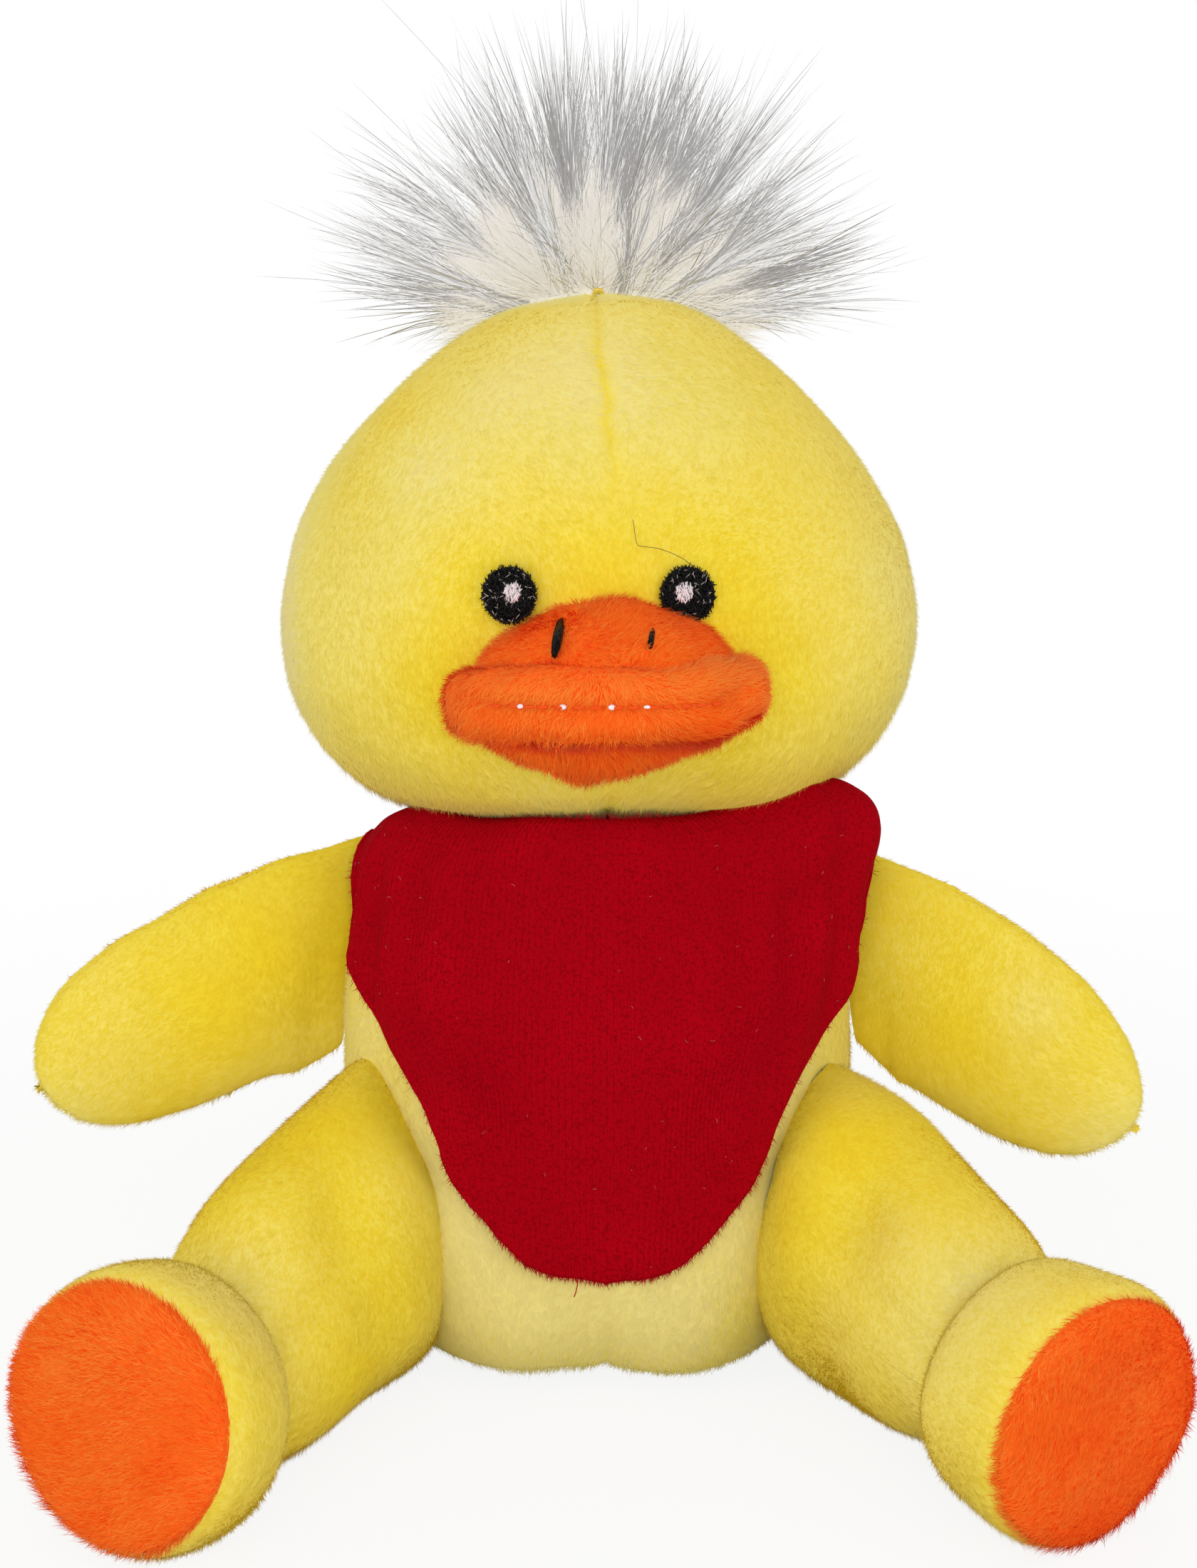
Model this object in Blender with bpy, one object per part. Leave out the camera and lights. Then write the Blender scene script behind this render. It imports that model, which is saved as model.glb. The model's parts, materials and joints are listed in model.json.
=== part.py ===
"""A sewn plush duck that sits with its legs forward and leans back a little.

Each cut and sewn piece is its own object: the fabric panels of the head, torso, arms and legs,
their filling, the padded beak, the embroidery, the long-pile hair tuft and the neck bandana.
Metres, +Z up. The duck faces -Y, its left side is at +X, and the origin is the centre of the
flat that it sits on.
"""

import math

import bmesh
import bpy
from mathutils import Matrix, Vector

# Fabric, seams and cuts
SEAM_GAP = 0.0003
PLUSH_THICKNESS = 0.0016
ARM_PLUSH_THICKNESS = 0.0012
REST_FLAT_DEPTH = 0.0005
GUIDE_SIZE = 0.5
SHARP_DEGREES = 50.0
SLOPE_STEP_SHARE = 0.01

# Torso
TORSO_WIDTH = 0.088
TORSO_DEPTH = 0.064
TORSO_HEIGHT = 0.091
NECK_RADIUS = 0.0245
LEAN_DEGREES = 11.0
BEND_SHARE = 0.45
CENTRE_LINE_STEPS = 24
SIDE_SEAM_BACK = 0.008
TORSO_SIDES = 26
TORSO_RINGS = 12
TORSO_SHARES = (
    (0.00, 0.62, 0.60),
    (0.02, 0.74, 0.75),
    (0.06, 0.82, 0.87),
    (0.15, 0.915, 0.96),
    (0.30, 0.965, 1.00),
    (0.50, 1.00, 1.00),
    (0.62, 0.99, 0.98),
    (0.74, 0.965, 0.94),
    (0.84, 0.93, 0.90),
    (0.90, 0.895, 0.87),
    (0.955, 0.82, 0.82),
    (1.00, 2.0 * NECK_RADIUS / TORSO_WIDTH, 2.0 * NECK_RADIUS / TORSO_DEPTH),
)

# Pellet pouch in the seat
POUCH_WIDTH = 0.044
POUCH_DEPTH = 0.034
POUCH_HEIGHT = 0.018
POUCH_FLATNESS = 0.6
POUCH_SIDES = 14
POUCH_RINGS = 6

# Tail
TAIL_LENGTH = 0.026
TAIL_WIDTH = 0.028
TAIL_THICKNESS = 0.017
TAIL_HEIGHT = 0.021
TAIL_RISE_DEGREES = 38.0
TAIL_SIDES = 12
TAIL_SHARES = (
    (0.00, 0.92, 1.00),
    (0.30, 1.00, 1.00),
    (0.60, 0.82, 0.80),
    (0.85, 0.50, 0.52),
    (1.00, 0.00, 0.00),
)

# Head, measured from the neck seam along the leaning neck
HEAD_WIDTH = 0.108
HEAD_DEPTH = 0.088
HEAD_HEIGHT = 0.089
HEAD_FORWARD = 0.003
HEAD_FORWARD_SHARE = 0.3
HEAD_SETTLING_SHARE = 0.6
HEAD_SETTLED_FORWARD_SHARE = 0.5
HEAD_SEAM_BACK = 0.007
HEAD_SIDES = 28
HEAD_RINGS = 13
HEAD_SHARES = (
    (0.00, 2.0 * NECK_RADIUS / HEAD_WIDTH, 2.0 * NECK_RADIUS / HEAD_DEPTH),
    (0.02, 0.61, 0.68),
    (0.06, 0.755, 0.80),
    (0.16, 0.905, 0.93),
    (0.27, 0.98, 0.99),
    (0.37, 1.00, 1.00),
    (0.51, 0.965, 0.975),
    (0.66, 0.85, 0.89),
    (0.80, 0.665, 0.73),
    (0.91, 0.455, 0.52),
    (0.97, 0.28, 0.33),
    (1.00, 0.00, 0.00),
)

# Eyes and their highlights, embroidered
EYE_WIDTH = 0.0090
EYE_HEIGHT = 0.0098
EYE_SPREAD = 0.0278
EYE_LEVEL = 0.0388
EYE_LEAN_DEGREES = 14.0
EYE_STITCH_HEIGHT = 0.0007
HIGHLIGHT_WIDTH = 0.0030
HIGHLIGHT_HEIGHT = 0.0033
HIGHLIGHT_RISE = 0.0004
HIGHLIGHT_STITCH_HEIGHT = 0.0004
STITCH_PAD_SIDES = 16
STITCH_PAD_CROWN_SHARE = 0.55

# Beak
BEAK_WIDTH = 0.041
BEAK_DOME_HEIGHT = 0.0150
BEAK_DOME_REACH = 0.0155
BEAK_MOUTH_LEVEL = 0.0222
BEAK_ROOT_SHARE = 0.06
BEAK_SIDES = 20
BEAK_RINGS = 6
LIP_WIDTH = 0.0530
LIP_REACH = 0.0185
LIP_HEIGHT = 0.0104
LIP_DEPTH = 0.0098
LIP_CURL = 0.0062
LIP_CURL_POWER = 3
LIP_GROOVE = 0.0008
LIP_GROOVE_POWER = 6
LIP_TAPER_SHARE = 0.22
LIP_SIDES = 10
LIP_STEPS = 18
LOWER_BEAK_WIDTH = 0.040
LOWER_BEAK_HEIGHT = 0.0128
LOWER_BEAK_REACH = 0.0095
UPPER_BEAK_POINT_POWER = 1.0
LOWER_BEAK_POINT_POWER = 1.2
NOSTRIL_SPREAD = 0.0145
NOSTRIL_RISE = 0.0088
NOSTRIL_HEIGHTS = {"right": 0.0062, "left": 0.0040}
NOSTRIL_WIDTHS = {"right": 0.0021, "left": 0.0014}
NOSTRIL_LEAN_DEGREES = 10.0
NOSTRIL_STITCH_HEIGHT = 0.0005

# Hair tuft
TUFT_WIDTH = 0.038
TUFT_DEPTH = 0.036
TUFT_BASE_HEIGHT = 0.018
TUFT_SINK = 0.0055
TUFT_BACK = 0.010
TUFT_PILE = 0.039
TUFT_STEPS = 4
TUFT_DROOP = 0.0025
TUFT_FAN = 1.15
LOCK_TAPER = 0.70
LOCK_LENGTH_SHARES = (1.0, 0.86, 0.95, 0.78, 0.92)
LOWEST_LOCK_SHARE = 0.32

# Arms, from the shoulder seam to the tip
ARM_LENGTH = 0.059
ARM_WIDTH = 0.0345
ARM_PADDING = 0.0135
ARM_ROOT_RADIUS = 0.0020
SHOULDER_SHARE = 0.785
SHOULDER_SEAM_LEAN_DEGREES = 7.5
ARM_DROOP_DEGREES = {"left": 41.5, "right": 33.5}
ARM_FORWARD_DEGREES = 14.0
ARM_SIDES = 16
ARM_RINGS = 10
ARM_HOLLOW_SHARE = 0.16
ARM_ROOT_DEGREES = (60.0, 30.0)
ARM_BEND_SHARE = 0.5
ARM_SHARES = (
    (0.00, 0.86, 2.0 * ARM_ROOT_RADIUS / ARM_PADDING),
    (0.08, 0.95, 0.44),
    (0.22, 1.00, 0.74),
    (0.45, 0.97, 1.00),
    (0.65, 0.91, 1.00),
    (0.82, 0.76, 0.88),
    (0.93, 0.52, 0.62),
    (0.98, 0.28, 0.34),
    (1.00, 0.00, 0.00),
)

# Legs, from the hip seam to the ankle
HIP_SEAM_INSET = 0.0120
HIP_SEAM_FRONT = 0.0210
HIP_CENTRE_BACK = 0.0140
HIP_HEIGHT = 0.0262
HIP_YAW_DEGREES = 25.0
HIP_PITCH_DEGREES = 9.0
LEG_LENGTH = 0.0580
LEG_WIDTH = 0.0360
LEG_HEIGHT = 0.0525
LEG_YAW_DEGREES = {"left": 25.5, "right": 24.5}
LEG_SIDES = 18
LEG_RINGS = 9
LEG_START_SHARE = -0.22
LEG_TURN_SHARE = 0.55
ANKLE_RADIUS = 0.0140
LEG_SHARES = (
    (LEG_START_SHARE, 0.40, 0.92),
    (0.00, 0.66, 0.95),
    (0.22, 0.90, 0.95),
    (0.45, 1.00, 0.90),
    (0.70, 0.96, 0.79),
    (1.00, 2.0 * ANKLE_RADIUS / LEG_WIDTH, 2.0 * ANKLE_RADIUS / LEG_HEIGHT),
)

# Feet, from the ankle seam to the middle of the sole
FOOT_LENGTH = 0.0240
FOOT_RADIUS = 0.0212
FOOT_YAW_DEGREES = {"left": 35.0, "right": 29.0}
TOE_LIFT_DEGREES = {"left": -2.0, "right": 12.0}
FOOT_SIDES = 20
FOOT_SHARES = (
    (0.00, ANKLE_RADIUS / FOOT_RADIUS),
    (0.035, 0.69),
    (0.08, 0.81),
    (0.20, 0.91),
    (0.42, 0.975),
    (0.66, 1.00),
    (0.84, 0.985),
    (0.92, 0.93),
    (0.965, 0.79),
    (0.99, 0.48),
)
SOLE_SEAM_SHARE = 0.87

# Bandana
BANDANA_THICKNESS = 0.0012
BANDANA_COLUMNS = 45
BANDANA_ROWS = 8
BANDANA_ROW_CROWDING = 1.8
BANDANA_ENDS_DEGREES = 171.0
BANDANA_TOP_SHARE = 0.974
BANDANA_TOP_RISE_SHARE = 0.013
BANDANA_LIFT = 0.0006
BANDANA_FOLD = 0.0018
BANDANA_FOLD_TURNS = 2.0
BANDANA_FOLD_START_SHARE = 0.45
BANDANA_FOLD_RISE_SHARE = 0.30
BANDANA_FOLD_END_SHARE = 0.88
BANDANA_FOLD_FALL_SHARE = 0.08
BANDANA_FOLD_DEGREES = 60.0
BANDANA_FOLD_SPREAD_DEGREES = 28.0
BANDANA_FLAP = 0.0062
BANDANA_FLAP_DEGREES = 72.0
BANDANA_FLAP_SPREAD_DEGREES = 24.0
BANDANA_FLAP_SHARE = 0.925
BANDANA_EDGE_SHARES = (
    (0.00, 0.215),
    (0.085, 0.24),
    (0.155, 0.305),
    (0.23, 0.41),
    (0.29, 0.545),
    (0.36, 0.68),
    (0.42, 0.81),
    (0.48, 0.945),
    (0.56, 0.945),
    (0.66, 0.87),
    (1.00, 0.86),
)
KNOT_WIDTH = 0.0150
KNOT_HEIGHT = 0.0095
KNOT_DEPTH = 0.0085
KNOT_SHARE = 0.92
KNOT_STAND_SHARE = 0.25
KNOT_FLATNESS = 0.8
KNOT_SIDES = 12
KNOT_RINGS = 7
KNOT_TAIL_LENGTH = 0.0240
KNOT_TAIL_WIDTH = 0.0110
KNOT_TAIL_THICKNESS = 0.0026
KNOT_TAIL_SIDES = 6
KNOT_TAIL_SHARES = ((0.0, 0.45), (0.3, 0.75), (0.65, 1.0), (1.0, 0.35))
KNOT_TAIL_SPREAD_DEGREES = 24.0

SIDES = {"left": 1.0, "right": -1.0}
UP = Vector((0.0, 0.0, 1.0))
LEAN = math.radians(LEAN_DEGREES)
NECK_AXIS = Vector((0.0, math.sin(LEAN), math.cos(LEAN)))

YELLOW = (0.87, 0.66, 0.07)
ORANGE = (0.93, 0.13, 0.012)
RED = (0.40, 0.001, 0.005)
BLACK = (0.012, 0.010, 0.010)
PINK_WHITE = (0.72, 0.60, 0.60)
HAIR_WHITE = (0.62, 0.58, 0.54)
FIBRE_WHITE = (0.80, 0.80, 0.78)
PELLET_WHITE = (0.70, 0.70, 0.72)


def clear_scene():
    for item in list(bpy.data.objects):
        bpy.data.objects.remove(item, do_unlink=True)


def material(name, colour, roughness):
    """A fabric finish: a plain colour, rough and not metallic."""
    made = bpy.data.materials.new(name)
    made.use_nodes = True
    shader = made.node_tree.nodes["Principled BSDF"]
    shader.inputs["Base Color"].default_value = (*colour, 1.0)
    shader.inputs["Roughness"].default_value = roughness
    shader.inputs["Metallic"].default_value = 0.0
    made.diffuse_color = (*colour, 1.0)
    return made


def ease(place):
    """A smooth step from 0 to 1."""
    held = min(max(place, 0.0), 1.0)
    return held * held * (3.0 - 2.0 * held)


def share_at(rows, place, column):
    """A column of a table of shares at a place between its rows, on a smooth curve through them."""
    last = len(rows) - 1
    steps = [rows[k + 1][0] - rows[k][0] for k in range(last)]
    rises = [(rows[k + 1][column] - rows[k][column]) / steps[k] for k in range(last)]
    slopes = [rises[0]]
    for before, after in zip(rises, rises[1:]):
        same_way = before * after > 0.0
        slopes.append(2.0 * before * after / (before + after) if same_way else 0.0)
    slopes.append(rises[-1])
    k = next((k for k in range(last) if place <= rows[k + 1][0]), last - 1)
    t = min(max((place - rows[k][0]) / steps[k], 0.0), 1.0)
    low, high = rows[k][column], rows[k + 1][column]
    bend_low, bend_high = slopes[k] * steps[k], slopes[k + 1] * steps[k]
    square, cube = t * t, t * t * t
    return (
        low * (2.0 * cube - 3.0 * square + 1.0)
        + bend_low * (cube - 2.0 * square + t)
        + high * (3.0 * square - 2.0 * cube)
        + bend_high * (cube - square)
    )


def spaced(start, end, count):
    """Places from start to end, closer together near both ends."""
    turn = math.pi / (count - 1)
    return [start + (end - start) * (1.0 - math.cos(turn * k)) / 2.0 for k in range(count)]


def oval(centre, across, along, half_across, half_along, sides):
    """The points of one oval section, in order round it."""
    points = []
    for k in range(sides):
        angle = 2.0 * math.pi * k / sides
        points.append(
            centre
            + across * half_across * math.cos(angle)
            + along * half_along * math.sin(angle)
        )
    return points


def add_rings(form, rings):
    """Joins rings of points into one skin. A ring of one point closes an end."""
    laid = [[form.verts.new(point) for point in ring] for ring in rings]
    for low, high in zip(laid, laid[1:]):
        sides = max(len(low), len(high))
        for k in range(sides):
            after = (k + 1) % sides
            if len(low) == 1:
                form.faces.new((low[0], high[after], high[k]))
            elif len(high) == 1:
                form.faces.new((low[k], low[after], high[0]))
            else:
                form.faces.new((low[k], low[after], high[after], high[k]))
    return laid


def face_outwards(form):
    """Turns every face away from the middle of the form."""
    bmesh.ops.recalc_face_normals(form, faces=form.faces)
    middle = sum((vert.co for vert in form.verts), Vector()) / len(form.verts)
    total = sum(
        face.calc_area() * face.normal.dot(face.calc_center_median() - middle)
        for face in form.faces
    )
    if total < 0.0:
        bmesh.ops.reverse_faces(form, faces=form.faces)
    form.normal_update()


def skin(rings, cap_start=False, cap_end=False):
    """A form from its rings, with a flat cap on an end that is to be closed."""
    form = bmesh.new()
    laid = add_rings(form, rings)
    if cap_start:
        form.faces.new(laid[0])
    if cap_end:
        form.faces.new(laid[-1])
    face_outwards(form)
    return form


def cap_holes(form):
    """Closes each open rim with a flat face."""
    rims = [edge for edge in form.edges if edge.is_boundary]
    if rims:
        bmesh.ops.holes_fill(form, edges=rims, sides=len(form.verts))
        face_outwards(form)


def cut_behind(form, point, facing):
    """Cuts a form along a plane, keeps the part in front of it and closes the cut flat."""
    cut = bmesh.ops.bisect_plane(
        form,
        geom=form.verts[:] + form.edges[:] + form.faces[:],
        plane_co=point,
        plane_no=facing,
        clear_inner=True,
    )
    rim = [item for item in cut["geom_cut"] if isinstance(item, bmesh.types.BMEdge)]
    if rim:
        bmesh.ops.edgenet_fill(form, edges=rim)
    face_outwards(form)


def swollen(form, distance):
    """A closed copy of a form whose surface stands this far off it, inwards if negative."""
    copy = form.copy()
    cap_holes(copy)
    moves = [vert.normal * distance * vert.calc_shell_factor() for vert in copy.verts]
    for vert, move in zip(copy.verts, moves):
        vert.co += move
    copy.normal_update()
    return copy


def pivot(name, location, lean_back=0.0, lean_aside=0.0):
    """An empty on a joint's axis, which carries the pieces that turn about it."""
    empty = bpy.data.objects.new(name, None)
    empty.location = location
    empty.rotation_euler = (-lean_back, lean_aside, 0.0)
    bpy.context.scene.collection.objects.link(empty)
    return empty


def piece(name, form, finish, parent=None):
    """A named object from a form, smooth but for its sharp edges."""
    mesh = bpy.data.meshes.new(name)
    form.to_mesh(mesh)
    mesh.shade_smooth()
    mesh.set_sharp_from_angle(angle=math.radians(SHARP_DEGREES))
    made = bpy.data.objects.new(name, mesh)
    made.parent = parent
    if finish:
        made.data.materials.append(finish)
    bpy.context.scene.collection.objects.link(made)
    return made


def guide(name, form, parent=None):
    """A shape that only cuts others."""
    made = piece(name, form, None, parent)
    made.hide_render = True
    made.display_type = "WIRE"
    return made


def behind_plane(name, point, facing, parent=None):
    """A guide block that fills the space behind a plane."""
    form = bmesh.new()
    bmesh.ops.create_cube(form, size=GUIDE_SIZE)
    turn = facing.to_track_quat("Z", "Y").to_matrix().to_4x4()
    centre = point - facing.normalized() * GUIDE_SIZE / 2.0
    bmesh.ops.transform(form, matrix=Matrix.Translation(centre) @ turn, verts=form.verts)
    made = guide(name, form, parent)
    form.free()
    return made


def cut(made, cutter, operation="DIFFERENCE"):
    modifier = made.modifiers.new(cutter.name, "BOOLEAN")
    modifier.operation = operation
    modifier.object = cutter
    modifier.solver = "EXACT"


def thicken(made, thickness):
    """Makes a surface into fabric of this thickness, inwards from its outer face."""
    modifier = made.modifiers.new("fabric", "SOLIDIFY")
    modifier.thickness = thickness
    modifier.offset = -1.0
    modifier.use_even_offset = True
    modifier.use_rim = True


# Torso


def torso_frame(place):
    """The middle of the torso's section at a share of its height, and its tilt there."""
    step = place / CENTRE_LINE_STEPS
    centre = Vector((0.0, 0.0, -REST_FLAT_DEPTH))
    for k in range(CENTRE_LINE_STEPS):
        tilt = LEAN * ease((k + 0.5) * step / BEND_SHARE)
        centre += Vector((0.0, math.sin(tilt), math.cos(tilt))) * TORSO_HEIGHT * step
    return centre, LEAN * ease(place / BEND_SHARE)


def torso_halves(place):
    """Half the torso's width and half its depth at a share of its height."""
    return (
        share_at(TORSO_SHARES, place, 1) * TORSO_WIDTH / 2.0,
        share_at(TORSO_SHARES, place, 2) * TORSO_DEPTH / 2.0,
    )


def torso_point(place, angle):
    """A point of the torso's surface. Angle 0 is the front, and it grows towards +X."""
    centre, tilt = torso_frame(place)
    half_width, half_depth = torso_halves(place)
    back = Vector((0.0, math.cos(tilt), -math.sin(tilt)))
    across = Vector((math.sin(angle) * half_width, 0.0, 0.0))
    return centre + across - back * half_depth * math.cos(angle)


def torso_off(place, angle, lift):
    """A point that stands off the torso's surface, square to it."""
    step = SLOPE_STEP_SHARE
    here = torso_point(place, angle)
    up = torso_point(place + step, angle) - torso_point(place - step, angle)
    round_it = torso_point(place, angle + step) - torso_point(place, angle - step)
    return here + round_it.cross(up).normalized() * lift


def hip_plane(side):
    """The middle of the hip seam, and the way that its flat faces, outwards."""
    sign = SIDES[side]
    yaw = math.radians(HIP_YAW_DEGREES)
    pitch = math.radians(HIP_PITCH_DEGREES)
    facing = Vector(
        (sign * math.cos(yaw) * math.cos(pitch), -math.sin(yaw) * math.cos(pitch), -math.sin(pitch))
    )
    crease = Vector((sign * (TORSO_WIDTH / 2.0 - HIP_SEAM_INSET), -HIP_SEAM_FRONT, HIP_HEIGHT))
    backwards = Vector((sign * math.sin(yaw), math.cos(yaw), 0.0))
    return crease + backwards * HIP_CENTRE_BACK, facing


def torso_form():
    """The torso's outer surface, open at the neck, flat under the seat and at both hips."""
    rings = []
    for place in spaced(0.0, 1.0, TORSO_RINGS):
        centre, tilt = torso_frame(place)
        half_width, half_depth = torso_halves(place)
        back = Vector((0.0, math.cos(tilt), -math.sin(tilt)))
        rings.append(
            oval(centre, Vector((1.0, 0.0, 0.0)), back, half_width, half_depth, TORSO_SIDES)
        )
    form = skin(rings, cap_start=True)
    cut_behind(form, Vector(), UP)
    for side in SIDES:
        middle, facing = hip_plane(side)
        cut_behind(form, middle, -facing)
    return form


def build_torso(finish, fibre, pellets):
    form = torso_form()
    front_guide = behind_plane(
        "front_of_side_seam", Vector((0.0, SIDE_SEAM_BACK - SEAM_GAP / 2.0, 0.0)), Vector((0, 1, 0))
    )
    back_guide = behind_plane(
        "back_of_side_seam", Vector((0.0, SIDE_SEAM_BACK + SEAM_GAP / 2.0, 0.0)), Vector((0, -1, 0))
    )
    front = piece("torso_front_panel", form, finish)
    thicken(front, PLUSH_THICKNESS)
    cut(front, front_guide, "INTERSECT")
    for side, sign in SIDES.items():
        half = behind_plane(
            f"{side}_of_back_seam", Vector((sign * SEAM_GAP / 2.0, 0.0, 0.0)), Vector((-sign, 0, 0))
        )
        back = piece(f"torso_back_panel_{side}", form, finish)
        thicken(back, PLUSH_THICKNESS)
        cut(back, back_guide, "INTERSECT")
        cut(back, half, "INTERSECT")
    pouch = pouch_form(0.0)
    piece("seat_pellet_pouch", pouch, pellets)
    pouch_space = guide("pouch_space", pouch_form(SEAM_GAP))
    stuffing = piece("torso_stuffing", swollen(form, -PLUSH_THICKNESS - SEAM_GAP), fibre)
    neck = neck_centre()
    below_neck = behind_plane("torso_neck_plane", neck - NECK_AXIS * SEAM_GAP, NECK_AXIS)
    cut(stuffing, below_neck, "INTERSECT")
    cut(stuffing, pouch_space)
    return form


def neck_centre():
    return torso_frame(1.0)[0]


def pouch_form(grow):
    """The flattened bag of pellets that weights the seat."""
    floor = PLUSH_THICKNESS + SEAM_GAP
    centre = Vector((0.0, 0.0, floor + POUCH_HEIGHT / 2.0))
    rings = []
    for k in range(POUCH_RINGS + 1):
        turn = math.pi * k / POUCH_RINGS
        level = centre - UP * (POUCH_HEIGHT / 2.0 + grow) * math.cos(turn)
        across = Vector((1.0, 0.0, 0.0))
        back = Vector((0.0, 1.0, 0.0))
        half_width = (POUCH_WIDTH / 2.0 + grow) * math.sin(turn) ** POUCH_FLATNESS
        half_depth = (POUCH_DEPTH / 2.0 + grow) * math.sin(turn) ** POUCH_FLATNESS
        ends = k in (0, POUCH_RINGS)
        rings.append(
            [level] if ends else oval(level, across, back, half_width, half_depth, POUCH_SIDES)
        )
    return skin(rings)


def build_tail(finish, torso):
    """A short padded tail that points back and up."""
    root = torso_point(TAIL_HEIGHT / TORSO_HEIGHT, math.pi)
    rise = math.radians(TAIL_RISE_DEGREES)
    along = Vector((0.0, math.cos(rise), math.sin(rise)))
    thick = Vector((0.0, -math.sin(rise), math.cos(rise)))
    start = root - along * TAIL_THICKNESS / 2.0
    rings = []
    for place in spaced(0.0, 1.0, len(TAIL_SHARES) + 2)[:-1]:
        half_width = share_at(TAIL_SHARES, place, 1) * TAIL_WIDTH / 2.0
        half_thick = share_at(TAIL_SHARES, place, 2) * TAIL_THICKNESS / 2.0
        centre = start + along * (TAIL_LENGTH + TAIL_THICKNESS / 2.0) * place
        rings.append(
            oval(centre, Vector((1.0, 0.0, 0.0)), thick, half_width, half_thick, TAIL_SIDES)
        )
    rings.append([start + along * (TAIL_LENGTH + TAIL_THICKNESS / 2.0)])
    tail = piece("tail", skin(rings, cap_start=True), finish)
    cut(tail, guide("torso_space", swollen(torso, SEAM_GAP)))


# Bandana


def bandana_lift(place, angle):
    """How far the cloth stands off the torso: folds run down from the neck at both shoulders,
    and a flap bulges out at the left one."""
    away = (abs(angle) - math.radians(BANDANA_FOLD_DEGREES)) / math.radians(
        BANDANA_FOLD_SPREAD_DEGREES
    )
    begun = ease((place - BANDANA_FOLD_START_SHARE) / BANDANA_FOLD_RISE_SHARE)
    ended = ease((place - BANDANA_FOLD_END_SHARE) / BANDANA_FOLD_FALL_SHARE)
    near = math.exp(-away * away) * begun * (1.0 - ended)
    wave = (1.0 - math.cos(2.0 * math.pi * BANDANA_FOLD_TURNS * away)) / 2.0
    beside = (angle - math.radians(BANDANA_FLAP_DEGREES)) / math.radians(BANDANA_FLAP_SPREAD_DEGREES)
    beyond = (place - BANDANA_FLAP_SHARE) / (BANDANA_TOP_SHARE - BANDANA_FLAP_SHARE)
    flap = math.exp(-beside * beside - beyond * beyond)
    return BANDANA_LIFT + BANDANA_FOLD * near * wave + BANDANA_FLAP * flap


def build_bandana(finish, torso):
    """The cloth round the neck: a triangle that hangs down the front, tied behind."""
    ends = math.radians(BANDANA_ENDS_DEGREES)
    form = bmesh.new()
    rows = []
    for row in range(BANDANA_ROWS):
        down = (row / (BANDANA_ROWS - 1)) ** BANDANA_ROW_CROWDING
        line = []
        for column in range(BANDANA_COLUMNS):
            angle = ends * (2.0 * column / (BANDANA_COLUMNS - 1) - 1.0)
            high = BANDANA_TOP_SHARE + BANDANA_TOP_RISE_SHARE * math.cos(angle) ** 2
            low = share_at(BANDANA_EDGE_SHARES, abs(angle) / math.pi, 1)
            place = high + (low - high) * down
            line.append(form.verts.new(torso_off(place, angle, bandana_lift(place, angle))))
        rows.append(line)
    for upper, lower in zip(rows, rows[1:]):
        for k in range(BANDANA_COLUMNS - 1):
            form.faces.new((lower[k], lower[k + 1], upper[k + 1], upper[k]))
    face_outwards(form)
    cloth = piece("bandana", form, finish)
    modifier = cloth.modifiers.new("cloth", "SOLIDIFY")
    modifier.thickness = BANDANA_THICKNESS
    modifier.offset = 1.0
    modifier.use_even_offset = True
    build_knot(finish, torso)


def build_knot(finish, torso):
    """The knot at the nape, with the two short ends that hang from it."""
    off_torso = BANDANA_LIFT + BANDANA_THICKNESS + 2.0 * SEAM_GAP
    middle = torso_off(KNOT_SHARE, math.pi, off_torso + KNOT_DEPTH * KNOT_STAND_SHARE)
    rings = []
    for k in range(KNOT_RINGS + 1):
        turn = math.pi * k / KNOT_RINGS
        centre = middle - Vector((KNOT_WIDTH / 2.0 * math.cos(turn), 0.0, 0.0))
        size = math.sin(turn) ** KNOT_FLATNESS
        ends = k in (0, KNOT_RINGS)
        rings.append(
            [centre]
            if ends
            else oval(
                centre,
                Vector((0.0, 1.0, 0.0)),
                UP,
                KNOT_DEPTH / 2.0 * size,
                KNOT_HEIGHT / 2.0 * size,
                KNOT_SIDES,
            )
        )
    knot = piece("bandana_knot", skin(rings), finish)
    for side, sign in SIDES.items():
        spread = math.radians(KNOT_TAIL_SPREAD_DEGREES)
        along = Vector((sign * math.sin(spread), 0.0, -math.cos(spread)))
        across = Vector((math.cos(spread), 0.0, sign * math.sin(spread)))
        steps = []
        for place, width in KNOT_TAIL_SHARES:
            centre = middle + Vector((0.0, KNOT_DEPTH / 4.0, 0.0)) + along * KNOT_TAIL_LENGTH * place
            steps.append(
                oval(
                    centre,
                    across,
                    Vector((0.0, 1.0, 0.0)),
                    KNOT_TAIL_WIDTH / 2.0 * width,
                    KNOT_TAIL_THICKNESS / 2.0,
                    KNOT_TAIL_SIDES,
                )
            )
        end = guide(f"{side}_knot_end", skin(steps, cap_start=True, cap_end=True))
        cut(knot, end, "UNION")
    cut(knot, guide("cloth_space", swollen(torso, off_torso)))


# Head, in the frame of the neck pivot


def head_halves(place):
    """Half the head's width and half its depth at a share of its height."""
    return (
        share_at(HEAD_SHARES, place, 1) * HEAD_WIDTH / 2.0,
        share_at(HEAD_SHARES, place, 2) * HEAD_DEPTH / 2.0,
    )


def head_centre_line(place):
    """How far the middle of the head's section lies from the neck's axis, backwards."""
    settled = ease((place - HEAD_SETTLING_SHARE) / (1.0 - HEAD_SETTLING_SHARE))
    forward = HEAD_FORWARD * ease(place / HEAD_FORWARD_SHARE)
    return -forward * (1.0 - HEAD_SETTLED_FORWARD_SHARE * settled)


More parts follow.
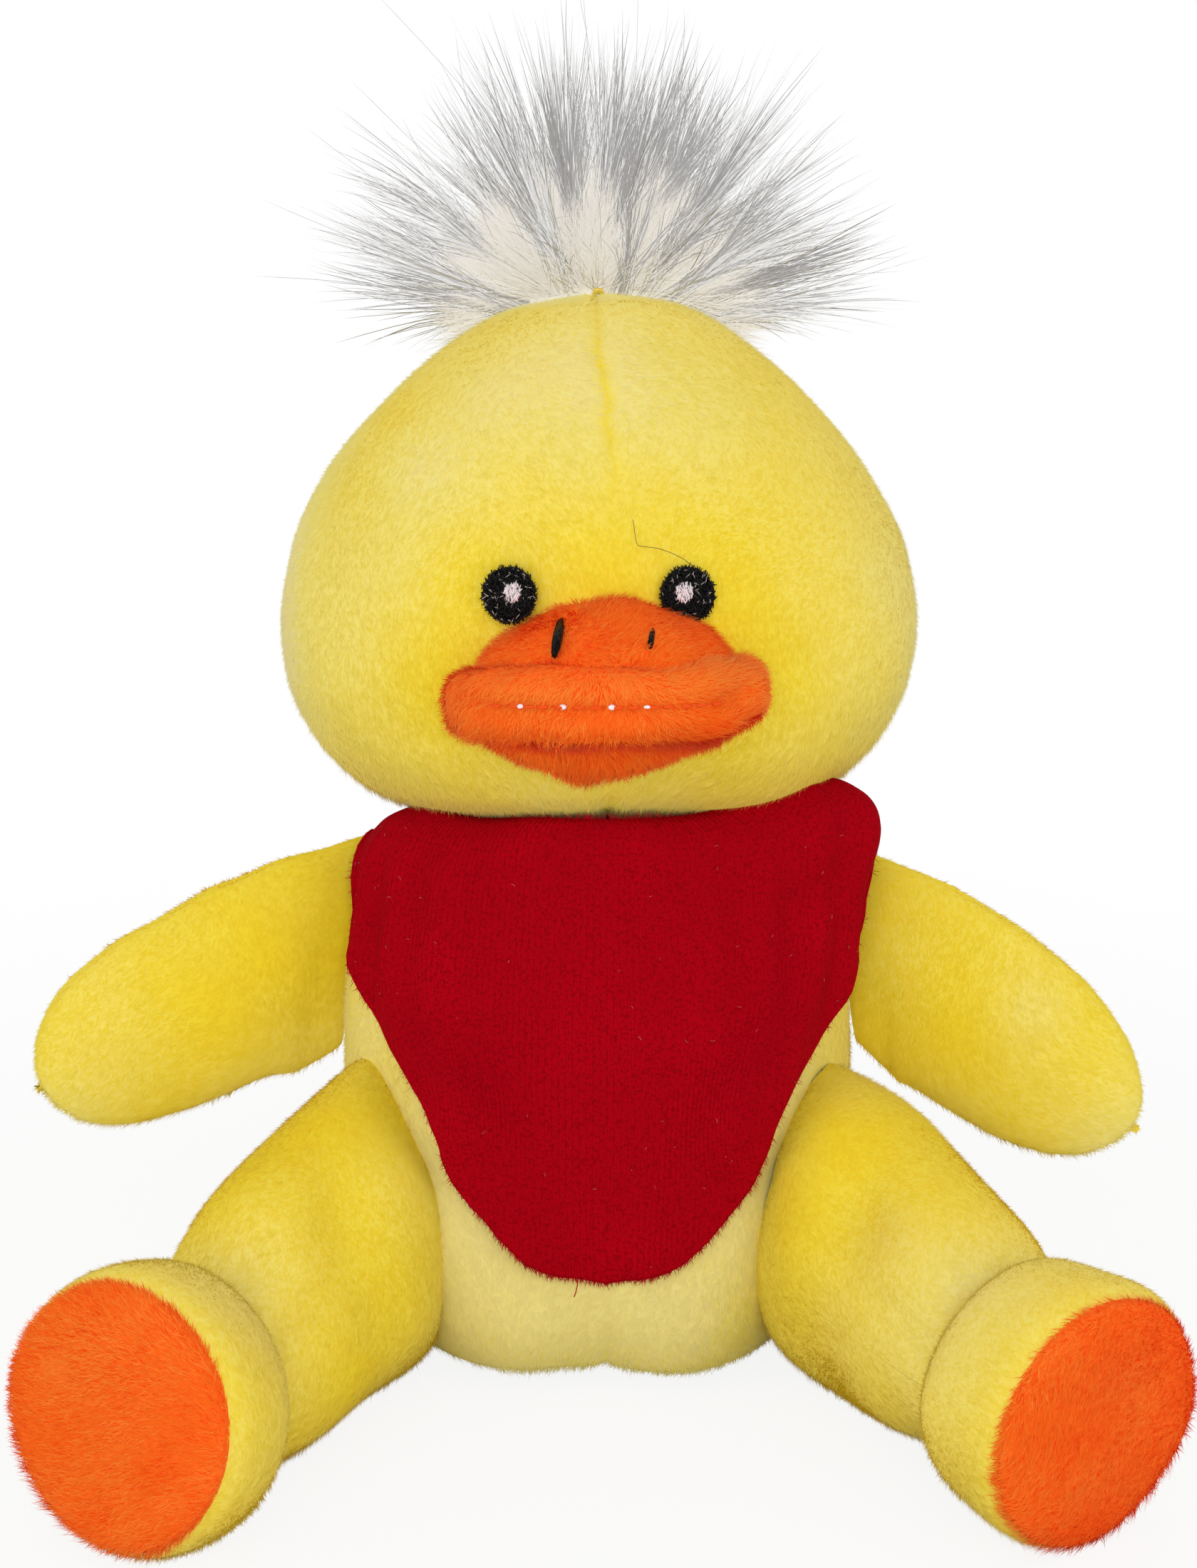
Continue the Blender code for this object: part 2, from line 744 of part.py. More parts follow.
def head_front(across, level):
    """Where the front of the head's surface lies, at a place on the face."""
    place = level / HEAD_HEIGHT
    half_width, half_depth = head_halves(place)
    bulge = math.sqrt(max(1.0 - (across / half_width) ** 2, 0.0))
    return head_centre_line(place) - half_depth * bulge


def head_form():
    """The head's outer surface, open at the neck."""
    rings = []
    for place in spaced(0.0, 1.0, HEAD_RINGS)[:-1]:
        half_width, half_depth = head_halves(place)
        centre = Vector((0.0, head_centre_line(place), SEAM_GAP + HEAD_HEIGHT * place))
        rings.append(
            oval(
                centre,
                Vector((1.0, 0.0, 0.0)),
                Vector((0.0, 1.0, 0.0)),
                half_width,
                half_depth,
                HEAD_SIDES,
            )
        )
    rings.append([Vector((0.0, head_centre_line(1.0), SEAM_GAP + HEAD_HEIGHT))])
    return skin(rings)


def build_head(parent, finish, fibre):
    form = head_form()
    across = Vector((1.0, 0.0, 0.0))
    back_way = Vector((0.0, 1.0, 0.0))
    seam = back_way * HEAD_SEAM_BACK
    front_guide = behind_plane("front_of_head_seam", seam - back_way * SEAM_GAP / 2.0, back_way, parent)
    back_guide = behind_plane("back_of_head_seam", seam + back_way * SEAM_GAP / 2.0, -back_way, parent)
    for side, sign in SIDES.items():
        half = behind_plane(
            f"{side}_of_face_seam", across * sign * SEAM_GAP / 2.0, across * -sign, parent
        )
        front = piece(f"head_front_panel_{side}", form, finish, parent)
        thicken(front, PLUSH_THICKNESS)
        cut(front, front_guide, "INTERSECT")
        cut(front, half, "INTERSECT")
    back = piece("head_back_panel", form, finish, parent)
    thicken(back, PLUSH_THICKNESS)
    cut(back, back_guide, "INTERSECT")
    stuffing = piece("head_stuffing", swollen(form, -PLUSH_THICKNESS - SEAM_GAP), fibre, parent)
    above_neck = behind_plane("head_neck_plane", UP * SEAM_GAP, UP, parent)
    cut(stuffing, above_neck)
    return guide("head_space", swollen(form, SEAM_GAP), parent)


def stitched_pad(name, outline, surface, low, high, finish, parent):
    """Embroidery: a thin pad that follows the surface under it, from low to high off it."""
    front, back = [], []
    for share in (1.0, STITCH_PAD_CROWN_SHARE):
        ring = [(share * x, share * z) for x, z in outline]
        front.append([surface(x, z, high if share < 1.0 else (low + high) / 2.0) for x, z in ring])
        back.append([surface(x, z, low) for x, z in ring])
    rings = [[surface(0.0, 0.0, high)], front[1], front[0], back[0], back[1], [surface(0.0, 0.0, low)]]
    return piece(name, skin(rings), finish, parent)


def leaning_oval(half_width, half_height, lean, sides):
    """The outline of a leaning oval, about its own middle."""
    points = []
    for k in range(sides):
        angle = 2.0 * math.pi * k / sides
        x, z = half_width * math.cos(angle), half_height * math.sin(angle)
        points.append((x * math.cos(lean) + z * math.sin(lean), z * math.cos(lean) - x * math.sin(lean)))
    return points


def build_eyes(parent, black, white):
    lean = math.radians(EYE_LEAN_DEGREES)
    for side, sign in SIDES.items():
        middle = sign * EYE_SPREAD / 2.0

        def on_face(x, z, off, middle=middle):
            across, level = middle + x, EYE_LEVEL + z
            return Vector((across, head_front(across, level) - off, level + SEAM_GAP))

        tilt = -lean if side == "left" else lean / 4.0
        eye = leaning_oval(EYE_WIDTH / 2.0, EYE_HEIGHT / 2.0, tilt, STITCH_PAD_SIDES)
        top = SEAM_GAP + EYE_STITCH_HEIGHT
        stitched_pad(f"eye_{side}", eye, on_face, SEAM_GAP, top, black, parent)
        shine = leaning_oval(
            HIGHLIGHT_WIDTH / 2.0, HIGHLIGHT_HEIGHT / 2.0, 0.0, STITCH_PAD_SIDES // 2
        )
        raised = [(x, z + HIGHLIGHT_RISE) for x, z in shine]
        above = top + SEAM_GAP
        stitched_pad(
            f"eye_highlight_{side}",
            raised,
            on_face,
            above,
            above + HIGHLIGHT_STITCH_HEIGHT,
            white,
            parent,
        )


def beak_root():
    """How far back the beak's pads start, a little inside the face."""
    return head_front(0.0, BEAK_MOUTH_LEVEL) * (1.0 - BEAK_ROOT_SHARE)


def beak_depth(reach):
    """How deep a pad is from the beak's root to where it reaches beyond the face."""
    return reach - head_front(0.0, BEAK_MOUTH_LEVEL) * BEAK_ROOT_SHARE


def dome_front(x, z):
    """The front of the upper beak's surface at a place above the mouth line."""
    rise = 1.0 - (x / (BEAK_WIDTH / 2.0)) ** 2 - (z / BEAK_DOME_HEIGHT) ** 2
    return beak_root() - beak_depth(BEAK_DOME_REACH) * math.sqrt(max(rise, 0.0))


def padded_bulge(half_width, height, reach, sign, power):
    """Half of a padded oval that stands out from the face, above or below the mouth line. A power
    above 1 points it."""
    level = BEAK_MOUTH_LEVEL + SEAM_GAP + sign * SEAM_GAP / 2.0
    root = Vector((0.0, beak_root(), level))
    rings = [[root + UP * sign * height]]
    for k in range(1, BEAK_RINGS + 1):
        turn = math.pi / 2.0 * k / BEAK_RINGS
        size = math.sin(turn)
        rings.append(
            oval(
                root + UP * sign * height * math.cos(turn) ** power,
                Vector((1.0, 0.0, 0.0)),
                Vector((0.0, 1.0, 0.0)),
                half_width * size**power,
                reach * size,
                BEAK_SIDES,
            )
        )
    return skin(rings, cap_end=True)


def lip_form(grow):
    """The padded roll along the edge of the beak, whose ends curl up on the cheeks."""
    rings = []
    root = beak_root()
    depth = beak_depth(LIP_REACH)
    for k in range(LIP_STEPS + 1):
        along = 2.0 * k / LIP_STEPS - 1.0
        turn = along * math.pi / 2.0
        centre = Vector(
            (
                (LIP_WIDTH - LIP_DEPTH) / 2.0 * math.sin(turn),
                root - (depth - LIP_DEPTH / 2.0) * math.cos(turn),
                BEAK_MOUTH_LEVEL + SEAM_GAP + LIP_CURL * abs(along) ** LIP_CURL_POWER,
            )
        )
        outwards = Vector((math.sin(turn), -math.cos(turn), 0.0))
        size = 1.0 - LIP_TAPER_SHARE * along * along
        ring = []
        for j in range(LIP_SIDES):
            angle = 2.0 * math.pi * j / LIP_SIDES
            groove = LIP_GROOVE * max(math.cos(angle), 0.0) ** LIP_GROOVE_POWER
            ring.append(
                centre
                + outwards * ((LIP_DEPTH / 2.0 * size + grow) * math.cos(angle) - groove)
                + UP * (LIP_HEIGHT / 2.0 * size + grow) * math.sin(angle)
            )
        rings.append(ring)
    return skin(rings, cap_start=True, cap_end=True)


def build_beak(parent, finish, black, head_space):
    lip = piece("beak_lip", lip_form(0.0), finish, parent)
    cut(lip, head_space)
    lip_space = guide("lip_space", lip_form(SEAM_GAP), parent)
    upper_half = padded_bulge(
        BEAK_WIDTH / 2.0, BEAK_DOME_HEIGHT, beak_depth(BEAK_DOME_REACH), 1.0, UPPER_BEAK_POINT_POWER
    )
    lower_half = padded_bulge(
        LOWER_BEAK_WIDTH / 2.0,
        LOWER_BEAK_HEIGHT,
        beak_depth(LOWER_BEAK_REACH),
        -1.0,
        LOWER_BEAK_POINT_POWER,
    )
    dome = piece("upper_beak", upper_half, finish, parent)
    lower = piece("lower_beak", lower_half, finish, parent)
    for made in (dome, lower):
        cut(made, head_space)
        cut(made, lip_space)
    lean = math.radians(NOSTRIL_LEAN_DEGREES)
    for side, sign in SIDES.items():
        middle = sign * NOSTRIL_SPREAD / 2.0

        def on_dome(x, z, off, middle=middle):
            across, rise = middle + x, NOSTRIL_RISE + z
            level = BEAK_MOUTH_LEVEL + rise + 1.5 * SEAM_GAP
            return Vector((across, dome_front(across, rise) - off, level))

        slit = leaning_oval(
            NOSTRIL_WIDTHS[side] / 2.0, NOSTRIL_HEIGHTS[side] / 2.0, lean, STITCH_PAD_SIDES // 2
        )
        top = SEAM_GAP + NOSTRIL_STITCH_HEIGHT
        stitched_pad(f"nostril_{side}", slit, on_dome, SEAM_GAP, top, black, parent)


def build_tuft(parent, finish, head_space):
    """Long pile on a round patch: locks that fan out all round and taper to a point."""
    form = bmesh.new()
    bmesh.ops.create_icosphere(form, subdivisions=2, radius=1.0)
    growing = [face for face in form.faces if face.calc_center_median().z > LOWEST_LOCK_SHARE]
    aims = []
    for face in growing:
        middle = face.calc_center_median().normalized()
        fan = math.acos(middle.z) * TUFT_FAN
        level = Vector((middle.x, middle.y, 0.0)).normalized()
        aims.append(level * math.sin(fan) + UP * math.cos(fan))
    patch = (TUFT_WIDTH / 2.0, TUFT_DEPTH / 2.0, TUFT_BASE_HEIGHT)
    centre = Vector((0.0, TUFT_BACK, HEAD_HEIGHT - TUFT_SINK))
    for vert in form.verts:
        vert.co = centre + Vector([half * place for half, place in zip(patch, vert.co)])
    for index, (face, aim) in enumerate(zip(growing, aims)):
        length = TUFT_PILE * LOCK_LENGTH_SHARES[index % len(LOCK_LENGTH_SHARES)]
        middle = face.calc_center_median()
        root = [vert.co.copy() for vert in face.verts]
        ring = list(face.verts)
        for step in range(1, TUFT_STEPS + 1):
            done = step / TUFT_STEPS
            droop = UP * TUFT_DROOP * done * done * (1.0 - aim.z)
            reach = middle + aim * length * done - droop
            tip = step == TUFT_STEPS
            size = (1.0 - done) ** LOCK_TAPER
            places = [reach] if tip else [reach + (point - middle) * size for point in root]
            laid = [form.verts.new(place) for place in places]
            for k in range(3):
                after = (k + 1) % 3
                corners = (laid[0],) if tip else (laid[after], laid[k])
                form.faces.new((ring[k], ring[after], *corners))
            ring = laid
    bmesh.ops.delete(form, geom=growing, context="FACES_ONLY")
    face_outwards(form)
    tuft = piece("hair_tuft", form, finish, parent)
    cut(tuft, head_space)


# Arms, in the frame of the shoulder pivot: local +Z runs along the shoulder seam


def arm_axes(side):
    sign = SIDES[side]
    droop = math.radians(ARM_DROOP_DEGREES[side])
    forward = math.radians(ARM_FORWARD_DEGREES)
    along = Vector(
        (
            sign * math.cos(forward) * math.cos(droop),
            -math.sin(forward) * math.cos(droop),
            -math.sin(droop),
        )
    )
    outwards = Vector((sign * math.cos(forward), -math.sin(forward), 0.0))
    through = outwards.cross(UP).normalized()
    return along, outwards, through


def arm_section(side, place):
    """The middle of the arm's section at a share of its length, its upward axis and its halves."""
    along, outwards, _ = arm_axes(side)
    turn = math.radians(ARM_DROOP_DEGREES[side]) * ease(place / ARM_BEND_SHARE)
    upwards = (UP * math.cos(turn) + outwards * math.sin(turn)).normalized()
    half_width = share_at(ARM_SHARES, place, 1) * ARM_WIDTH / 2.0
    half_thick = share_at(ARM_SHARES, place, 2) * ARM_PADDING / 2.0
    return along * ARM_LENGTH * place, upwards, half_width, half_thick


def arm_form(side, start, inset):
    """A flat padded arm. Its root is a round edge along the shoulder seam, about the pivot."""
    along, outwards, through = arm_axes(side)
    rings = []
    if start == 0.0:
        half_width = share_at(ARM_SHARES, 0.0, 1) * ARM_WIDTH / 2.0
        for turn in ARM_ROOT_DEGREES:
            back = outwards * -ARM_ROOT_RADIUS * math.sin(math.radians(turn))
            half_thick = ARM_ROOT_RADIUS * math.cos(math.radians(turn))
            rings.append(oval(back, UP, through, half_width, half_thick, ARM_SIDES))
    for place in spaced(start, 1.0, ARM_RINGS)[:-1]:
        centre, upwards, half_width, half_thick = arm_section(side, place)
        rings.append(
            oval(centre, upwards, through, half_width - inset, half_thick - inset, ARM_SIDES)
        )
    rings.append([along * (ARM_LENGTH - inset)])
    return skin(rings, cap_start=True)


def shoulder_centre(side):
    """The middle of the shoulder seam, on a leaning line that just clears the torso's side."""
    slope = math.tan(math.radians(SHOULDER_SEAM_LEAN_DEGREES))
    half_span = ARM_SHARES[0][1] * ARM_WIDTH / TORSO_HEIGHT / 2.0
    reaches = []
    for share in spaced(-1.0, 1.0, 9):
        place = share * half_span
        reaches.append(torso_halves(SHOULDER_SHARE + place)[0] + place * TORSO_HEIGHT * slope)
    reach = max(reaches) + SEAM_GAP + ARM_ROOT_RADIUS
    return torso_frame(SHOULDER_SHARE)[0] + Vector((SIDES[side] * reach, 0.0, 0.0))


def build_arm(side, finish, fibre):
    sign = SIDES[side]
    seam_lean = math.radians(SHOULDER_SEAM_LEAN_DEGREES)
    parent = pivot(f"arm_{side}_pivot", shoulder_centre(side), LEAN, -sign * seam_lean)
    through = arm_axes(side)[2] * -sign
    form = arm_form(side, 0.0, 0.0)
    space = arm_form(side, ARM_HOLLOW_SHARE, ARM_PLUSH_THICKNESS)
    hollow = guide(f"arm_{side}_hollow", space, parent)
    for part, facing in (("front", through), ("back", -through)):
        keep = behind_plane(
            f"arm_{side}_{part}_of_seam", facing * -SEAM_GAP / 2.0, facing, parent
        )
        panel = piece(f"arm_{side}_{part}_panel", form, finish, parent)
        cut(panel, hollow)
        cut(panel, keep, "INTERSECT")
    piece(f"arm_{side}_stuffing", swollen(space, -SEAM_GAP), fibre, parent)


# Legs, in the frame of the hip pivot


def pointing(yaw_degrees, pitch_degrees, sign):
    """A direction that starts forwards and turns outwards by the yaw and up by the pitch."""
    yaw, pitch = math.radians(yaw_degrees), math.radians(pitch_degrees)
    return Vector(
        (sign * math.sin(yaw) * math.cos(pitch), -math.cos(yaw) * math.cos(pitch), math.sin(pitch))
    )


def ankle_centre(side):
    """The middle of the ankle seam, at the height that rests the foot on its flat."""
    hip = hip_plane(side)[0]
    level = pointing(LEG_YAW_DEGREES[side], 0.0, SIDES[side])
    lift = math.radians(TOE_LIFT_DEGREES[side])
    lowest = max(
        share * FOOT_RADIUS * math.cos(lift) - place * FOOT_LENGTH * math.sin(lift)
        for place, share in FOOT_SHARES
    )
    ankle = hip + level * LEG_LENGTH
    ankle.z = lowest - REST_FLAT_DEPTH
    return ankle


def leg_form(side):
    """The leg's outer surface, from behind the hip seam to the ankle seam, open at both ends."""
    sign = SIDES[side]
    hip = hip_plane(side)[0]
    ankle = ankle_centre(side) - hip
    start_way = ankle.normalized()
    end_way = pointing(FOOT_YAW_DEGREES[side], TOE_LIFT_DEGREES[side], sign)
    rings = []
    for k in range(LEG_RINGS):
        place = LEG_START_SHARE + (1.0 - LEG_START_SHARE) * k / (LEG_RINGS - 1)
        way = start_way.lerp(end_way, ease((place - LEG_TURN_SHARE) / (1.0 - LEG_TURN_SHARE))).normalized()
        across = way.cross(UP).normalized()
        upwards = across.cross(way).normalized()
        centre = ankle * place - (way * SEAM_GAP if k == LEG_RINGS - 1 else Vector())
        half_width = share_at(LEG_SHARES, place, 1) * LEG_WIDTH / 2.0
        half_height = share_at(LEG_SHARES, place, 2) * LEG_HEIGHT / 2.0
        rings.append(oval(centre, across, upwards, half_width, half_height, LEG_SIDES))
    return skin(rings)


def build_leg(side, yellow, orange, fibre, pellets):
    sign = SIDES[side]
    hip, facing = hip_plane(side)
    parent = pivot(f"leg_{side}_pivot", hip)
    torso_side = behind_plane(f"leg_{side}_hip_plane", facing * SEAM_GAP, facing, parent)
    form = leg_form(side)
    tube = piece(f"leg_{side}_tube", form, yellow, parent)
    thicken(tube, PLUSH_THICKNESS)
    cut(tube, torso_side)
    filling = swollen(form, -PLUSH_THICKNESS - SEAM_GAP)
    stuffing = piece(f"leg_{side}_stuffing", filling, fibre, parent)
    cut(stuffing, torso_side)

    ankle = ankle_centre(side) - hip
    way = pointing(FOOT_YAW_DEGREES[side], TOE_LIFT_DEGREES[side], sign)
    floor = behind_plane(f"leg_{side}_floor", Vector((0.0, 0.0, -hip.z)), UP, parent)

    across = way.cross(UP).normalized()
    upwards = across.cross(way).normalized()
    rings = []
    for place, share in FOOT_SHARES:
        radius = share * FOOT_RADIUS
        middle = ankle + way * FOOT_LENGTH * place
        rings.append(oval(middle, across, upwards, radius, radius, FOOT_SIDES))
    rings.append([ankle + way * FOOT_LENGTH])
    foot = skin(rings)
    seam = ankle + way * FOOT_LENGTH * SOLE_SEAM_SHARE
    band_space = behind_plane(f"foot_{side}_band_space", seam - way * SEAM_GAP / 2.0, way, parent)
    sole_space = behind_plane(f"foot_{side}_sole_space", seam + way * SEAM_GAP / 2.0, -way, parent)
    for part, finish, space in (("band", yellow, band_space), ("sole", orange, sole_space)):
        made = piece(f"foot_{side}_{part}", foot, finish, parent)
        thicken(made, PLUSH_THICKNESS)
        cut(made, space, "INTERSECT")
        cut(made, floor)
    filling = swollen(foot, -PLUSH_THICKNESS - SEAM_GAP)
    piece(f"foot_{side}_filling", filling, pellets, parent)


def main():
    clear_scene()
    yellow = material("yellow_plush", YELLOW, 0.9)
    orange = material("orange_plush", ORANGE, 0.9)
    red = material("red_velour", RED, 0.85)
    black = material("black_thread", BLACK, 0.5)
    white = material("white_thread", PINK_WHITE, 0.5)
    hair = material("hair_pile", HAIR_WHITE, 0.7)
    fibre = material("fibre_fill", FIBRE_WHITE, 0.95)
    pellets = material("pellet_fill", PELLET_WHITE, 0.8)

    torso = build_torso(yellow, fibre, pellets)
    build_tail(yellow, torso)
    build_bandana(red, torso)
    neck = pivot("head_pivot", neck_centre(), LEAN)
    head_space = build_head(neck, yellow, fibre)
    build_eyes(neck, black, white)
    build_beak(neck, orange, black, head_space)
    build_tuft(neck, hair, head_space)
    for side in SIDES:
        build_arm(side, yellow, fibre)
        build_leg(side, yellow, orange, fibre, pellets)
    bpy.context.view_layer.update()


main()
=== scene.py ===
"""The finish of a sewn plush duck: its stuffed panels, pile, fur, embroidery and bandana.

Metres, +Z up. The duck faces -Y and its left side is at +X. A panel is a grid of points: its rows
run up or along the piece, and its columns run round it.
"""

import json
import math

import bmesh
import bpy
import numpy as np
from mathutils import Euler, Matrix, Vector
from mathutils.bvhtree import BVHTree

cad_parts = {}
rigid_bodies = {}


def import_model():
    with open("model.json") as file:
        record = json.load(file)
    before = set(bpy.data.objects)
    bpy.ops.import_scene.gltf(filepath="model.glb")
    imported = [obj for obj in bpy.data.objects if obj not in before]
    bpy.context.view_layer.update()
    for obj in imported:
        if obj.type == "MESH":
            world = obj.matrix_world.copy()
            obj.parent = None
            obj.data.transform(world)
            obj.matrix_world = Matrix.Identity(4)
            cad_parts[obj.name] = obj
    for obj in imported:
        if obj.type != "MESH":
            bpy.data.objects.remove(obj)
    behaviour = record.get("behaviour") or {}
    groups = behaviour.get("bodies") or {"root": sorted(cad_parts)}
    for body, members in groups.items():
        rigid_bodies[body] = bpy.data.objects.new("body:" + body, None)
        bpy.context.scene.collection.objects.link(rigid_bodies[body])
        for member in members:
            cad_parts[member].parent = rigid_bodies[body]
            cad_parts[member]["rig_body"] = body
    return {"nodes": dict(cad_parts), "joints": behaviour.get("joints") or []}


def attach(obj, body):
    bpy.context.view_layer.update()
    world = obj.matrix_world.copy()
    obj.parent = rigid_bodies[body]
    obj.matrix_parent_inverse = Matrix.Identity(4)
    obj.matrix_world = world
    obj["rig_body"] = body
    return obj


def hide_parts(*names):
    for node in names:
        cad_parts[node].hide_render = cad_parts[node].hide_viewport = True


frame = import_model()

bl_info = {
    "name": "Plush duck",
    "version": (1, 0, 0),
    "blender": (4, 5, 0),
    "location": "3D View > Sidebar > Duck",
    "description": "Sews, stuffs and dresses a plush duck around its construction model",
    "category": "Object",
}

SIDES = {"left": 1.0, "right": -1.0}
MM = 0.001
UP = np.array((0.0, 0.0, 1.0))
AHEAD = np.array((0.0, -1.0, 0.0))
ACROSS = np.array((1.0, 0.0, 0.0))
JOINTS = {joint["name"]: joint for joint in frame["joints"]}

# Fabric
SEAM_GAP = 0.0003
PANEL_ROWS = 64
PANEL_COLUMNS = 40
FLOOR_CLEARANCE = 0.0002
SEAM_FALL = 1.4
SEAM_PILE_LOSS = 0.68
PUCKER = 0.35
PUCKER_SIZE = 0.006
COARSE_PANEL = (17, 15)
CLOTH_STEPS = 14
CLOTH_SETTINGS = {
    "vertex_group_mass": "sewn",
    "quality": 6,
    "mass": 0.002,
    "tension_stiffness": 8.0,
    "compression_stiffness": 8.0,
    "bending_stiffness": 0.05,
    "use_pressure": True,
    "uniform_pressure_force": 4.0,
}

# Pile and lint
PILE_LEAN = math.radians(71.0)
PILE_LEANS = (0.15, 1.35)
PILE_HANG = 0.7
PILE_LENGTHS = (0.65, 1.15)
PILE_WIDTHS = (0.75, 1.25)
PILE_TONE_LEVELS = (-0.02, 0.26, 0.50, 0.76)
MOST_STRANDS = 190000
FUZZ_COUNT = 5200
FLECK_COUNT = 70
LINT_COLOUR = (0.62, 0.16, 0.15)
LOOSE_THREAD_PLACE = 0.488
# The forehead fibre's bends: a share along it, then millimetres aside and above the eyes
FIBRE_BENDS = (
    (0.0, 5.4, 11.8),
    (0.3, 6.2, 7.8),
    (0.5, 9.2, 7.3),
    (0.8, 13.2, 5.7),
    (1.0, 15.0, 4.3),
)
FIBRE_POINTS = 40
FIBRE_COLOUR = (0.10, 0.075, 0.03)

# Torso
TORSO_WIDTH = 0.088
TORSO_DEPTH = 0.064
TORSO_HEIGHT = 0.091
NECK_RADIUS = 0.0245
LEAN = math.radians(11.0)
BEND_SHARE = 0.45
REST_FLAT_DEPTH = 0.0005
SIDE_SEAM_BACK = 0.008
SIDE_SEAM_LIMIT = 0.95
BASE_CLOSING_SHARE = 0.04
TORSO_SWELL = 0.0012
DART_ASIDE = 0.0014
DART_WIDTH = 0.0014
DART_TOP = 0.016
DART_FADE = 0.007
DART_DEPTH = 0.9 * MM
TORSO_SHARES = (
    (0.00, 0.62, 0.60),
    (0.02, 0.74, 0.75),
    (0.06, 0.82, 0.87),
    (0.15, 0.915, 0.96),
    (0.30, 0.965, 1.00),
    (0.50, 1.00, 1.00),
    (0.62, 0.99, 0.98),
    (0.74, 0.965, 0.94),
    (0.84, 0.93, 0.90),
    (0.90, 0.895, 0.87),
    (0.955, 0.82, 0.82),
    (1.00, 2.0 * NECK_RADIUS / TORSO_WIDTH, 2.0 * NECK_RADIUS / TORSO_DEPTH),
)
HIP_YAW = math.radians(25.0)
HIP_PITCH = math.radians(9.0)
HIP_ROUNDING = 0.0007
HIP_BLEND = 0.022
HIP_FULLNESS = 0.0085
HIP_TOP_FULLNESS = 0.0095
HIP_UPPER_LEVEL = 0.036
HIP_UPPER_RISE = 0.016
HIP_TOP = 0.074

# Tail
TAIL_LENGTH = 0.026
TAIL_WIDTH = 0.028
TAIL_THICKNESS = 0.017
TAIL_HEIGHT = 0.021
TAIL_RISE = math.radians(38.0)
TAIL_SHARES = (
    (0.00, 0.92, 1.00),
    (0.30, 1.00, 1.00),
    (0.60, 0.82, 0.80),
    (0.85, 0.50, 0.52),
    (1.00, 0.00, 0.00),
)

# Head, from the neck seam along the leaning neck
HEAD_WIDTH = 0.108
HEAD_DEPTH = 0.088
HEAD_HEIGHT = 0.089
HEAD_FORWARD = 0.003
HEAD_FORWARD_SHARE = 0.3
HEAD_CROWN_SHARE = 0.4
HEAD_SEAM_BACK = 0.007
HEAD_SHARES = (
    (0.00, 2.0 * NECK_RADIUS / HEAD_WIDTH, 2.0 * NECK_RADIUS / HEAD_DEPTH),
    (0.02, 0.61, 0.68),
    (0.06, 0.755, 0.80),
    (0.16, 0.905, 0.93),
    (0.27, 0.98, 0.99),
    (0.37, 1.00, 1.00),
    (0.51, 0.965, 0.975),
    (0.66, 0.85, 0.89),
    (0.80, 0.665, 0.73),
    (0.91, 0.455, 0.52),
    (0.97, 0.28, 0.33),
    (1.00, 0.00, 0.00),
)
HEAD_SWELL = 0.0014
CHIN_RISE = 0.0034
CHIN_HALF_WIDTH = 0.034
CHIN_DEPTH = 0.02
CHIN_HEIGHT = 0.020
FACE_SEAM_SHARES = (
    (0.00, 0.054, 0.80),
    (0.30, 0.046, 0.25),
    (0.52, 0.046, 0.15),
    (0.68, 0.050, 0.85),
    (0.85, 0.012, 1.05),
    (1.00, -0.050, 0.20),
)
FACE_SEAM_WAVES = ((0.010, 41.0, 0.0), (0.006, 97.0, 1.0))
FACE_SEAM_WAVE_FROM = 0.55

# Eyes and nostrils
EYE_WIDTH = 0.0090
EYE_HEIGHT = 0.0094
EYE_SPREAD = 0.0282
EYE_LEVEL = 0.0388
EYE_LEANS = {"left": math.radians(-14.0), "right": math.radians(3.5)}
EYE_RISE = 0.0010
EYE_STITCH_TURN = 0.35
EYE_RIM_COUNT = 130
EYE_RIM_SHARE = 0.91
EYE_DRAW = 0.9 * MM
EYE_DRAW_RADIUS = 0.0075
# Satin threads: how far they turn, their length and radius, and how far the lowest and highest stand off
EYE_STITCHES = (0.75, 0.0013, 0.000105, 0.0004, EYE_RISE + 0.0003)
EYE_GLINTS = (0.9, 0.0011, 0.00008, 0.0004, EYE_RISE + 0.00044)
EYE_RIM_STITCHES = (1.2, 0.0010, 0.00009, 0.0004, 0.0009)
SHINE_STITCHES = (0.35, 0.0014, 0.0001, EYE_RISE + 0.0004, EYE_RISE + 0.0009)
SHINE_WIDTH = 0.0027
SHINE_HEIGHT = 0.0028
SHINE_RISE = 0.0004
SHINE_ASIDE = {"left": -0.0006, "right": 0.0006}
NOSTRIL_SPREAD = 0.0145
NOSTRIL_RISE = 0.0101
NOSTRIL_ASIDE = 0.0009
NOSTRIL_HEIGHTS = {"right": 0.0062, "left": 0.0040}
NOSTRIL_WIDTHS = {"right": 0.0021, "left": 0.0014}
NOSTRIL_LEAN = math.radians(10.0)
NOSTRIL_PAD_SHARE = 0.8
NOSTRIL_PAD_RISE = 0.0021

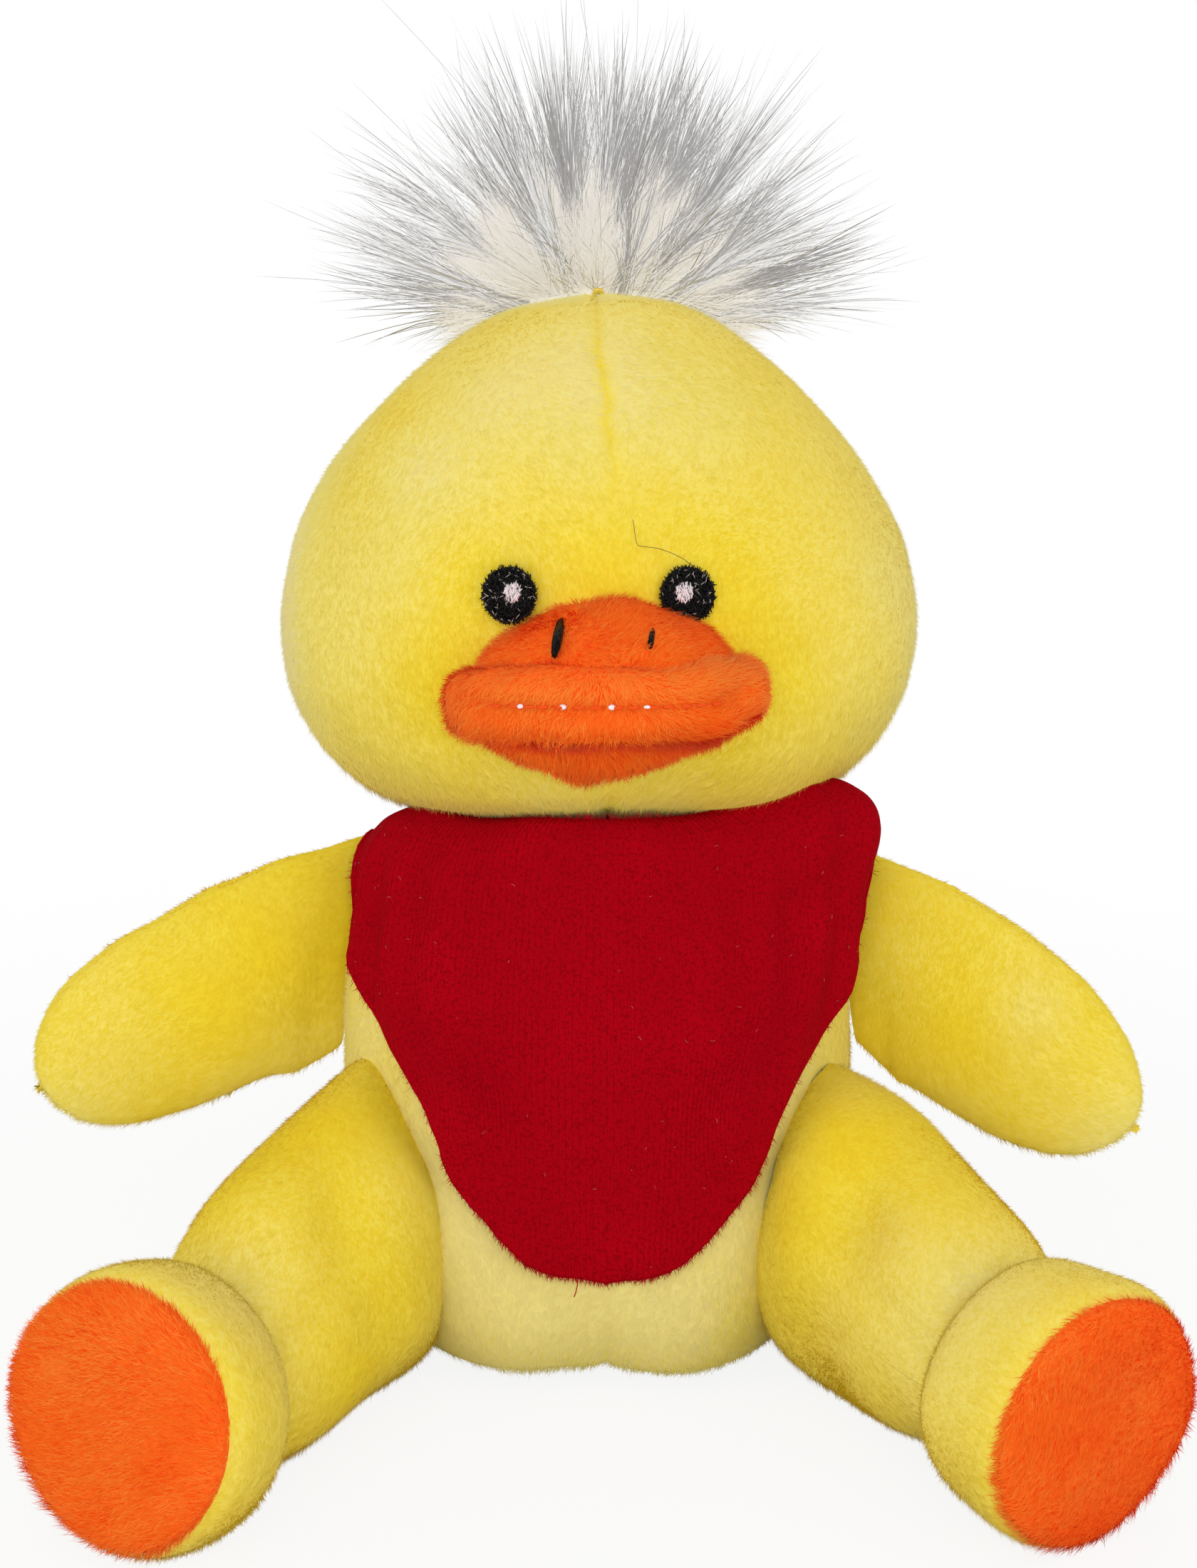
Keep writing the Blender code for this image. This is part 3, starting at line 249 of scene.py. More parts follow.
# Beak
BEAK_WIDTH = 0.041
BEAK_DOME_HEIGHT = 0.0150
BEAK_DOME_REACH = 0.0155
BEAK_MOUTH_LEVEL = 0.0222
BEAK_ROOT_SHARE = 0.06
BEAK_ASIDE = 0.0012
BEAK_WRAP = math.radians(208.0)
DOME_WIDENING = 1.2 * MM
DOME_RAISING = 0.9 * MM
LIP_WIDTH = 0.0530
LIP_REACH = 0.0185
LIP_HEIGHT = 0.0104
LIP_DEPTH = 0.0098
LIP_CURL = 0.0062
LIP_LEFT_CURL_SHARE = 0.52
LIP_RIGHT_CURL_SHARE = -0.06
LIP_LEFT_TAPER = 0.20
LIP_RIGHT_TAPER = 0.24
LIP_END_SHARE = 0.14
LIP_GROOVE = 0.0011
LIP_GROOVE_ANGLE = 0.20
LIP_SEWN_SHARE = 0.5
LIP_SEWN_FADE = 0.25
LIP_FULLNESS = 0.57
LIP_SQUARENESS = 0.8
LIP_STITCH_COUNT = 14
LIP_STITCH_FROM = 0.27
LIP_STITCH_STEP = 0.034
LIP_STITCH_LENGTH = 0.021
LIP_DOT_PLACES = (0.335, 0.42, 0.51, 0.575)
LIP_DOT_RADII = (0.00038, 0.00045, 0.00045, 0.0003)
LOWER_BEAK_WIDTH = 0.040
LOWER_BEAK_HEIGHT = 0.0128
LOWER_BEAK_REACH = 0.0095
LOWER_BEAK_WIDENING = 1.0 * MM
LOWER_BEAK_FLATTENING = 0.8 * MM
LOWER_BEAK_POWER = 1.25
LOWER_BEAK_ASIDE_SHARE = -2.0

# Hair tuft
TUFT_WIDTH = 0.038
TUFT_DEPTH = 0.036
TUFT_BASE_HEIGHT = 0.018
TUFT_SINK = 0.0055
TUFT_BACK = 0.010
TUFT_ROOT_SHARE = 0.86
TUFT_PATCH_REACH = math.radians(108.0)
TUFT_BEHIND_FROM = 0.35
UNDERFUR_COUNT = 42000
UNDERFUR_REACH = 0.76
UNDERFUR_REACH_BEHIND = 0.42
UNDERFUR_LENGTHS = (0.006, 0.0175)
LOCK_COUNT = 64
LOCK_STRANDS = (56, 110)
LOCK_STEPS = 8
LOCK_REACH = 0.84
LOCK_REACH_BEHIND = 0.16
LOCK_FORKS = 5
# Grey strands are painted shade in the white tuft, whose strands cast no shadows: their shares among the
# locks
LOCK_SHADE_PAINTED_SHARE = 0.38
SHADIER_LOCK_SHARE = 0.45
SHADIER_LOCK_MORE = 0.45
LOOSE_COUNT = 170
LOOSE_REACH = 0.88

# Arms
ARM_LENGTH = 0.059
ARM_WIDTH = 0.0345
ARM_PADDING = 0.0135
SHOULDER_SEAM_LEAN = math.radians(7.5)
ARM_DROOPS = {"left": math.radians(41.5), "right": math.radians(33.5)}
ARM_FORWARD = math.radians(14.0)
ARM_SWELL = 0.0010
ARM_TIP_SHARE = 0.12
ARM_TURN_SHARE = 0.5
ARM_ROOT_SINK = 0.0026
ARM_ROOT_SINK_SHARE = 0.1
ARM_ROOT_SAG = 0.0014
ARM_ROOT_SAG_SHARE = 0.6
ARM_ROOT_FULLNESS = 0.0040
ARM_ROOT_FULLNESS_SHARE = 0.38
ARM_SHARES = (
    (0.00, 1.02, 0.40),
    (0.04, 1.04, 0.54),
    (0.10, 1.05, 0.66),
    (0.22, 1.04, 0.86),
    (0.45, 0.99, 1.00),
    (0.65, 0.93, 1.00),
    (0.82, 0.76, 0.88),
    (0.93, 0.52, 0.62),
    (0.98, 0.28, 0.34),
    (1.00, 0.00, 0.00),
)

# Legs and feet
LEG_LENGTH = 0.0580
LEG_WIDTH = 0.0360
LEG_HEIGHT = 0.0525
LEG_YAWS = {"left": math.radians(25.5), "right": math.radians(24.5)}
FOOT_LENGTH = 0.0240
FOOT_RADIUS = 0.0212
ANKLE_RADIUS = 0.0140
LEG_START_SHARE = -0.22
LEG_SWELL = 0.0010
LEG_FLARE = 0.0045
LEG_FLARE_REACH = 0.018
LEG_FLARE_FRONT = 0.012
LEG_FLARE_TOP = 0.057
LEG_FLARE_FADE = 0.018
LEG_FILLING = 0.5 * MM
LEG_LUMPS = 0.55 * MM
LEG_DIMPLE_ASIDE = 0.0415
LEG_DIMPLE_LEVEL = 0.040
LEG_DIMPLE_RADIUS = 0.0045
LEG_DIMPLE_DEPTH = 1.9 * MM
LEG_CREASE_ASIDE = 0.043
LEG_CREASE_LEVEL = 0.031
LEG_CREASE_SLOPE = 0.45
LEG_CREASE_WIDTH = 0.0030
LEG_CREASE_MIDDLE = 0.046
LEG_CREASE_HALF_LENGTH = 0.010
LEG_CREASE_DEPTH = 1.3 * MM
HIP_RISE = 0.0008
HIP_RISE_SHARE = 0.30
HIP_TUCK = 0.0028
ANKLE_BEND_SHARE = 0.45
ANKLE_TUCK = 0.10
ANKLE_TUCK_DEPTH = 0.16 * ANKLE_RADIUS
LEG_SHARES = (
    (LEG_START_SHARE, 0.40, 0.92),
    (0.00, 0.66, 0.95),
    (0.22, 0.90, 0.95),
    (0.45, 1.00, 0.90),
    (0.70, 0.96, 0.79),
    (1.00, 2.0 * ANKLE_RADIUS / LEG_WIDTH, 2.0 * ANKLE_RADIUS / LEG_HEIGHT),
)
FOOT_YAWS = {"left": math.radians(35.0), "right": math.radians(29.0)}
TOE_LIFTS = {"left": math.radians(-2.0), "right": math.radians(12.0)}
FOOT_SHARES = (
    (0.00, ANKLE_RADIUS / FOOT_RADIUS),
    (0.035, 0.69),
    (0.08, 0.81),
    (0.20, 0.91),
    (0.42, 0.975),
    (0.66, 1.00),
    (0.84, 0.985),
    (0.92, 0.93),
    (0.965, 0.79),
    (0.99, 0.48),
    (1.00, 0.00),
)
SOLE_SEAM_SHARE = 0.87
FOOT_SWELL = 0.0005
FOOT_SWELL_SHARE = 0.25
FOOT_HEART_SHARE = 0.3
SOLE_GROOVE = 1.1
FOOT_SEEDS = {"left": 67, "right": 71}

# Bandana
BANDANA_THICKNESS = 0.0012
BANDANA_COLUMNS = 221
BANDANA_ROWS = 72
BANDANA_ENDS = math.radians(171.0)
BANDANA_ASKEW = math.radians(1.8)
BANDANA_TOP_SHARE = 0.974
BANDANA_TOP_RISE_SHARE = 0.013
BANDANA_LIFT = 0.0006
BANDANA_FOLD = 0.0018
BANDANA_FOLD_AT = math.radians(60.0)
BANDANA_FOLD_SPREAD = math.radians(28.0)
BANDANA_FOLD_FROM = 0.45
BANDANA_FOLD_RISE = 0.3
BANDANA_FOLD_UNTIL = 0.88
BANDANA_FOLD_FADE = 0.08
BANDANA_FLAP = 0.0062
BANDANA_FLAP_AT = math.radians(72.0)
BANDANA_FLAP_SPREAD = math.radians(24.0)
BANDANA_FLAP_SHARE = 0.925
BANDANA_RIPPLE = 0.35 * MM
BANDANA_RIPPLE_SIZE = 0.014
BANDANA_RIPPLE_STRETCH = np.array((1.0, 1.0, 0.35))
BANDANA_FRONT_SPREAD = math.radians(75.0)
BANDANA_EDGE_SHARE = 0.1
BANDANA_EDGE_RIPPLE_SIZE = 0.007
VALLEY_LEVEL = 0.80
VALLEY_RUN = 0.17
VALLEY_FROM = 0.76
VALLEY_RISE = 0.06
VALLEY_AT = math.radians(46.0)
VALLEY_TURN = math.radians(20.0)
VALLEY_WIDTH = math.radians(6.0)
VALLEY_DEPTH = 1.3 * MM
# Where the cloth's top stands out: its first share and how soon, the angle and its spread, and how far
BANDANA_FLARES = (
    (0.60, 0.32, math.radians(66.0), math.radians(22.0), (0.0040, -0.0028, 0.0)),
    (0.80, 0.17, math.radians(66.0), math.radians(22.0), (0.0, 0.0, 0.0072)),
    (0.80, 0.17, math.radians(-66.0), math.radians(20.0), (-0.0010, -0.0015, 0.0030)),
    (0.80, 0.17, 0.0, math.radians(50.0), (0.0, -0.0036, 0.0032)),
)
BANDANA_EDGE_SHARES = (
    (0.00, 0.215),
    (0.085, 0.24),
    (0.155, 0.305),
    (0.23, 0.41),
    (0.29, 0.545),
    (0.36, 0.68),
    (0.42, 0.81),
    (0.48, 0.945),
    (0.56, 0.945),
    (0.66, 0.87),
    (1.00, 0.86),
)
KNOT_WIDTH = 0.0150
KNOT_HEIGHT = 0.0095
KNOT_DEPTH = 0.0085
KNOT_SHARE = 0.92
KNOT_ROUNDNESS = 0.7
KNOT_FOLD = 0.10
KNOT_FOLDS = 3.0
KNOT_TWIST = 5.0
KNOT_END_WAVE = 0.0011
KNOT_END_ASIDE = 0.0015
KNOT_END_LENGTH = 0.0240
KNOT_END_WIDTH = 0.0110
KNOT_END_SPREAD = math.radians(24.0)
KNOT_END_SHARES = ((0.0, 0.45), (0.3, 0.75), (0.65, 1.0), (1.0, 0.35))
RIB_SPACING = 0.0011

# Camera and light
CAMERA_DISTANCE = 0.52
CAMERA_TARGET = Vector((0.0, 0.0, 0.0985))
CAMERA_RISE = math.radians(16.0)
PHOTO_HEIGHT = 2201
METRES_A_PIXEL = 0.00012
FLOOR_SIZE = 6.0
SHADE_LIGHT = 0.60
# Each lamp's name, place, size and power
LAMPS = (
    ("front", (-0.12, -1.20, 0.62), 1.0, 5.1),
    ("left", (1.0, -0.80, 0.30), 0.8, 2.5),
    ("right", (-1.1, -0.60, 0.35), 0.8, 1.9),
    ("back", (0.1, 0.9, 1.0), 0.8, 2.2),
)

# Where the plush is paler: brushed nap, but the spots at the head's top and sides paint the pale sheen of its
# outline, and the spots by the hip seams paint light over the shade there. A body's own paleness, then the
# middle, reach and change of each spot
PALE_PLACES = {
    # The torso's spots by each hip seam are painted light over the shade of the valley there
    "torso": (0.62, (((0.0, -0.034, 0.010), 0.020, 0.20), ((0.034, -0.026, 0.036), 0.020, 0.35),
                     ((-0.034, -0.026, 0.036), 0.020, 0.35))),
    # The head's spots at its top and at its sides paint the pale sheen of its outline
    "head": (0.24, (((0.0, -0.014, 0.172), 0.026, 0.62), ((0.0, 0.030, 0.172), 0.030, 0.40),
                    ((0.054, 0.004, 0.126), 0.026, 0.62), ((-0.054, 0.004, 0.126), 0.026, 0.66),
                    ((-0.034, -0.020, 0.160), 0.020, 0.40), ((0.0, -0.034, 0.094), 0.034, 0.16),
                    ((0.0, -0.036, 0.144), 0.026, -0.30), ((0.026, -0.034, 0.126), 0.016, -0.34),
                    ((-0.026, -0.034, 0.124), 0.016, -0.38), ((0.017, -0.040, 0.112), 0.014, -0.30),
                    ((-0.020, -0.040, 0.110), 0.014, -0.30), ((0.006, -0.042, 0.139), 0.008, 0.30),
                    ((0.0145, -0.044, 0.1295), 0.0068, 0.30), ((-0.0140, -0.044, 0.1295), 0.0068, 0.30))),
    "arm_left": (0.16, (((0.058, -0.004, 0.056), 0.014, -0.15), ((0.062, 0.0, 0.034), 0.013, 0.40),
                        ((0.090, -0.010, 0.034), 0.013, 0.60), ((0.074, -0.006, 0.060), 0.008, 0.45))),
    "arm_right": (0.14, (((-0.060, -0.004, 0.062), 0.016, -0.15), ((-0.060, 0.0, 0.036), 0.012, 0.60),
                         ((-0.090, -0.012, 0.040), 0.012, 0.45), ((-0.048, 0.0, 0.048), 0.010, 0.35))),
    # Each leg's first spot, by the hip seam, is painted light over the valley's shade
    "leg_left": (0.14, (((0.038, -0.028, 0.034), 0.010, 0.40), ((0.050, -0.030, 0.040), 0.016, -0.18),
                        ((0.062, -0.066, 0.030), 0.021, 0.72), ((0.050, -0.030, 0.006), 0.020, 0.25))),
    "leg_right": (0.12, (((-0.038, -0.028, 0.034), 0.010, 0.30), ((-0.050, -0.034, 0.040), 0.022, -0.24),
                         ((-0.062, -0.066, 0.030), 0.021, 0.72), ((-0.050, -0.030, 0.006), 0.020, 0.20))),
}


class DuckSizes(bpy.types.PropertyGroup):
    """Sizes of the fabrics' finish."""

    pile_length: bpy.props.FloatProperty(
        name="Pile length", description="How long the yellow plush's pile is",
        default=0.0014, min=0.0005, unit="LENGTH")
    pile_width: bpy.props.FloatProperty(
        name="Pile width", description="How wide a tuft of the pile is at its root",
        default=0.00014, min=0.00005, unit="LENGTH")
    pile_count: bpy.props.FloatProperty(
        name="Pile per square millimetre", description="How densely the pile stands",
        default=6.5, min=0.1)
    shag_length: bpy.props.FloatProperty(
        name="Shag length", description="How long the orange plush's pile is",
        default=0.0019, min=0.0005, unit="LENGTH")
    shag_count: bpy.props.FloatProperty(
        name="Shag per square millimetre", description="How densely the orange pile stands",
        default=11.0, min=0.1)
    hair_length: bpy.props.FloatProperty(
        name="Hair length", description="How long the tuft's pile is",
        default=0.0385, min=0.005, unit="LENGTH")
    hair_width: bpy.props.FloatProperty(
        name="Hair width", description="How wide a strand of the tuft is at its root",
        default=0.00018, min=0.00002, unit="LENGTH")
    seam_depth: bpy.props.FloatProperty(
        name="Seam depth", description="How far a seam draws the panels in",
        default=0.0010, min=0.0, unit="LENGTH")
    seam_reach: bpy.props.FloatProperty(
        name="Seam reach", description="How wide the valley at a seam is on each panel",
        default=0.0014, min=0.0002, unit="LENGTH")


def colour_property(name, description, default):
    return bpy.props.FloatVectorProperty(
        name=name, description=description, subtype="COLOR", size=3, min=0.0, max=1.0, default=default
    )


class DuckColours(bpy.types.PropertyGroup):
    """Colours of the fabrics, fur and threads."""

    yellow: colour_property("Yellow", "Plush, where its pile stands", (0.915, 0.725, 0.032))
    # Light yellow, pale yellow and cream also carry the painted sheen and painted light of the paleness
    light_yellow: colour_property("Light yellow", "Plush, a little brushed", (0.915, 0.755, 0.074))
    pale_yellow: colour_property("Pale yellow", "Plush, where its pile is brushed", (0.915, 0.79, 0.145))
    cream: colour_property("Cream", "Plush, where it is brushed most", (0.92, 0.81, 0.31))
    deep_yellow: colour_property("Deep yellow", "Plush, down in its pile", (0.905, 0.69, 0.020))
    orange: colour_property("Orange", "Beak and soles", (1.0, 0.168, 0.011))
    pale_orange: colour_property("Pale orange", "Brushed pile of beak and soles", (1.0, 0.26, 0.030))
    deep_orange: colour_property("Deep orange", "Down in the orange pile", (0.95, 0.088, 0.005))
    red: colour_property("Red", "Bandana", (0.42, 0.0006, 0.0068))
    black: colour_property("Black", "Eye thread", (0.005, 0.0045, 0.0045))
    # Pale threads in the black eyes, painted highlights for the glints of light on their satin
    glint: colour_property("Glint", "Fibres that catch the light in the eye thread", (0.34, 0.29, 0.25))
    highlight: colour_property("Highlight", "Pale thread", (0.95, 0.84, 0.86))
    # White hair coloured grey, painted shade among the tuft's strands
    shade_painted_hair: colour_property("Grey hair", "Outer strands of the tuft", (0.44, 0.425, 0.42))
    white_hair: colour_property("White hair", "Strands of the tuft", (0.95, 0.94, 0.93))
    cream_hair: colour_property("Cream hair", "Underfur of the tuft", (1.0, 0.945, 0.86))
    fibre: colour_property("Fibre", "Stuffing", (0.80, 0.80, 0.78))
    pellet: colour_property("Pellets", "Pellet filling", (0.70, 0.70, 0.72))


# Reckoning with points


def unit(vectors):
    return vectors / np.maximum(np.linalg.norm(vectors, axis=-1, keepdims=True), 1e-12)


def ease(place):
    """A smooth step from 0 to 1."""
    held = np.clip(place, 0.0, 1.0)
    return held * held * (3.0 - 2.0 * held)


def bump(distance):
    """A soft hill that is 1 at 0 and nothing past 1 or so."""
    return np.exp(-(distance**2))


def shares(rows, place, column=1):
    """A column of a table of shares at places between its rows, on a smooth curve through them."""
    table = np.array(rows, float)
    at, value = table[:, 0], table[:, column]
    step = np.diff(at)
    rise = np.diff(value) / step
    same_way = rise[:-1] * rise[1:] > 0.0
    both = np.where(same_way, rise[:-1] + rise[1:], 1.0)
    slope = np.concatenate([rise[:1], np.where(same_way, 2.0 * rise[:-1] * rise[1:] / both, 0.0), rise[-1:]])
    k = np.clip(np.searchsorted(at, place) - 1, 0, len(step) - 1)
    t = np.clip((place - at[k]) / step[k], 0.0, 1.0)
    square, cube = t * t, t * t * t
    return (
        value[k] * (2.0 * cube - 3.0 * square + 1.0)
        + slope[k] * step[k] * (cube - 2.0 * square + t)
        + value[k + 1] * (3.0 * square - 2.0 * cube)
        + slope[k + 1] * step[k] * (cube - square)
    )


def drift(points, size, seed, waves=7):
    """Smooth random values, mostly between -1 and 1, that change over about this distance."""
    chance = np.random.default_rng(seed)
    ways = unit(chance.normal(size=(waves, 3))) * 2.0 * math.pi
    ways /= size * chance.uniform(0.8, 2.2, (waves, 1))
    phase = chance.uniform(0.0, 2.0 * math.pi, waves)
    return np.sin(points @ ways.T + phase).sum(axis=-1) / math.sqrt(waves)


def crowded(count):
    """Places from 0 to 1, closer together near both ends."""
    return (1.0 - np.cos(np.linspace(0.0, math.pi, count))) / 2.0


def grid(rows, columns):
    """Row places and column places of a panel, as two grids."""
    return np.meshgrid(rows, columns, indexing="ij")


def paleness(body, points):
    """How far the plush is brushed pale at places of a body: 0 is full yellow and 1 is cream."""
    base, spots = PALE_PLACES[body]
    value = base + 0.10 * drift(points, 0.034, 81) + 0.045 * drift(points, 0.012, 82)
    for middle, radius, more in spots:
        value = value + more * bump(np.linalg.norm(points - np.array(middle), axis=-1) / radius)
    return np.clip(value, 0.0, 1.0)


def normals_of(points):
    """The way that each point of a grid faces, outwards."""
    facing = unit(np.cross(np.gradient(points, axis=1), np.gradient(points, axis=0)))
    middle = points.reshape(-1, 3).mean(axis=0)
    if (facing * (points - middle)).sum() < 0.0:
        facing = -facing
    return facing


def edge_runs(points):
    """How far each point of a grid lies from its four edges, along the cloth."""
    runs = {}
    for axis, near, far in ((1, "start", "end"), (0, "low", "high")):
        steps = np.linalg.norm(np.diff(points, axis=axis), axis=2)
        zero = np.zeros_like(steps.take([0], axis=axis))
        run = np.concatenate([zero, np.cumsum(steps, axis=axis)], axis=axis)
        runs[near] = run
        runs[far] = run.take([-1], axis=axis) - run
    return runs


def drawn_in(points, seams, sizes, seed):
    """Draws a panel in along its sewn edges. Returns it with the share of pile that is left there."""
    runs = edge_runs(points)
    pull = np.zeros(points.shape[:2])
    for edge, depth in seams.items():
        pull = np.maximum(pull, depth * np.exp(-((runs[edge] / sizes.seam_reach) ** SEAM_FALL)))
    pucker = 1.0 + PUCKER * drift(points, PUCKER_SIZE, seed)
    inset = sizes.seam_depth * pull * pucker
    moved = points - normals_of(points) * inset[..., None]
    return moved, 1.0 - SEAM_PILE_LOSS * np.clip(pull, 0.0, 1.3)


def fine_weights(fine, coarse):
    """Weights that carry values from a coarse row of places to a fine one without creases."""
    place = fine * (coarse - 1)
    distance = np.abs(place[:, None] - np.arange(coarse)[None, :])
    near = 2.0 / 3.0 - distance**2 + distance**3 / 2.0
    far = np.clip(2.0 - distance, 0.0, None) ** 3 / 6.0
    weights = np.where(distance < 1.0, near, far)
    return weights / weights.sum(axis=1, keepdims=True)


def seat(joint, turn=None):
    """The place of a joint and the turn of the pieces about it, as a function on their own points."""
    origin = np.array(JOINTS[joint]["pos_m"])
    rotation = np.array(turn.to_matrix()) if turn else np.eye(3)
    return lambda points: points @ rotation.T + origin


# Meshes


def mesh_of(name, points, *polygons):
    """A smooth mesh from points and from arrays of faces, each of one number of corners."""
    mesh = bpy.data.meshes.new(name)
    corners = np.concatenate([faces.ravel() for faces in polygons]).astype(np.int32)
    sides = np.concatenate([np.full(len(faces), faces.shape[1]) for faces in polygons])
    mesh.vertices.add(len(points))
    mesh.vertices.foreach_set("co", np.ascontiguousarray(points, np.float32).ravel())
    mesh.loops.add(len(corners))
    mesh.loops.foreach_set("vertex_index", corners)
    mesh.polygons.add(len(sides))
    starts = np.concatenate([[0], np.cumsum(sides)[:-1]]).astype(np.int32)
    mesh.polygons.foreach_set("loop_start", starts)
    mesh.update(calc_edges=True)
    mesh.shade_smooth()
    return mesh


def piece(name, mesh, finish, body, replaces=()):
    """A finished piece on its body."""
    made = bpy.data.objects.new(name, mesh)
    bpy.context.scene.collection.objects.link(made)
    mesh.materials.append(finish)
    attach(made, body)
    if replaces:
        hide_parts(*replaces)
    return made


def grid_faces(rows, columns):
    index = np.arange(rows * columns).reshape(rows, columns)
    corners = (index[:-1, :-1], index[:-1, 1:], index[1:, 1:], index[1:, :-1])
    return np.stack(corners, axis=-1).reshape(-1, 4)


def faces_inwards(points):
    """Whether a grid's faces, in their plain order, face inwards."""
    natural = np.cross(np.gradient(points, axis=1), np.gradient(points, axis=0))
    return (natural * normals_of(points)).sum() < 0.0


def set_values(mesh, name, values):
    """A named value at each point of a mesh."""
    layer = mesh.attributes.new(name, "FLOAT", "POINT")
    layer.data.foreach_set("value", np.ascontiguousarray(values, np.float32).ravel())


def panel_mesh(name, points, pile):
    """A mesh from a grid of points, with its outer side out and its poles closed."""
    faces = grid_faces(*points.shape[:2])
    if faces_inwards(points):
        faces = faces[:, ::-1]
    mesh = mesh_of(name, points.reshape(-1, 3), faces)
    set_values(mesh, "pile", pile)
    form = bmesh.new()
    form.from_mesh(mesh)
    bmesh.ops.remove_doubles(form, verts=form.verts, dist=1e-6)
    form.to_mesh(mesh)
    form.free()
    mesh.shade_smooth()
    return mesh


def stuffed(points, most):
    """How far each point of a coarse panel moves when the filling presses it out against its seams."""
    rows, columns = points.shape[:2]
    mesh = mesh_of("blown", points.reshape(-1, 3), grid_faces(rows, columns))
    if (mesh.polygons[len(mesh.polygons) // 2].normal.dot(
            Vector(normals_of(points).reshape(-1, 3)[rows * columns // 2])) < 0.0):
        mesh.flip_normals()
    blown = bpy.data.objects.new("blown", mesh)
    bpy.context.scene.collection.objects.link(blown)
    index = np.arange(rows * columns).reshape(rows, columns)
    edge = np.concatenate([index[0], index[-1], index[:, 0], index[:, -1]])
    blown.vertex_groups.new(name="sewn").add([int(k) for k in edge], 1.0, "REPLACE")
    cloth = blown.modifiers.new("cloth", "CLOTH")
    for setting, value in CLOTH_SETTINGS.items():
        setattr(cloth.settings, setting, value)
    cloth.settings.effector_weights.gravity = 0.0
    cloth.collision_settings.use_collision = False
    scene = bpy.context.scene
    for step in range(CLOTH_STEPS):
        scene.frame_set(step + 1)
    shown = blown.evaluated_get(bpy.context.evaluated_depsgraph_get())
    after = read(shown.data.vertices, "co", 3).reshape(rows, columns, 3)
    scene.frame_set(1)
    bpy.data.objects.remove(blown, do_unlink=True)
    move = after - points
    length = np.linalg.norm(move, axis=-1, keepdims=True)
    return move * np.minimum(1.0, most / np.maximum(length, 1e-9))


def read(items, name, width, kind=np.float32):
    values = np.empty(len(items) * width, kind)
    items.foreach_get(name, values)
    return values.reshape(-1, width) if width > 1 else values


def sewn_panel(name, body, form, rows, columns, seams, finish, sizes, swell=0.0,
               seed=1, pile="yellow", shape=None):
    """One stuffed panel of a form, which gives points from row and column places between 0 and 1."""
    points = form(*grid(rows, columns))
    if swell:
        coarse_rows, coarse_columns = COARSE_PANEL
        coarse = form(*grid(np.linspace(0.0, 1.0, coarse_rows), np.linspace(0.0, 1.0, coarse_columns)))
        move = stuffed(coarse, swell)
        by_row, by_column = fine_weights(rows, coarse_rows), fine_weights(columns, coarse_columns)
        points = points + np.einsum("ra,abk,cb->rck", by_row, move, by_column)
    if shape is not None:
        points = shape(points)
    points, left = drawn_in(points, seams, sizes, seed)
    points[..., 2] = np.maximum(points[..., 2], FLOOR_CLEARANCE)
    mesh = panel_mesh(name, points, left)
    if pile == "yellow":
        shown = (read(mesh.attributes["pile"].data, "value", 1) - 0.2) / 0.8
        set_values(mesh, "paleness", paleness(body, read(mesh.vertices, "co", 3)) * np.clip(shown, 0.0, 1.0))
    made = piece(name, mesh, finish, body, (name,))
    made["pile"] = pile
    return made


def ribbons(name, paths, widths, across, facing=None):
    """Many tapering strands as one mesh. Each strand's last point is its tip."""
    count, steps = paths.shape[:2]
    if facing is not None:
        square = np.cross(across[:, 0], paths[:, -1] - paths[:, 0])
        across = across * np.where((square * facing).sum(axis=1) < 0.0, -1.0, 1.0)[:, None, None]
    half = across * widths[:, :-1, None] / 2.0
    sides = np.stack([paths[:, :-1] - half, paths[:, :-1] + half], axis=2).reshape(count, -1, 3)
    points = np.concatenate([sides, paths[:, -1:]], axis=1)
    each = points.shape[1]
    first = (np.arange(count) * each)[:, None]
    pair = np.arange(steps - 2)[:, None] * 2 + np.array((0, 1, 3, 2))
    quads = (first[:, :, None] + pair[None]).reshape(-1, 4)
    tips = first + np.array((each - 3, each - 2, each - 1))
    mesh = mesh_of(name, points.reshape(-1, 3), *([quads, tips] if len(quads) else [tips]))
    if facing is not None:
        normals = np.repeat(facing[:, None], each, axis=1).reshape(-1, 3)
        mesh.normals_split_custom_set_from_vertices(normals)
    return mesh


def tubes(name, paths, radii, sides=5):
    """Many threads as one mesh, each closed at both ends."""
    count, steps = paths.shape[:2]
    along = unit(np.gradient(paths, axis=1))
    reference = np.where(np.abs(along[..., 2:]) > 0.8, ACROSS, UP)
    first_way = unit(np.cross(along, reference))
    second_way = np.cross(along, first_way)
    turn = 2.0 * math.pi * np.arange(sides) / sides
    ring = (
        first_way[:, :, None] * np.cos(turn)[None, None, :, None]
        + second_way[:, :, None] * np.sin(turn)[None, None, :, None]
    )
    points = paths[:, :, None] + ring * radii[:, :, None, None]
    base = (np.arange(count) * steps * sides)[:, None, None]
    level = (np.arange(steps - 1) * sides)[None, :, None]
    k = np.arange(sides)[None, None, :]
    after = (k + 1) % sides
    walls = np.stack(
        [base + level + k, base + level + after, base + level + sides + after, base + level + sides + k], -1
    ).reshape(-1, 4)
    k = np.arange(sides)[None, :]
    low = base[:, 0] + k[:, ::-1]
    high = base[:, 0] + (steps - 1) * sides + k
    return mesh_of(name, points.reshape(-1, 3), walls, low, high)


# Finishes


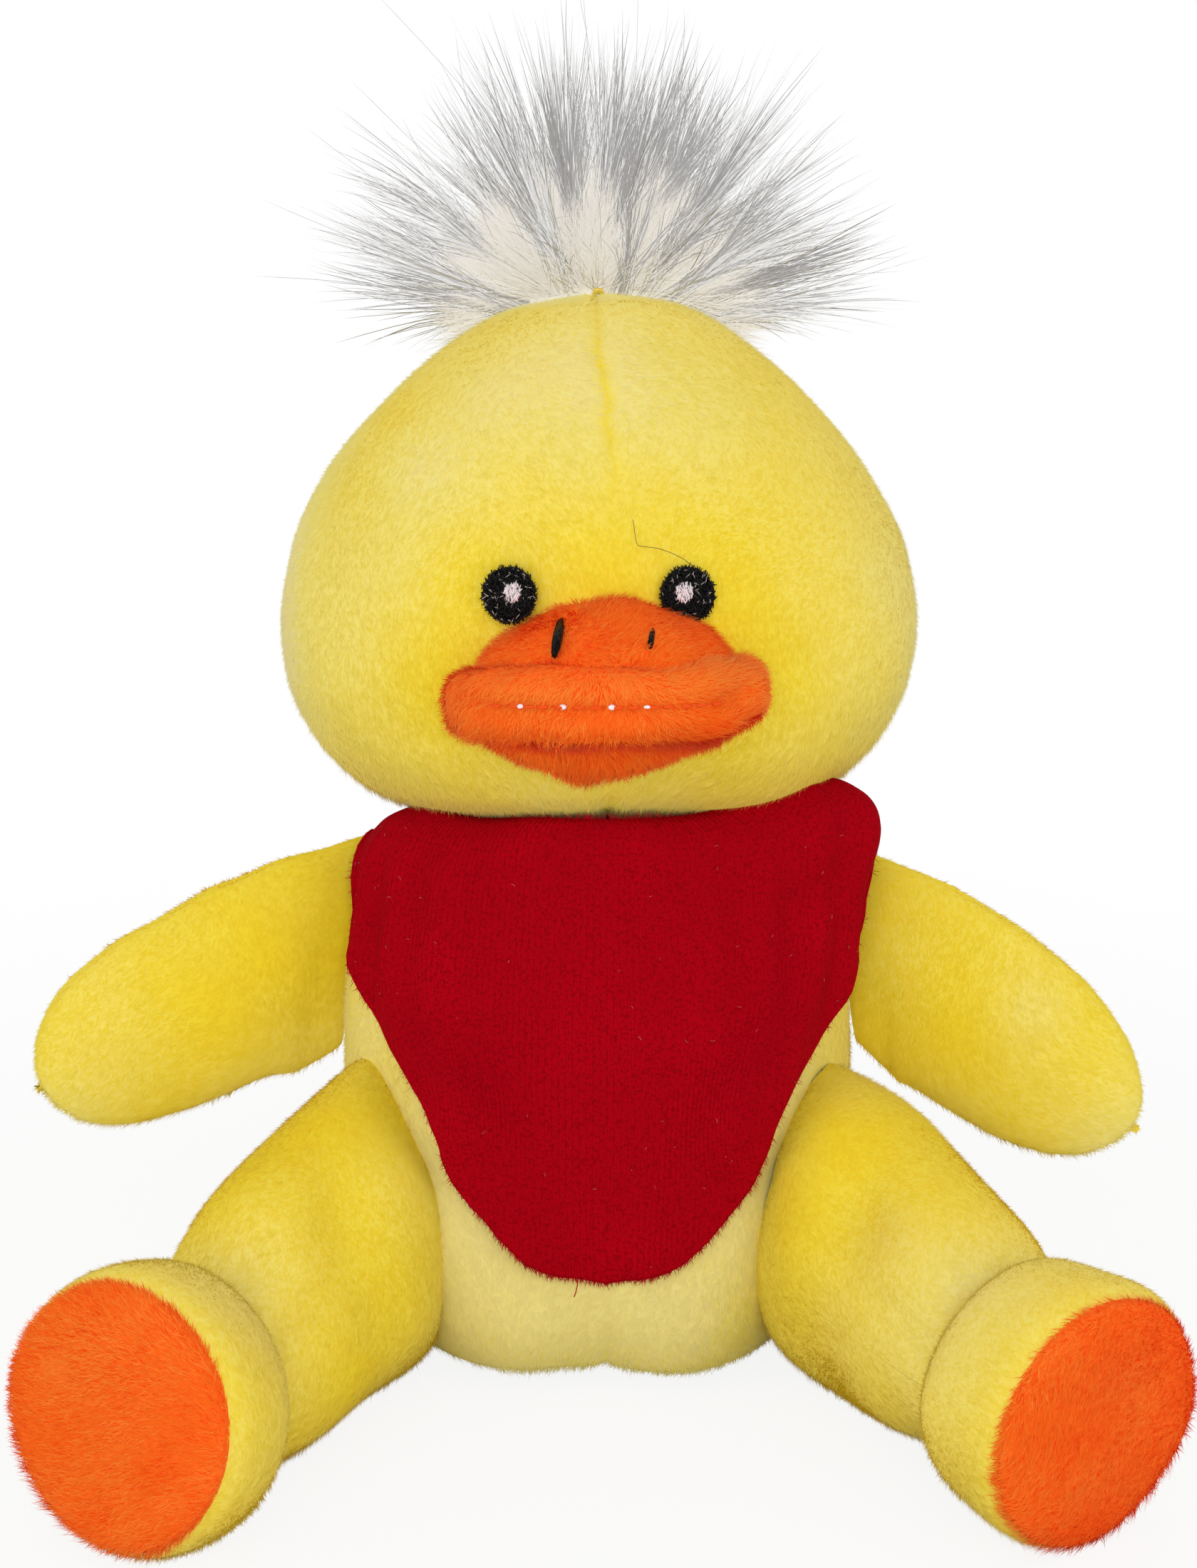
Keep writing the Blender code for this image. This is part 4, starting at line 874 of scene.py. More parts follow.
def group(name, inputs, outputs):
    """A new shader node group with its sockets and its two end nodes."""
    tree = bpy.data.node_groups.new(name, "ShaderNodeTree")
    for label, kind, value in inputs:
        socket = tree.interface.new_socket(label, in_out="INPUT", socket_type=kind)
        socket.default_value = value
    for label, kind in outputs:
        tree.interface.new_socket(label, in_out="OUTPUT", socket_type=kind)
    return tree, tree.nodes.new("NodeGroupInput"), tree.nodes.new("NodeGroupOutput")


def add_noise(tree, scale_from, detail, where):
    noise = tree.nodes.new("ShaderNodeTexNoise")
    noise.inputs["Detail"].default_value = detail
    tree.links.new(where, noise.inputs["Vector"])
    tree.links.new(scale_from, noise.inputs["Scale"])
    return noise


def add_math(tree, operation, *values):
    """A node that reckons with numbers and with what other nodes give. Returns its result."""
    made = tree.nodes.new("ShaderNodeMath")
    made.operation = operation
    for place, value in enumerate(values):
        if isinstance(value, float):
            made.inputs[place].default_value = value
        else:
            tree.links.new(value, made.inputs[place])
    return made.outputs["Value"]


def add_range(tree, value, bounds):
    """A node that carries a value from one range to another. Bounds are numbers by input name."""
    made = tree.nodes.new("ShaderNodeMapRange")
    tree.links.new(value, made.inputs["Value"])
    for label, bound in bounds.items():
        made.inputs[label].default_value = bound
    return made


def add_mix(tree, share, first, second):
    """A colour between two others. Returns its result."""
    made = tree.nodes.new("ShaderNodeMix")
    made.data_type = "RGBA"
    tree.links.new(share, made.inputs["Factor"])
    for label, value in (("A", first), ("B", second)):
        if isinstance(value, tuple):
            made.inputs[label].default_value = value
        else:
            tree.links.new(value, made.inputs[label])
    return made.outputs["Result"]


def add_attribute(tree, name):
    """The value of this name at each point of a mesh."""
    made = tree.nodes.new("ShaderNodeAttribute")
    made.attribute_name = name
    return made.outputs["Fac"]


def nap_group():
    """Brushed nap: soft drifts of paler and deeper pile over a fabric, and its fibres' height."""
    if "Brushed nap" in bpy.data.node_groups:
        return bpy.data.node_groups["Brushed nap"]
    tree, source, result = group(
        "Brushed nap",
        (("Colour", "NodeSocketColor", (0.8, 0.8, 0.8, 1.0)),
         ("Pale", "NodeSocketColor", (0.9, 0.9, 0.9, 1.0)),
         ("Deep", "NodeSocketColor", (0.5, 0.5, 0.5, 1.0)),
         ("Drift scale", "NodeSocketFloat", 40.0),
         ("Fibre scale", "NodeSocketFloat", 1400.0)),
        (("Colour", "NodeSocketColor"), ("Roughness", "NodeSocketFloat"), ("Height", "NodeSocketFloat")),
    )
    where = tree.nodes.new("ShaderNodeTexCoord").outputs["Object"]
    slow = add_noise(tree, source.outputs["Drift scale"], 2.0, where)
    fine = add_noise(tree, source.outputs["Fibre scale"], 4.0, where)
    paler = add_range(tree, slow.outputs["Fac"], {"From Min": 0.48, "From Max": 0.72})
    brushed_colour = add_mix(tree, paler.outputs["Result"], source.outputs["Colour"], source.outputs["Pale"])
    deeper = add_range(tree, fine.outputs["Fac"], {"From Min": 0.54, "From Max": 0.34})
    full_colour = add_mix(tree, deeper.outputs["Result"], brushed_colour, source.outputs["Deep"])
    rough = add_range(tree, fine.outputs["Fac"], {"To Min": 0.78, "To Max": 0.98})
    tree.links.new(full_colour, result.inputs["Colour"])
    tree.links.new(rough.outputs["Result"], result.inputs["Roughness"])
    tree.links.new(fine.outputs["Fac"], result.inputs["Height"])
    return tree


def strand_group():
    """Strand wear: how the gloss changes from one strand to the next."""
    if "Strand wear" in bpy.data.node_groups:
        return bpy.data.node_groups["Strand wear"]
    tree, source, result = group(
        "Strand wear",
        (("Scale", "NodeSocketFloat", 900.0), ("Least", "NodeSocketFloat", 0.6),
         ("Most", "NodeSocketFloat", 0.9)),
        (("Roughness", "NodeSocketFloat"), ("Height", "NodeSocketFloat")),
    )
    where = tree.nodes.new("ShaderNodeTexCoord").outputs["Object"]
    fine = add_noise(tree, source.outputs["Scale"], 2.0, where)
    rough = add_range(tree, fine.outputs["Fac"], {"From Min": 0.3, "From Max": 0.7})
    tree.links.new(source.outputs["Least"], rough.inputs["To Min"])
    tree.links.new(source.outputs["Most"], rough.inputs["To Max"])
    tree.links.new(rough.outputs["Result"], result.inputs["Roughness"])
    tree.links.new(fine.outputs["Fac"], result.inputs["Height"])
    return tree


def finished(name):
    """The finish of this name, once it is made."""
    return bpy.data.materials.get("finish_" + name)


def shader_of(name, sheen, sheen_roughness, sheen_tint, specular):
    made = bpy.data.materials.new("finish_" + name)
    made.use_nodes = True
    tree = made.node_tree
    shader = tree.nodes["Principled BSDF"]
    shader.inputs["Sheen Weight"].default_value = sheen
    shader.inputs["Sheen Roughness"].default_value = sheen_roughness
    shader.inputs["Sheen Tint"].default_value = (*sheen_tint, 1.0)
    shader.inputs["Specular IOR Level"].default_value = specular
    return made, tree, shader


def add_bump(tree, shader, height, strength, distance):
    made = tree.nodes.new("ShaderNodeBump")
    made.inputs["Strength"].default_value = strength
    made.inputs["Distance"].default_value = distance
    tree.links.new(height, made.inputs["Height"])
    tree.links.new(made.outputs["Normal"], shader.inputs["Normal"])


def napped(name, colour, pale, deep, drift_scale=40.0, fibre_scale=1400.0, sheen=0.25, height=0.0003):
    """A fabric with a brushed nap."""
    if finished(name):
        return finished(name)
    made, tree, shader = shader_of(name, sheen, 0.5, pale, 0.15)
    nap = tree.nodes.new("ShaderNodeGroup")
    nap.node_tree = nap_group()
    for label, value in (("Colour", colour), ("Pale", pale), ("Deep", deep)):
        nap.inputs[label].default_value = (*value, 1.0)
    nap.inputs["Drift scale"].default_value = drift_scale
    nap.inputs["Fibre scale"].default_value = fibre_scale
    tree.links.new(nap.outputs["Colour"], shader.inputs["Base Color"])
    tree.links.new(nap.outputs["Roughness"], shader.inputs["Roughness"])
    add_bump(tree, shader, nap.outputs["Height"], 0.6, height)
    return made


def stranded(name, colour, least, most, sheen=0.2, tint=(1.0, 1.0, 1.0), specular=0.2, scale=900.0):
    """Pile, fur or thread of one colour, whose gloss changes from strand to strand."""
    if finished(name):
        return finished(name)
    made, tree, shader = shader_of(name, sheen, 0.45, tint, specular)
    shader.inputs["Base Color"].default_value = (*colour, 1.0)
    wear = tree.nodes.new("ShaderNodeGroup")
    wear.node_tree = strand_group()
    wear.inputs["Scale"].default_value = scale
    wear.inputs["Least"].default_value = least
    wear.inputs["Most"].default_value = most
    tree.links.new(wear.outputs["Roughness"], shader.inputs["Roughness"])
    return made


def yellow_plush(colours):
    """The yellow plush under its pile, brushed paler where its paleness says."""
    if finished("yellow_plush_backing"):
        return finished("yellow_plush_backing")
    made = napped("yellow_plush_backing", colours.yellow, colours.light_yellow, colours.deep_yellow,
                  sheen=0.2, height=0.0001)
    tree = made.node_tree
    nap = next(node for node in tree.nodes if node.type == "GROUP")
    # The paleness holds brushed nap, painted sheen and painted light
    nap_and_painted_light = add_attribute(tree, "paleness")
    for label, full in (("Colour", colours.yellow), ("Pale", colours.light_yellow),
                        ("Deep", colours.deep_yellow)):
        mixed = add_mix(tree, nap_and_painted_light, (*full, 1.0), (*colours.cream, 1.0))
        tree.links.new(mixed, nap.inputs[label])
    return made


def orange_plush(colours):
    return napped("orange_plush_backing", colours.orange, colours.pale_orange, colours.deep_orange,
                  60.0, 1100.0, 0.05)


def red_velour(colours):
    """Velour with fine ribs down the cloth, which follow its own width."""
    if finished("red_velour"):
        return finished("red_velour")
    pale = [1.12 * value for value in colours.red]
    deep = [0.72 * value for value in colours.red]
    made = napped("red_velour", colours.red, pale, deep, 55.0, 1900.0, 0.03, 0.0002)
    tree = made.node_tree
    shader = tree.nodes["Principled BSDF"]
    shader.inputs["Specular IOR Level"].default_value = 0.02
    nap = next(node for node in tree.nodes if node.type == "GROUP")
    turns = add_math(tree, "MULTIPLY", add_attribute(tree, "across_cloth"), 2.0 * math.pi / RIB_SPACING)
    wobble = add_math(tree, "MULTIPLY_ADD", nap.outputs["Height"], 5.0, turns)
    rib = add_math(tree, "SINE", wobble)
    height = add_math(tree, "MULTIPLY_ADD", rib, 0.45, nap.outputs["Height"])
    add_bump(tree, shader, height, 0.7, 0.00035)
    return made


# Torso and tail


def torso_axis(place):
    """The middle of the torso's section at shares of its height, and its tilt there."""
    fine = np.linspace(0.0, 1.0, 401)
    tilt = LEAN * ease(fine / BEND_SHARE)
    steps = TORSO_HEIGHT * np.diff(fine)
    half_tilt = (tilt[1:] + tilt[:-1]) / 2.0
    back = np.concatenate([[0.0], np.cumsum(steps * np.sin(half_tilt))])
    rise = np.concatenate([[0.0], np.cumsum(steps * np.cos(half_tilt))]) - REST_FLAT_DEPTH
    return np.interp(place, fine, back), np.interp(place, fine, rise), LEAN * ease(place / BEND_SHARE)


def torso_at(place, angle):
    """Points of the torso's surface. Angle 0 is the front, and it grows towards +X."""
    back, rise, tilt = torso_axis(place)
    half_width = shares(TORSO_SHARES, place) * TORSO_WIDTH / 2.0
    half_depth = shares(TORSO_SHARES, place, 2) * TORSO_DEPTH / 2.0
    behind = -half_depth * np.cos(angle)
    return np.stack(
        [half_width * np.sin(angle), back + behind * np.cos(tilt), rise - behind * np.sin(tilt)], -1
    )


def torso_side_angle(place):
    """The angle at which the side seam lies."""
    back, _, tilt = torso_axis(place)
    half_depth = shares(TORSO_SHARES, place, 2) * TORSO_DEPTH / 2.0
    reach = (back - SIDE_SEAM_BACK) / np.maximum(half_depth * np.cos(tilt), MM)
    return np.arccos(np.clip(reach, -SIDE_SEAM_LIMIT, SIDE_SEAM_LIMIT))


def hip_planes():
    """The middle of each hip seam and the way that it faces, outwards."""
    planes = {}
    for side, sign in SIDES.items():
        level = math.cos(HIP_PITCH)
        facing = np.array(
            (sign * math.cos(HIP_YAW) * level, -math.sin(HIP_YAW) * level, -math.sin(HIP_PITCH))
        )
        planes[side] = (np.array(JOINTS[f"leg_{side}_lift"]["pos_m"]), facing)
    return planes


def pressed_at_hips(points):
    """Presses the torso flat where the legs are sewn on, with a rounded rim."""
    for middle, facing in hip_planes().values():
        past = (points - middle) @ facing + SEAM_GAP
        kept = -HIP_ROUNDING * np.logaddexp(0.0, -past / HIP_ROUNDING)
        points = points + facing * (kept - past)[..., None]
    return points


def fuller_at_hips(points):
    """Fills the torso out in front of each hip seam, so that it meets the leg flush."""
    for middle, facing in hip_planes().values():
        ahead = unit(AHEAD - facing * (AHEAD @ facing))
        near = 1.0 - ease(-((points - middle) @ facing) / HIP_BLEND)
        low = ease((HIP_TOP - points[..., 2]) / HIP_BLEND) * ease(-points[..., 1] / HIP_BLEND)
        full = HIP_FULLNESS + HIP_TOP_FULLNESS * ease((points[..., 2] - HIP_UPPER_LEVEL) / HIP_UPPER_RISE)
        points = points + ahead * (full * near * low)[..., None]
    return points


def torso_panel(low_angle, high_angle):
    """A panel of the torso between two seams, given as angles at each place."""

    def form(row, column):
        place = np.clip(row, 0.0, 1.0)
        start, end = low_angle(place), high_angle(place)
        points = torso_at(place, start + (end - start) * column)
        closing = ease(row / BASE_CLOSING_SHARE)[..., None]
        centre = np.array((0.0, 0.0, -REST_FLAT_DEPTH))
        return fuller_at_hips(pressed_at_hips(centre + (points - centre) * closing))

    return form


def build_torso(sizes, colours):
    finish = yellow_plush(colours)
    above = BASE_CLOSING_SHARE + (1.0 - BASE_CLOSING_SHARE) * np.linspace(0.0, 1.0, PANEL_ROWS)
    rows = np.concatenate([[0.0, 0.012, 0.028], above])

    def belly(points):
        """A short dart at the foot of the belly, and the uneven filling."""
        dart = bump((points[..., 0] - DART_ASIDE) / DART_WIDTH)
        dart = dart * ease((DART_TOP - points[..., 2]) / DART_FADE)
        front = ease(-points[..., 1] / 0.010)
        soft = 0.45 * MM * drift(points, 0.022, 12)
        push = soft - DART_DEPTH * dart * front
        return points + normals_of(points) * push[..., None]

    centre_back = lambda place: np.full_like(place, math.pi)
    both = {"start": 1.0, "end": 1.0}
    sewn_panel("torso_front_panel", "torso",
               torso_panel(lambda place: -torso_side_angle(place), torso_side_angle),
               rows, crowded(2 * PANEL_COLUMNS), both, finish, sizes, TORSO_SWELL, seed=11, shape=belly)
    sewn_panel("torso_back_panel_left", "torso", torso_panel(torso_side_angle, centre_back),
               rows, crowded(PANEL_COLUMNS), both, finish, sizes, TORSO_SWELL, seed=13)
    sewn_panel("torso_back_panel_right", "torso",
               torso_panel(centre_back, lambda place: 2.0 * math.pi - torso_side_angle(place)),
               rows, crowded(PANEL_COLUMNS), both, finish, sizes, TORSO_SWELL, seed=14)


def build_tail(sizes, colours):
    """A short padded tail that points back and up."""
    share = np.array(TAIL_HEIGHT / TORSO_HEIGHT)
    root = torso_at(share, np.array(math.pi))
    along = np.array((0.0, math.cos(TAIL_RISE), math.sin(TAIL_RISE)))
    thick = np.array((0.0, -math.sin(TAIL_RISE), math.cos(TAIL_RISE)))

    def form(row, column):
        turn = 2.0 * math.pi * column
        half_width = shares(TAIL_SHARES, row) * TAIL_WIDTH / 2.0
        half_thick = shares(TAIL_SHARES, row, 2) * TAIL_THICKNESS / 2.0
        reach = (TAIL_LENGTH + TAIL_THICKNESS / 2.0) * row - TAIL_THICKNESS / 2.0
        return (
            root + along * reach[..., None] + ACROSS * (half_width * np.cos(turn))[..., None]
            + thick * (half_thick * np.sin(turn))[..., None]
        )

    sewn_panel("tail", "torso", form, crowded(36), np.linspace(0.0, 1.0, 49), {}, yellow_plush(colours),
               sizes, seed=15)


# Head


HEAD_SEAT = seat("head_turn", Euler((-LEAN, 0.0, 0.0)))


def head_centre_line(place):
    crown = ease((place - (1.0 - HEAD_CROWN_SHARE)) / HEAD_CROWN_SHARE)
    return -HEAD_FORWARD * ease(place / HEAD_FORWARD_SHARE) * (1.0 - 0.5 * crown)


def head_at(place, angle):
    """Points of the head's surface in its own frame. Angle 0 is the front, growing towards +X."""
    half_width = shares(HEAD_SHARES, place) * HEAD_WIDTH / 2.0
    half_depth = shares(HEAD_SHARES, place, 2) * HEAD_DEPTH / 2.0
    return np.stack(
        [half_width * np.sin(angle), head_centre_line(place) - half_depth * np.cos(angle),
         SEAM_GAP + HEAD_HEIGHT * place], -1
    )


def head_side_angle(place):
    half_depth = shares(HEAD_SHARES, place, 2) * HEAD_DEPTH / 2.0
    reach = (head_centre_line(place) - HEAD_SEAM_BACK) / np.maximum(half_depth, MM)
    return np.arccos(np.clip(reach, -SIDE_SEAM_LIMIT, SIDE_SEAM_LIMIT))


def face_seam_angle(place):
    """The angle of the wavy seam down the middle of the face."""
    upper = ease((place - FACE_SEAM_WAVE_FROM) / 0.1)
    wave = sum(size * np.sin(place * count + start) * upper for size, count, start in FACE_SEAM_WAVES)
    return shares(FACE_SEAM_SHARES, place) + wave


def face_at(across, level, off=0.0):
    """Points of the face in the head's own frame, this far off its surface."""
    place = level / HEAD_HEIGHT
    half_width = shares(HEAD_SHARES, place) * HEAD_WIDTH / 2.0
    half_depth = shares(HEAD_SHARES, place, 2) * HEAD_DEPTH / 2.0
    front = np.sqrt(np.clip(1.0 - (across / half_width) ** 2, 0.0, 1.0))
    return np.stack([across, head_centre_line(place) - half_depth * front - off, level + SEAM_GAP], -1)


def build_head(sizes, colours):
    finish = yellow_plush(colours)
    rows = crowded(int(1.5 * PANEL_ROWS))

    def soft(points):
        """The filling shows as slight lumps, the eyes draw the face in, and the chin is raised."""
        push = 0.40 * MM * drift(points, 0.026, 22)
        for sign in SIDES.values():
            eye = HEAD_SEAT(face_at(np.array(sign * EYE_SPREAD / 2.0), np.array(EYE_LEVEL)))
            push = push - EYE_DRAW * bump(np.linalg.norm(points - eye, axis=-1) / EYE_DRAW_RADIUS)
        chin = CHIN_RISE * bump(points[..., :1] / CHIN_HALF_WIDTH) * ease(-points[..., 1:2] / CHIN_DEPTH)
        chin = chin * (1.0 - ease((points[..., 2:] - HEAD_SEAT(np.zeros(3))[2]) / CHIN_HEIGHT))
        return points + normals_of(points) * push[..., None] + UP * chin

    def between(start, end):
        def form(row, column):
            low, high = start(row), end(row)
            return HEAD_SEAT(head_at(row, low + (high - low) * column))

        return form

    face_depth = shares(FACE_SEAM_SHARES, rows, 2)[:, None]
    columns = crowded(int(1.4 * PANEL_COLUMNS))
    sewn_panel("head_front_panel_left", "head", between(face_seam_angle, head_side_angle), rows, columns,
               {"start": face_depth, "end": 1.0}, finish, sizes, HEAD_SWELL, seed=21, shape=soft)
    sewn_panel("head_front_panel_right", "head",
               between(lambda place: -head_side_angle(place), face_seam_angle), rows, columns,
               {"start": 1.0, "end": face_depth}, finish, sizes, HEAD_SWELL, seed=21, shape=soft)
    sewn_panel("head_back_panel", "head",
               between(head_side_angle, lambda place: 2.0 * math.pi - head_side_angle(place)), rows,
               crowded(2 * PANEL_COLUMNS), {"start": 1.0, "end": 1.0}, finish, sizes, HEAD_SWELL,
               seed=21, shape=soft)


# Beak, in the head's own frame


def mouth_face():
    return float(face_at(np.array(0.0), np.array(BEAK_MOUTH_LEVEL))[1])


def beak_root():
    return mouth_face() * (1.0 - BEAK_ROOT_SHARE)


def beak_reach(reach):
    return reach - mouth_face() * BEAK_ROOT_SHARE


def dome_front(across, rise):
    """The front of the upper beak at a place above the mouth line."""
    inside = 1.0 - ((across - BEAK_ASIDE) / (BEAK_WIDTH / 2.0)) ** 2 - (rise / BEAK_DOME_HEIGHT) ** 2
    return beak_root() - beak_reach(BEAK_DOME_REACH) * np.sqrt(np.clip(inside, 0.0, 1.0))


def bulge(half_width, height, reach, sign, power=1.0, aside=0.8):
    """Half of a padded oval on the face, above or below the mouth line."""
    level = BEAK_MOUTH_LEVEL + SEAM_GAP + sign * SEAM_GAP / 2.0

    def form(row, column):
        turn = math.pi / 2.0 * row
        round_it = BEAK_WRAP * (column - 0.5)
        shift = BEAK_ASIDE * (1.0 + aside * np.cos(turn))
        return HEAD_SEAT(
            np.stack(
                [shift + half_width * np.sin(turn) ** power * np.sin(round_it),
                 beak_root() - reach * np.sin(turn) * np.cos(round_it),
                 level + sign * height * np.clip(np.cos(turn), 0.0, 1.0) ** power], -1
            )
        )

    return form


def lip_at(row, column, grow=0.0):
    """The padded roll along the mouth. Rows run from the right corner to the left one."""
    along = 2.0 * row - 1.0
    turn = along * math.pi / 2.0
    depth = beak_reach(LIP_REACH)
    corner = np.abs(along) ** 3
    curl = LIP_CURL * np.where(along > 0.0, LIP_LEFT_CURL_SHARE, LIP_RIGHT_CURL_SHARE)
    centre = np.stack(
        [BEAK_ASIDE + (LIP_WIDTH - LIP_DEPTH) / 2.0 * np.sin(turn),
         beak_root() - (depth - LIP_DEPTH / 2.0) * np.cos(turn),
         BEAK_MOUTH_LEVEL + SEAM_GAP + curl * corner], -1
    )
    outwards = np.stack([np.sin(turn), -np.cos(turn), np.zeros_like(turn)], -1)
    size = 1.0 - np.where(along > 0.0, LIP_LEFT_TAPER, LIP_RIGHT_TAPER) * along * along
    end = np.clip((np.abs(along) - (1.0 - LIP_END_SHARE)) / LIP_END_SHARE, 0.0, 1.0)
    size = size * np.sqrt(np.clip(1.0 - end**2, 0.0, 1.0))
    angle = 2.0 * math.pi * column
    sewn_share = 1.0 - ease((np.abs(along) - LIP_SEWN_SHARE) / LIP_SEWN_FADE)
    groove = LIP_GROOVE * sewn_share * bump(angle_off(angle, 0.0) / LIP_GROOVE_ANGLE)
    return HEAD_SEAT(
        centre
        + outwards * ((LIP_DEPTH / 2.0 * size + grow) * np.cos(angle) - groove)[..., None]
        + UP * ((LIP_HEIGHT * LIP_FULLNESS * size + grow) * np.sign(np.sin(angle))
                * np.abs(np.sin(angle)) ** LIP_SQUARENESS)[..., None]
    )


def angle_off(angle, middle):
    """How far an angle lies from another, the short way round."""
    return (angle - middle + math.pi) % (2.0 * math.pi) - math.pi


def build_beak(sizes, colours):
    finish = orange_plush(colours)
    upper = bulge(BEAK_WIDTH / 2.0 + DOME_WIDENING, BEAK_DOME_HEIGHT + DOME_RAISING,
                  beak_reach(BEAK_DOME_REACH), 1.0)
    lower = bulge(LOWER_BEAK_WIDTH / 2.0 + LOWER_BEAK_WIDENING, LOWER_BEAK_HEIGHT - LOWER_BEAK_FLATTENING,
                  beak_reach(LOWER_BEAK_REACH), -1.0, LOWER_BEAK_POWER, LOWER_BEAK_ASIDE_SHARE)
    for name, kind, form, rows, columns, seed, lumps in (
        ("upper_beak", "dome", upper, np.linspace(0.0, 1.0, 40), 61, 31, lumpy(0.35 * MM, 0.009, 32)),
        ("lower_beak", "lower", lower, np.linspace(0.0, 1.0, 36), 61, 33, lumpy(0.35 * MM, 0.008, 34)),
        ("beak_lip", "lip", lip_at, crowded(90), 65, 35, lumpy(0.30 * MM, 0.007, 36)),
    ):
        sewn_panel(name, "head", form, rows, np.linspace(0.0, 1.0, columns), {}, finish, sizes,
                   seed=seed, pile=kind, shape=lumps)


def lumpy(height, size, seed):
    """The uneven filling of a small pad."""
    return lambda points: points + normals_of(points) * (height * drift(points, size, seed))[..., None]


# Arms


def arm_axes(side):
    sign, droop = SIDES[side], ARM_DROOPS[side]
    ahead, out = math.sin(ARM_FORWARD), math.cos(ARM_FORWARD)
    along = np.array((sign * out * math.cos(droop), -ahead * math.cos(droop), -math.sin(droop)))
    outwards = np.array((sign * out, -ahead, 0.0))
    return along, outwards, unit(np.cross(outwards, UP)), droop


def arm_form(side, first_turn):
    """Half of an arm, from its top seam round to its lower one. Its root is sunk at the shoulder."""
    along, outwards, through, droop = arm_axes(side)
    place_arm = seat(f"arm_{side}_swing", Euler((-LEAN, -SIDES[side] * SHOULDER_SEAM_LEAN, 0.0)))

    def form(row, column):
        turn_down = droop * ease(row / ARM_TURN_SHARE)
        upwards = UP * np.cos(turn_down)[..., None] + outwards * np.sin(turn_down)[..., None]
        angle = first_turn + math.pi * column
        half_width = shares(ARM_SHARES, row) * ARM_WIDTH / 2.0
        half_thick = shares(ARM_SHARES, row, 2) * ARM_PADDING / 2.0
        reach = (ARM_LENGTH * row - ARM_ROOT_SINK * (1.0 - ease(row / ARM_ROOT_SINK_SHARE)))[..., None]
        under = ARM_ROOT_FULLNESS * (1.0 - ease(row / ARM_ROOT_FULLNESS_SHARE))
        under = under * np.clip(-np.cos(angle), 0.0, 1.0)
        sag = UP * (ARM_ROOT_SAG * (1.0 - ease(row / ARM_ROOT_SAG_SHARE)) + under)[..., None]
        return place_arm(
            along * reach - sag + unit(upwards) * (half_width * np.cos(angle))[..., None]
            + through * (half_thick * np.sin(angle))[..., None]
        )

    return form


def build_arms(sizes, colours):
    finish = yellow_plush(colours)
    tip = 1.0 - ARM_TIP_SHARE * (1.0 - np.linspace(0.05, 1.0, 18)) ** 1.7
    rows = np.concatenate([np.linspace(0.0, 1.0 - ARM_TIP_SHARE, 45), tip])
    for side, sign in SIDES.items():
        front = 0.0 if arm_axes(side)[2][1] < 0.0 else math.pi
        for part, first in (("front", front), ("back", front + math.pi)):
            sewn_panel(f"arm_{side}_{part}_panel", f"arm_{side}", arm_form(side, first), rows,
                       crowded(PANEL_COLUMNS), {"start": 0.9, "end": 0.9}, finish, sizes, ARM_SWELL,
                       seed=41 + int(sign), shape=lumpy(0.35 * MM, 0.016, 43))


# Legs and feet


def pointing(yaw, pitch, sign):
    """A way that starts ahead and turns outwards by the yaw and up by the pitch."""
    return np.array(
        (sign * math.sin(yaw) * math.cos(pitch), -math.cos(yaw) * math.cos(pitch), math.sin(pitch))
    )


def ankle_centre(side):
    hip = hip_planes()[side][0]
    lift = TOE_LIFTS[side]
    lowest = max(
        share * FOOT_RADIUS * math.cos(lift) - place * FOOT_LENGTH * math.sin(lift)
        for place, share in FOOT_SHARES[:-1]
    )
    ankle = hip + pointing(LEG_YAWS[side], 0.0, SIDES[side]) * LEG_LENGTH
    ankle[2] = lowest - REST_FLAT_DEPTH
    return ankle


def leg_at(side, place, turn):
    """Points of the leg's surface at shares of its length from the hip seam to the ankle seam."""
    hip = hip_planes()[side][0]
    ankle = ankle_centre(side) - hip
    end_way = pointing(FOOT_YAWS[side], TOE_LIFTS[side], SIDES[side])
    bend = ease((place - (1.0 - ANKLE_BEND_SHARE)) / ANKLE_BEND_SHARE)[..., None]
    way = unit(unit(ankle) * (1.0 - bend) + end_way * bend)
    across = unit(np.cross(way, UP))
    upwards = np.cross(across, way)
    half_width = shares(LEG_SHARES, place) * LEG_WIDTH / 2.0
    half_height = shares(LEG_SHARES, place, 2) * LEG_HEIGHT / 2.0
    rise = HIP_RISE * bump(place / HIP_RISE_SHARE) * np.clip(np.sin(turn), 0.0, 1.0) ** 2
    half_height = half_height + rise
    return (
        hip + ankle * place[..., None] + across * (half_width * np.cos(turn))[..., None]
        + upwards * (half_height * np.sin(turn))[..., None]
    )


def leg_form(side):
    """The leg from just inside the hip seam, where it closes the seam, to the ankle."""
    middle, facing = hip_planes()[side]
    places = np.linspace(LEG_START_SHARE, 0.6, 200)
    turns = np.linspace(0.0, 2.0 * math.pi, 241)
    past = (leg_at(side, *grid(places, turns)) - middle) @ facing + HIP_TUCK
    first = np.argmax(past > 0.0, axis=0)
    starts = places[first]

    def form(row, column):
        turn = 2.0 * math.pi * column
        start = np.interp(turn, turns, starts)
        return leg_at(side, start + (1.0 - start) * row, turn)

    return form


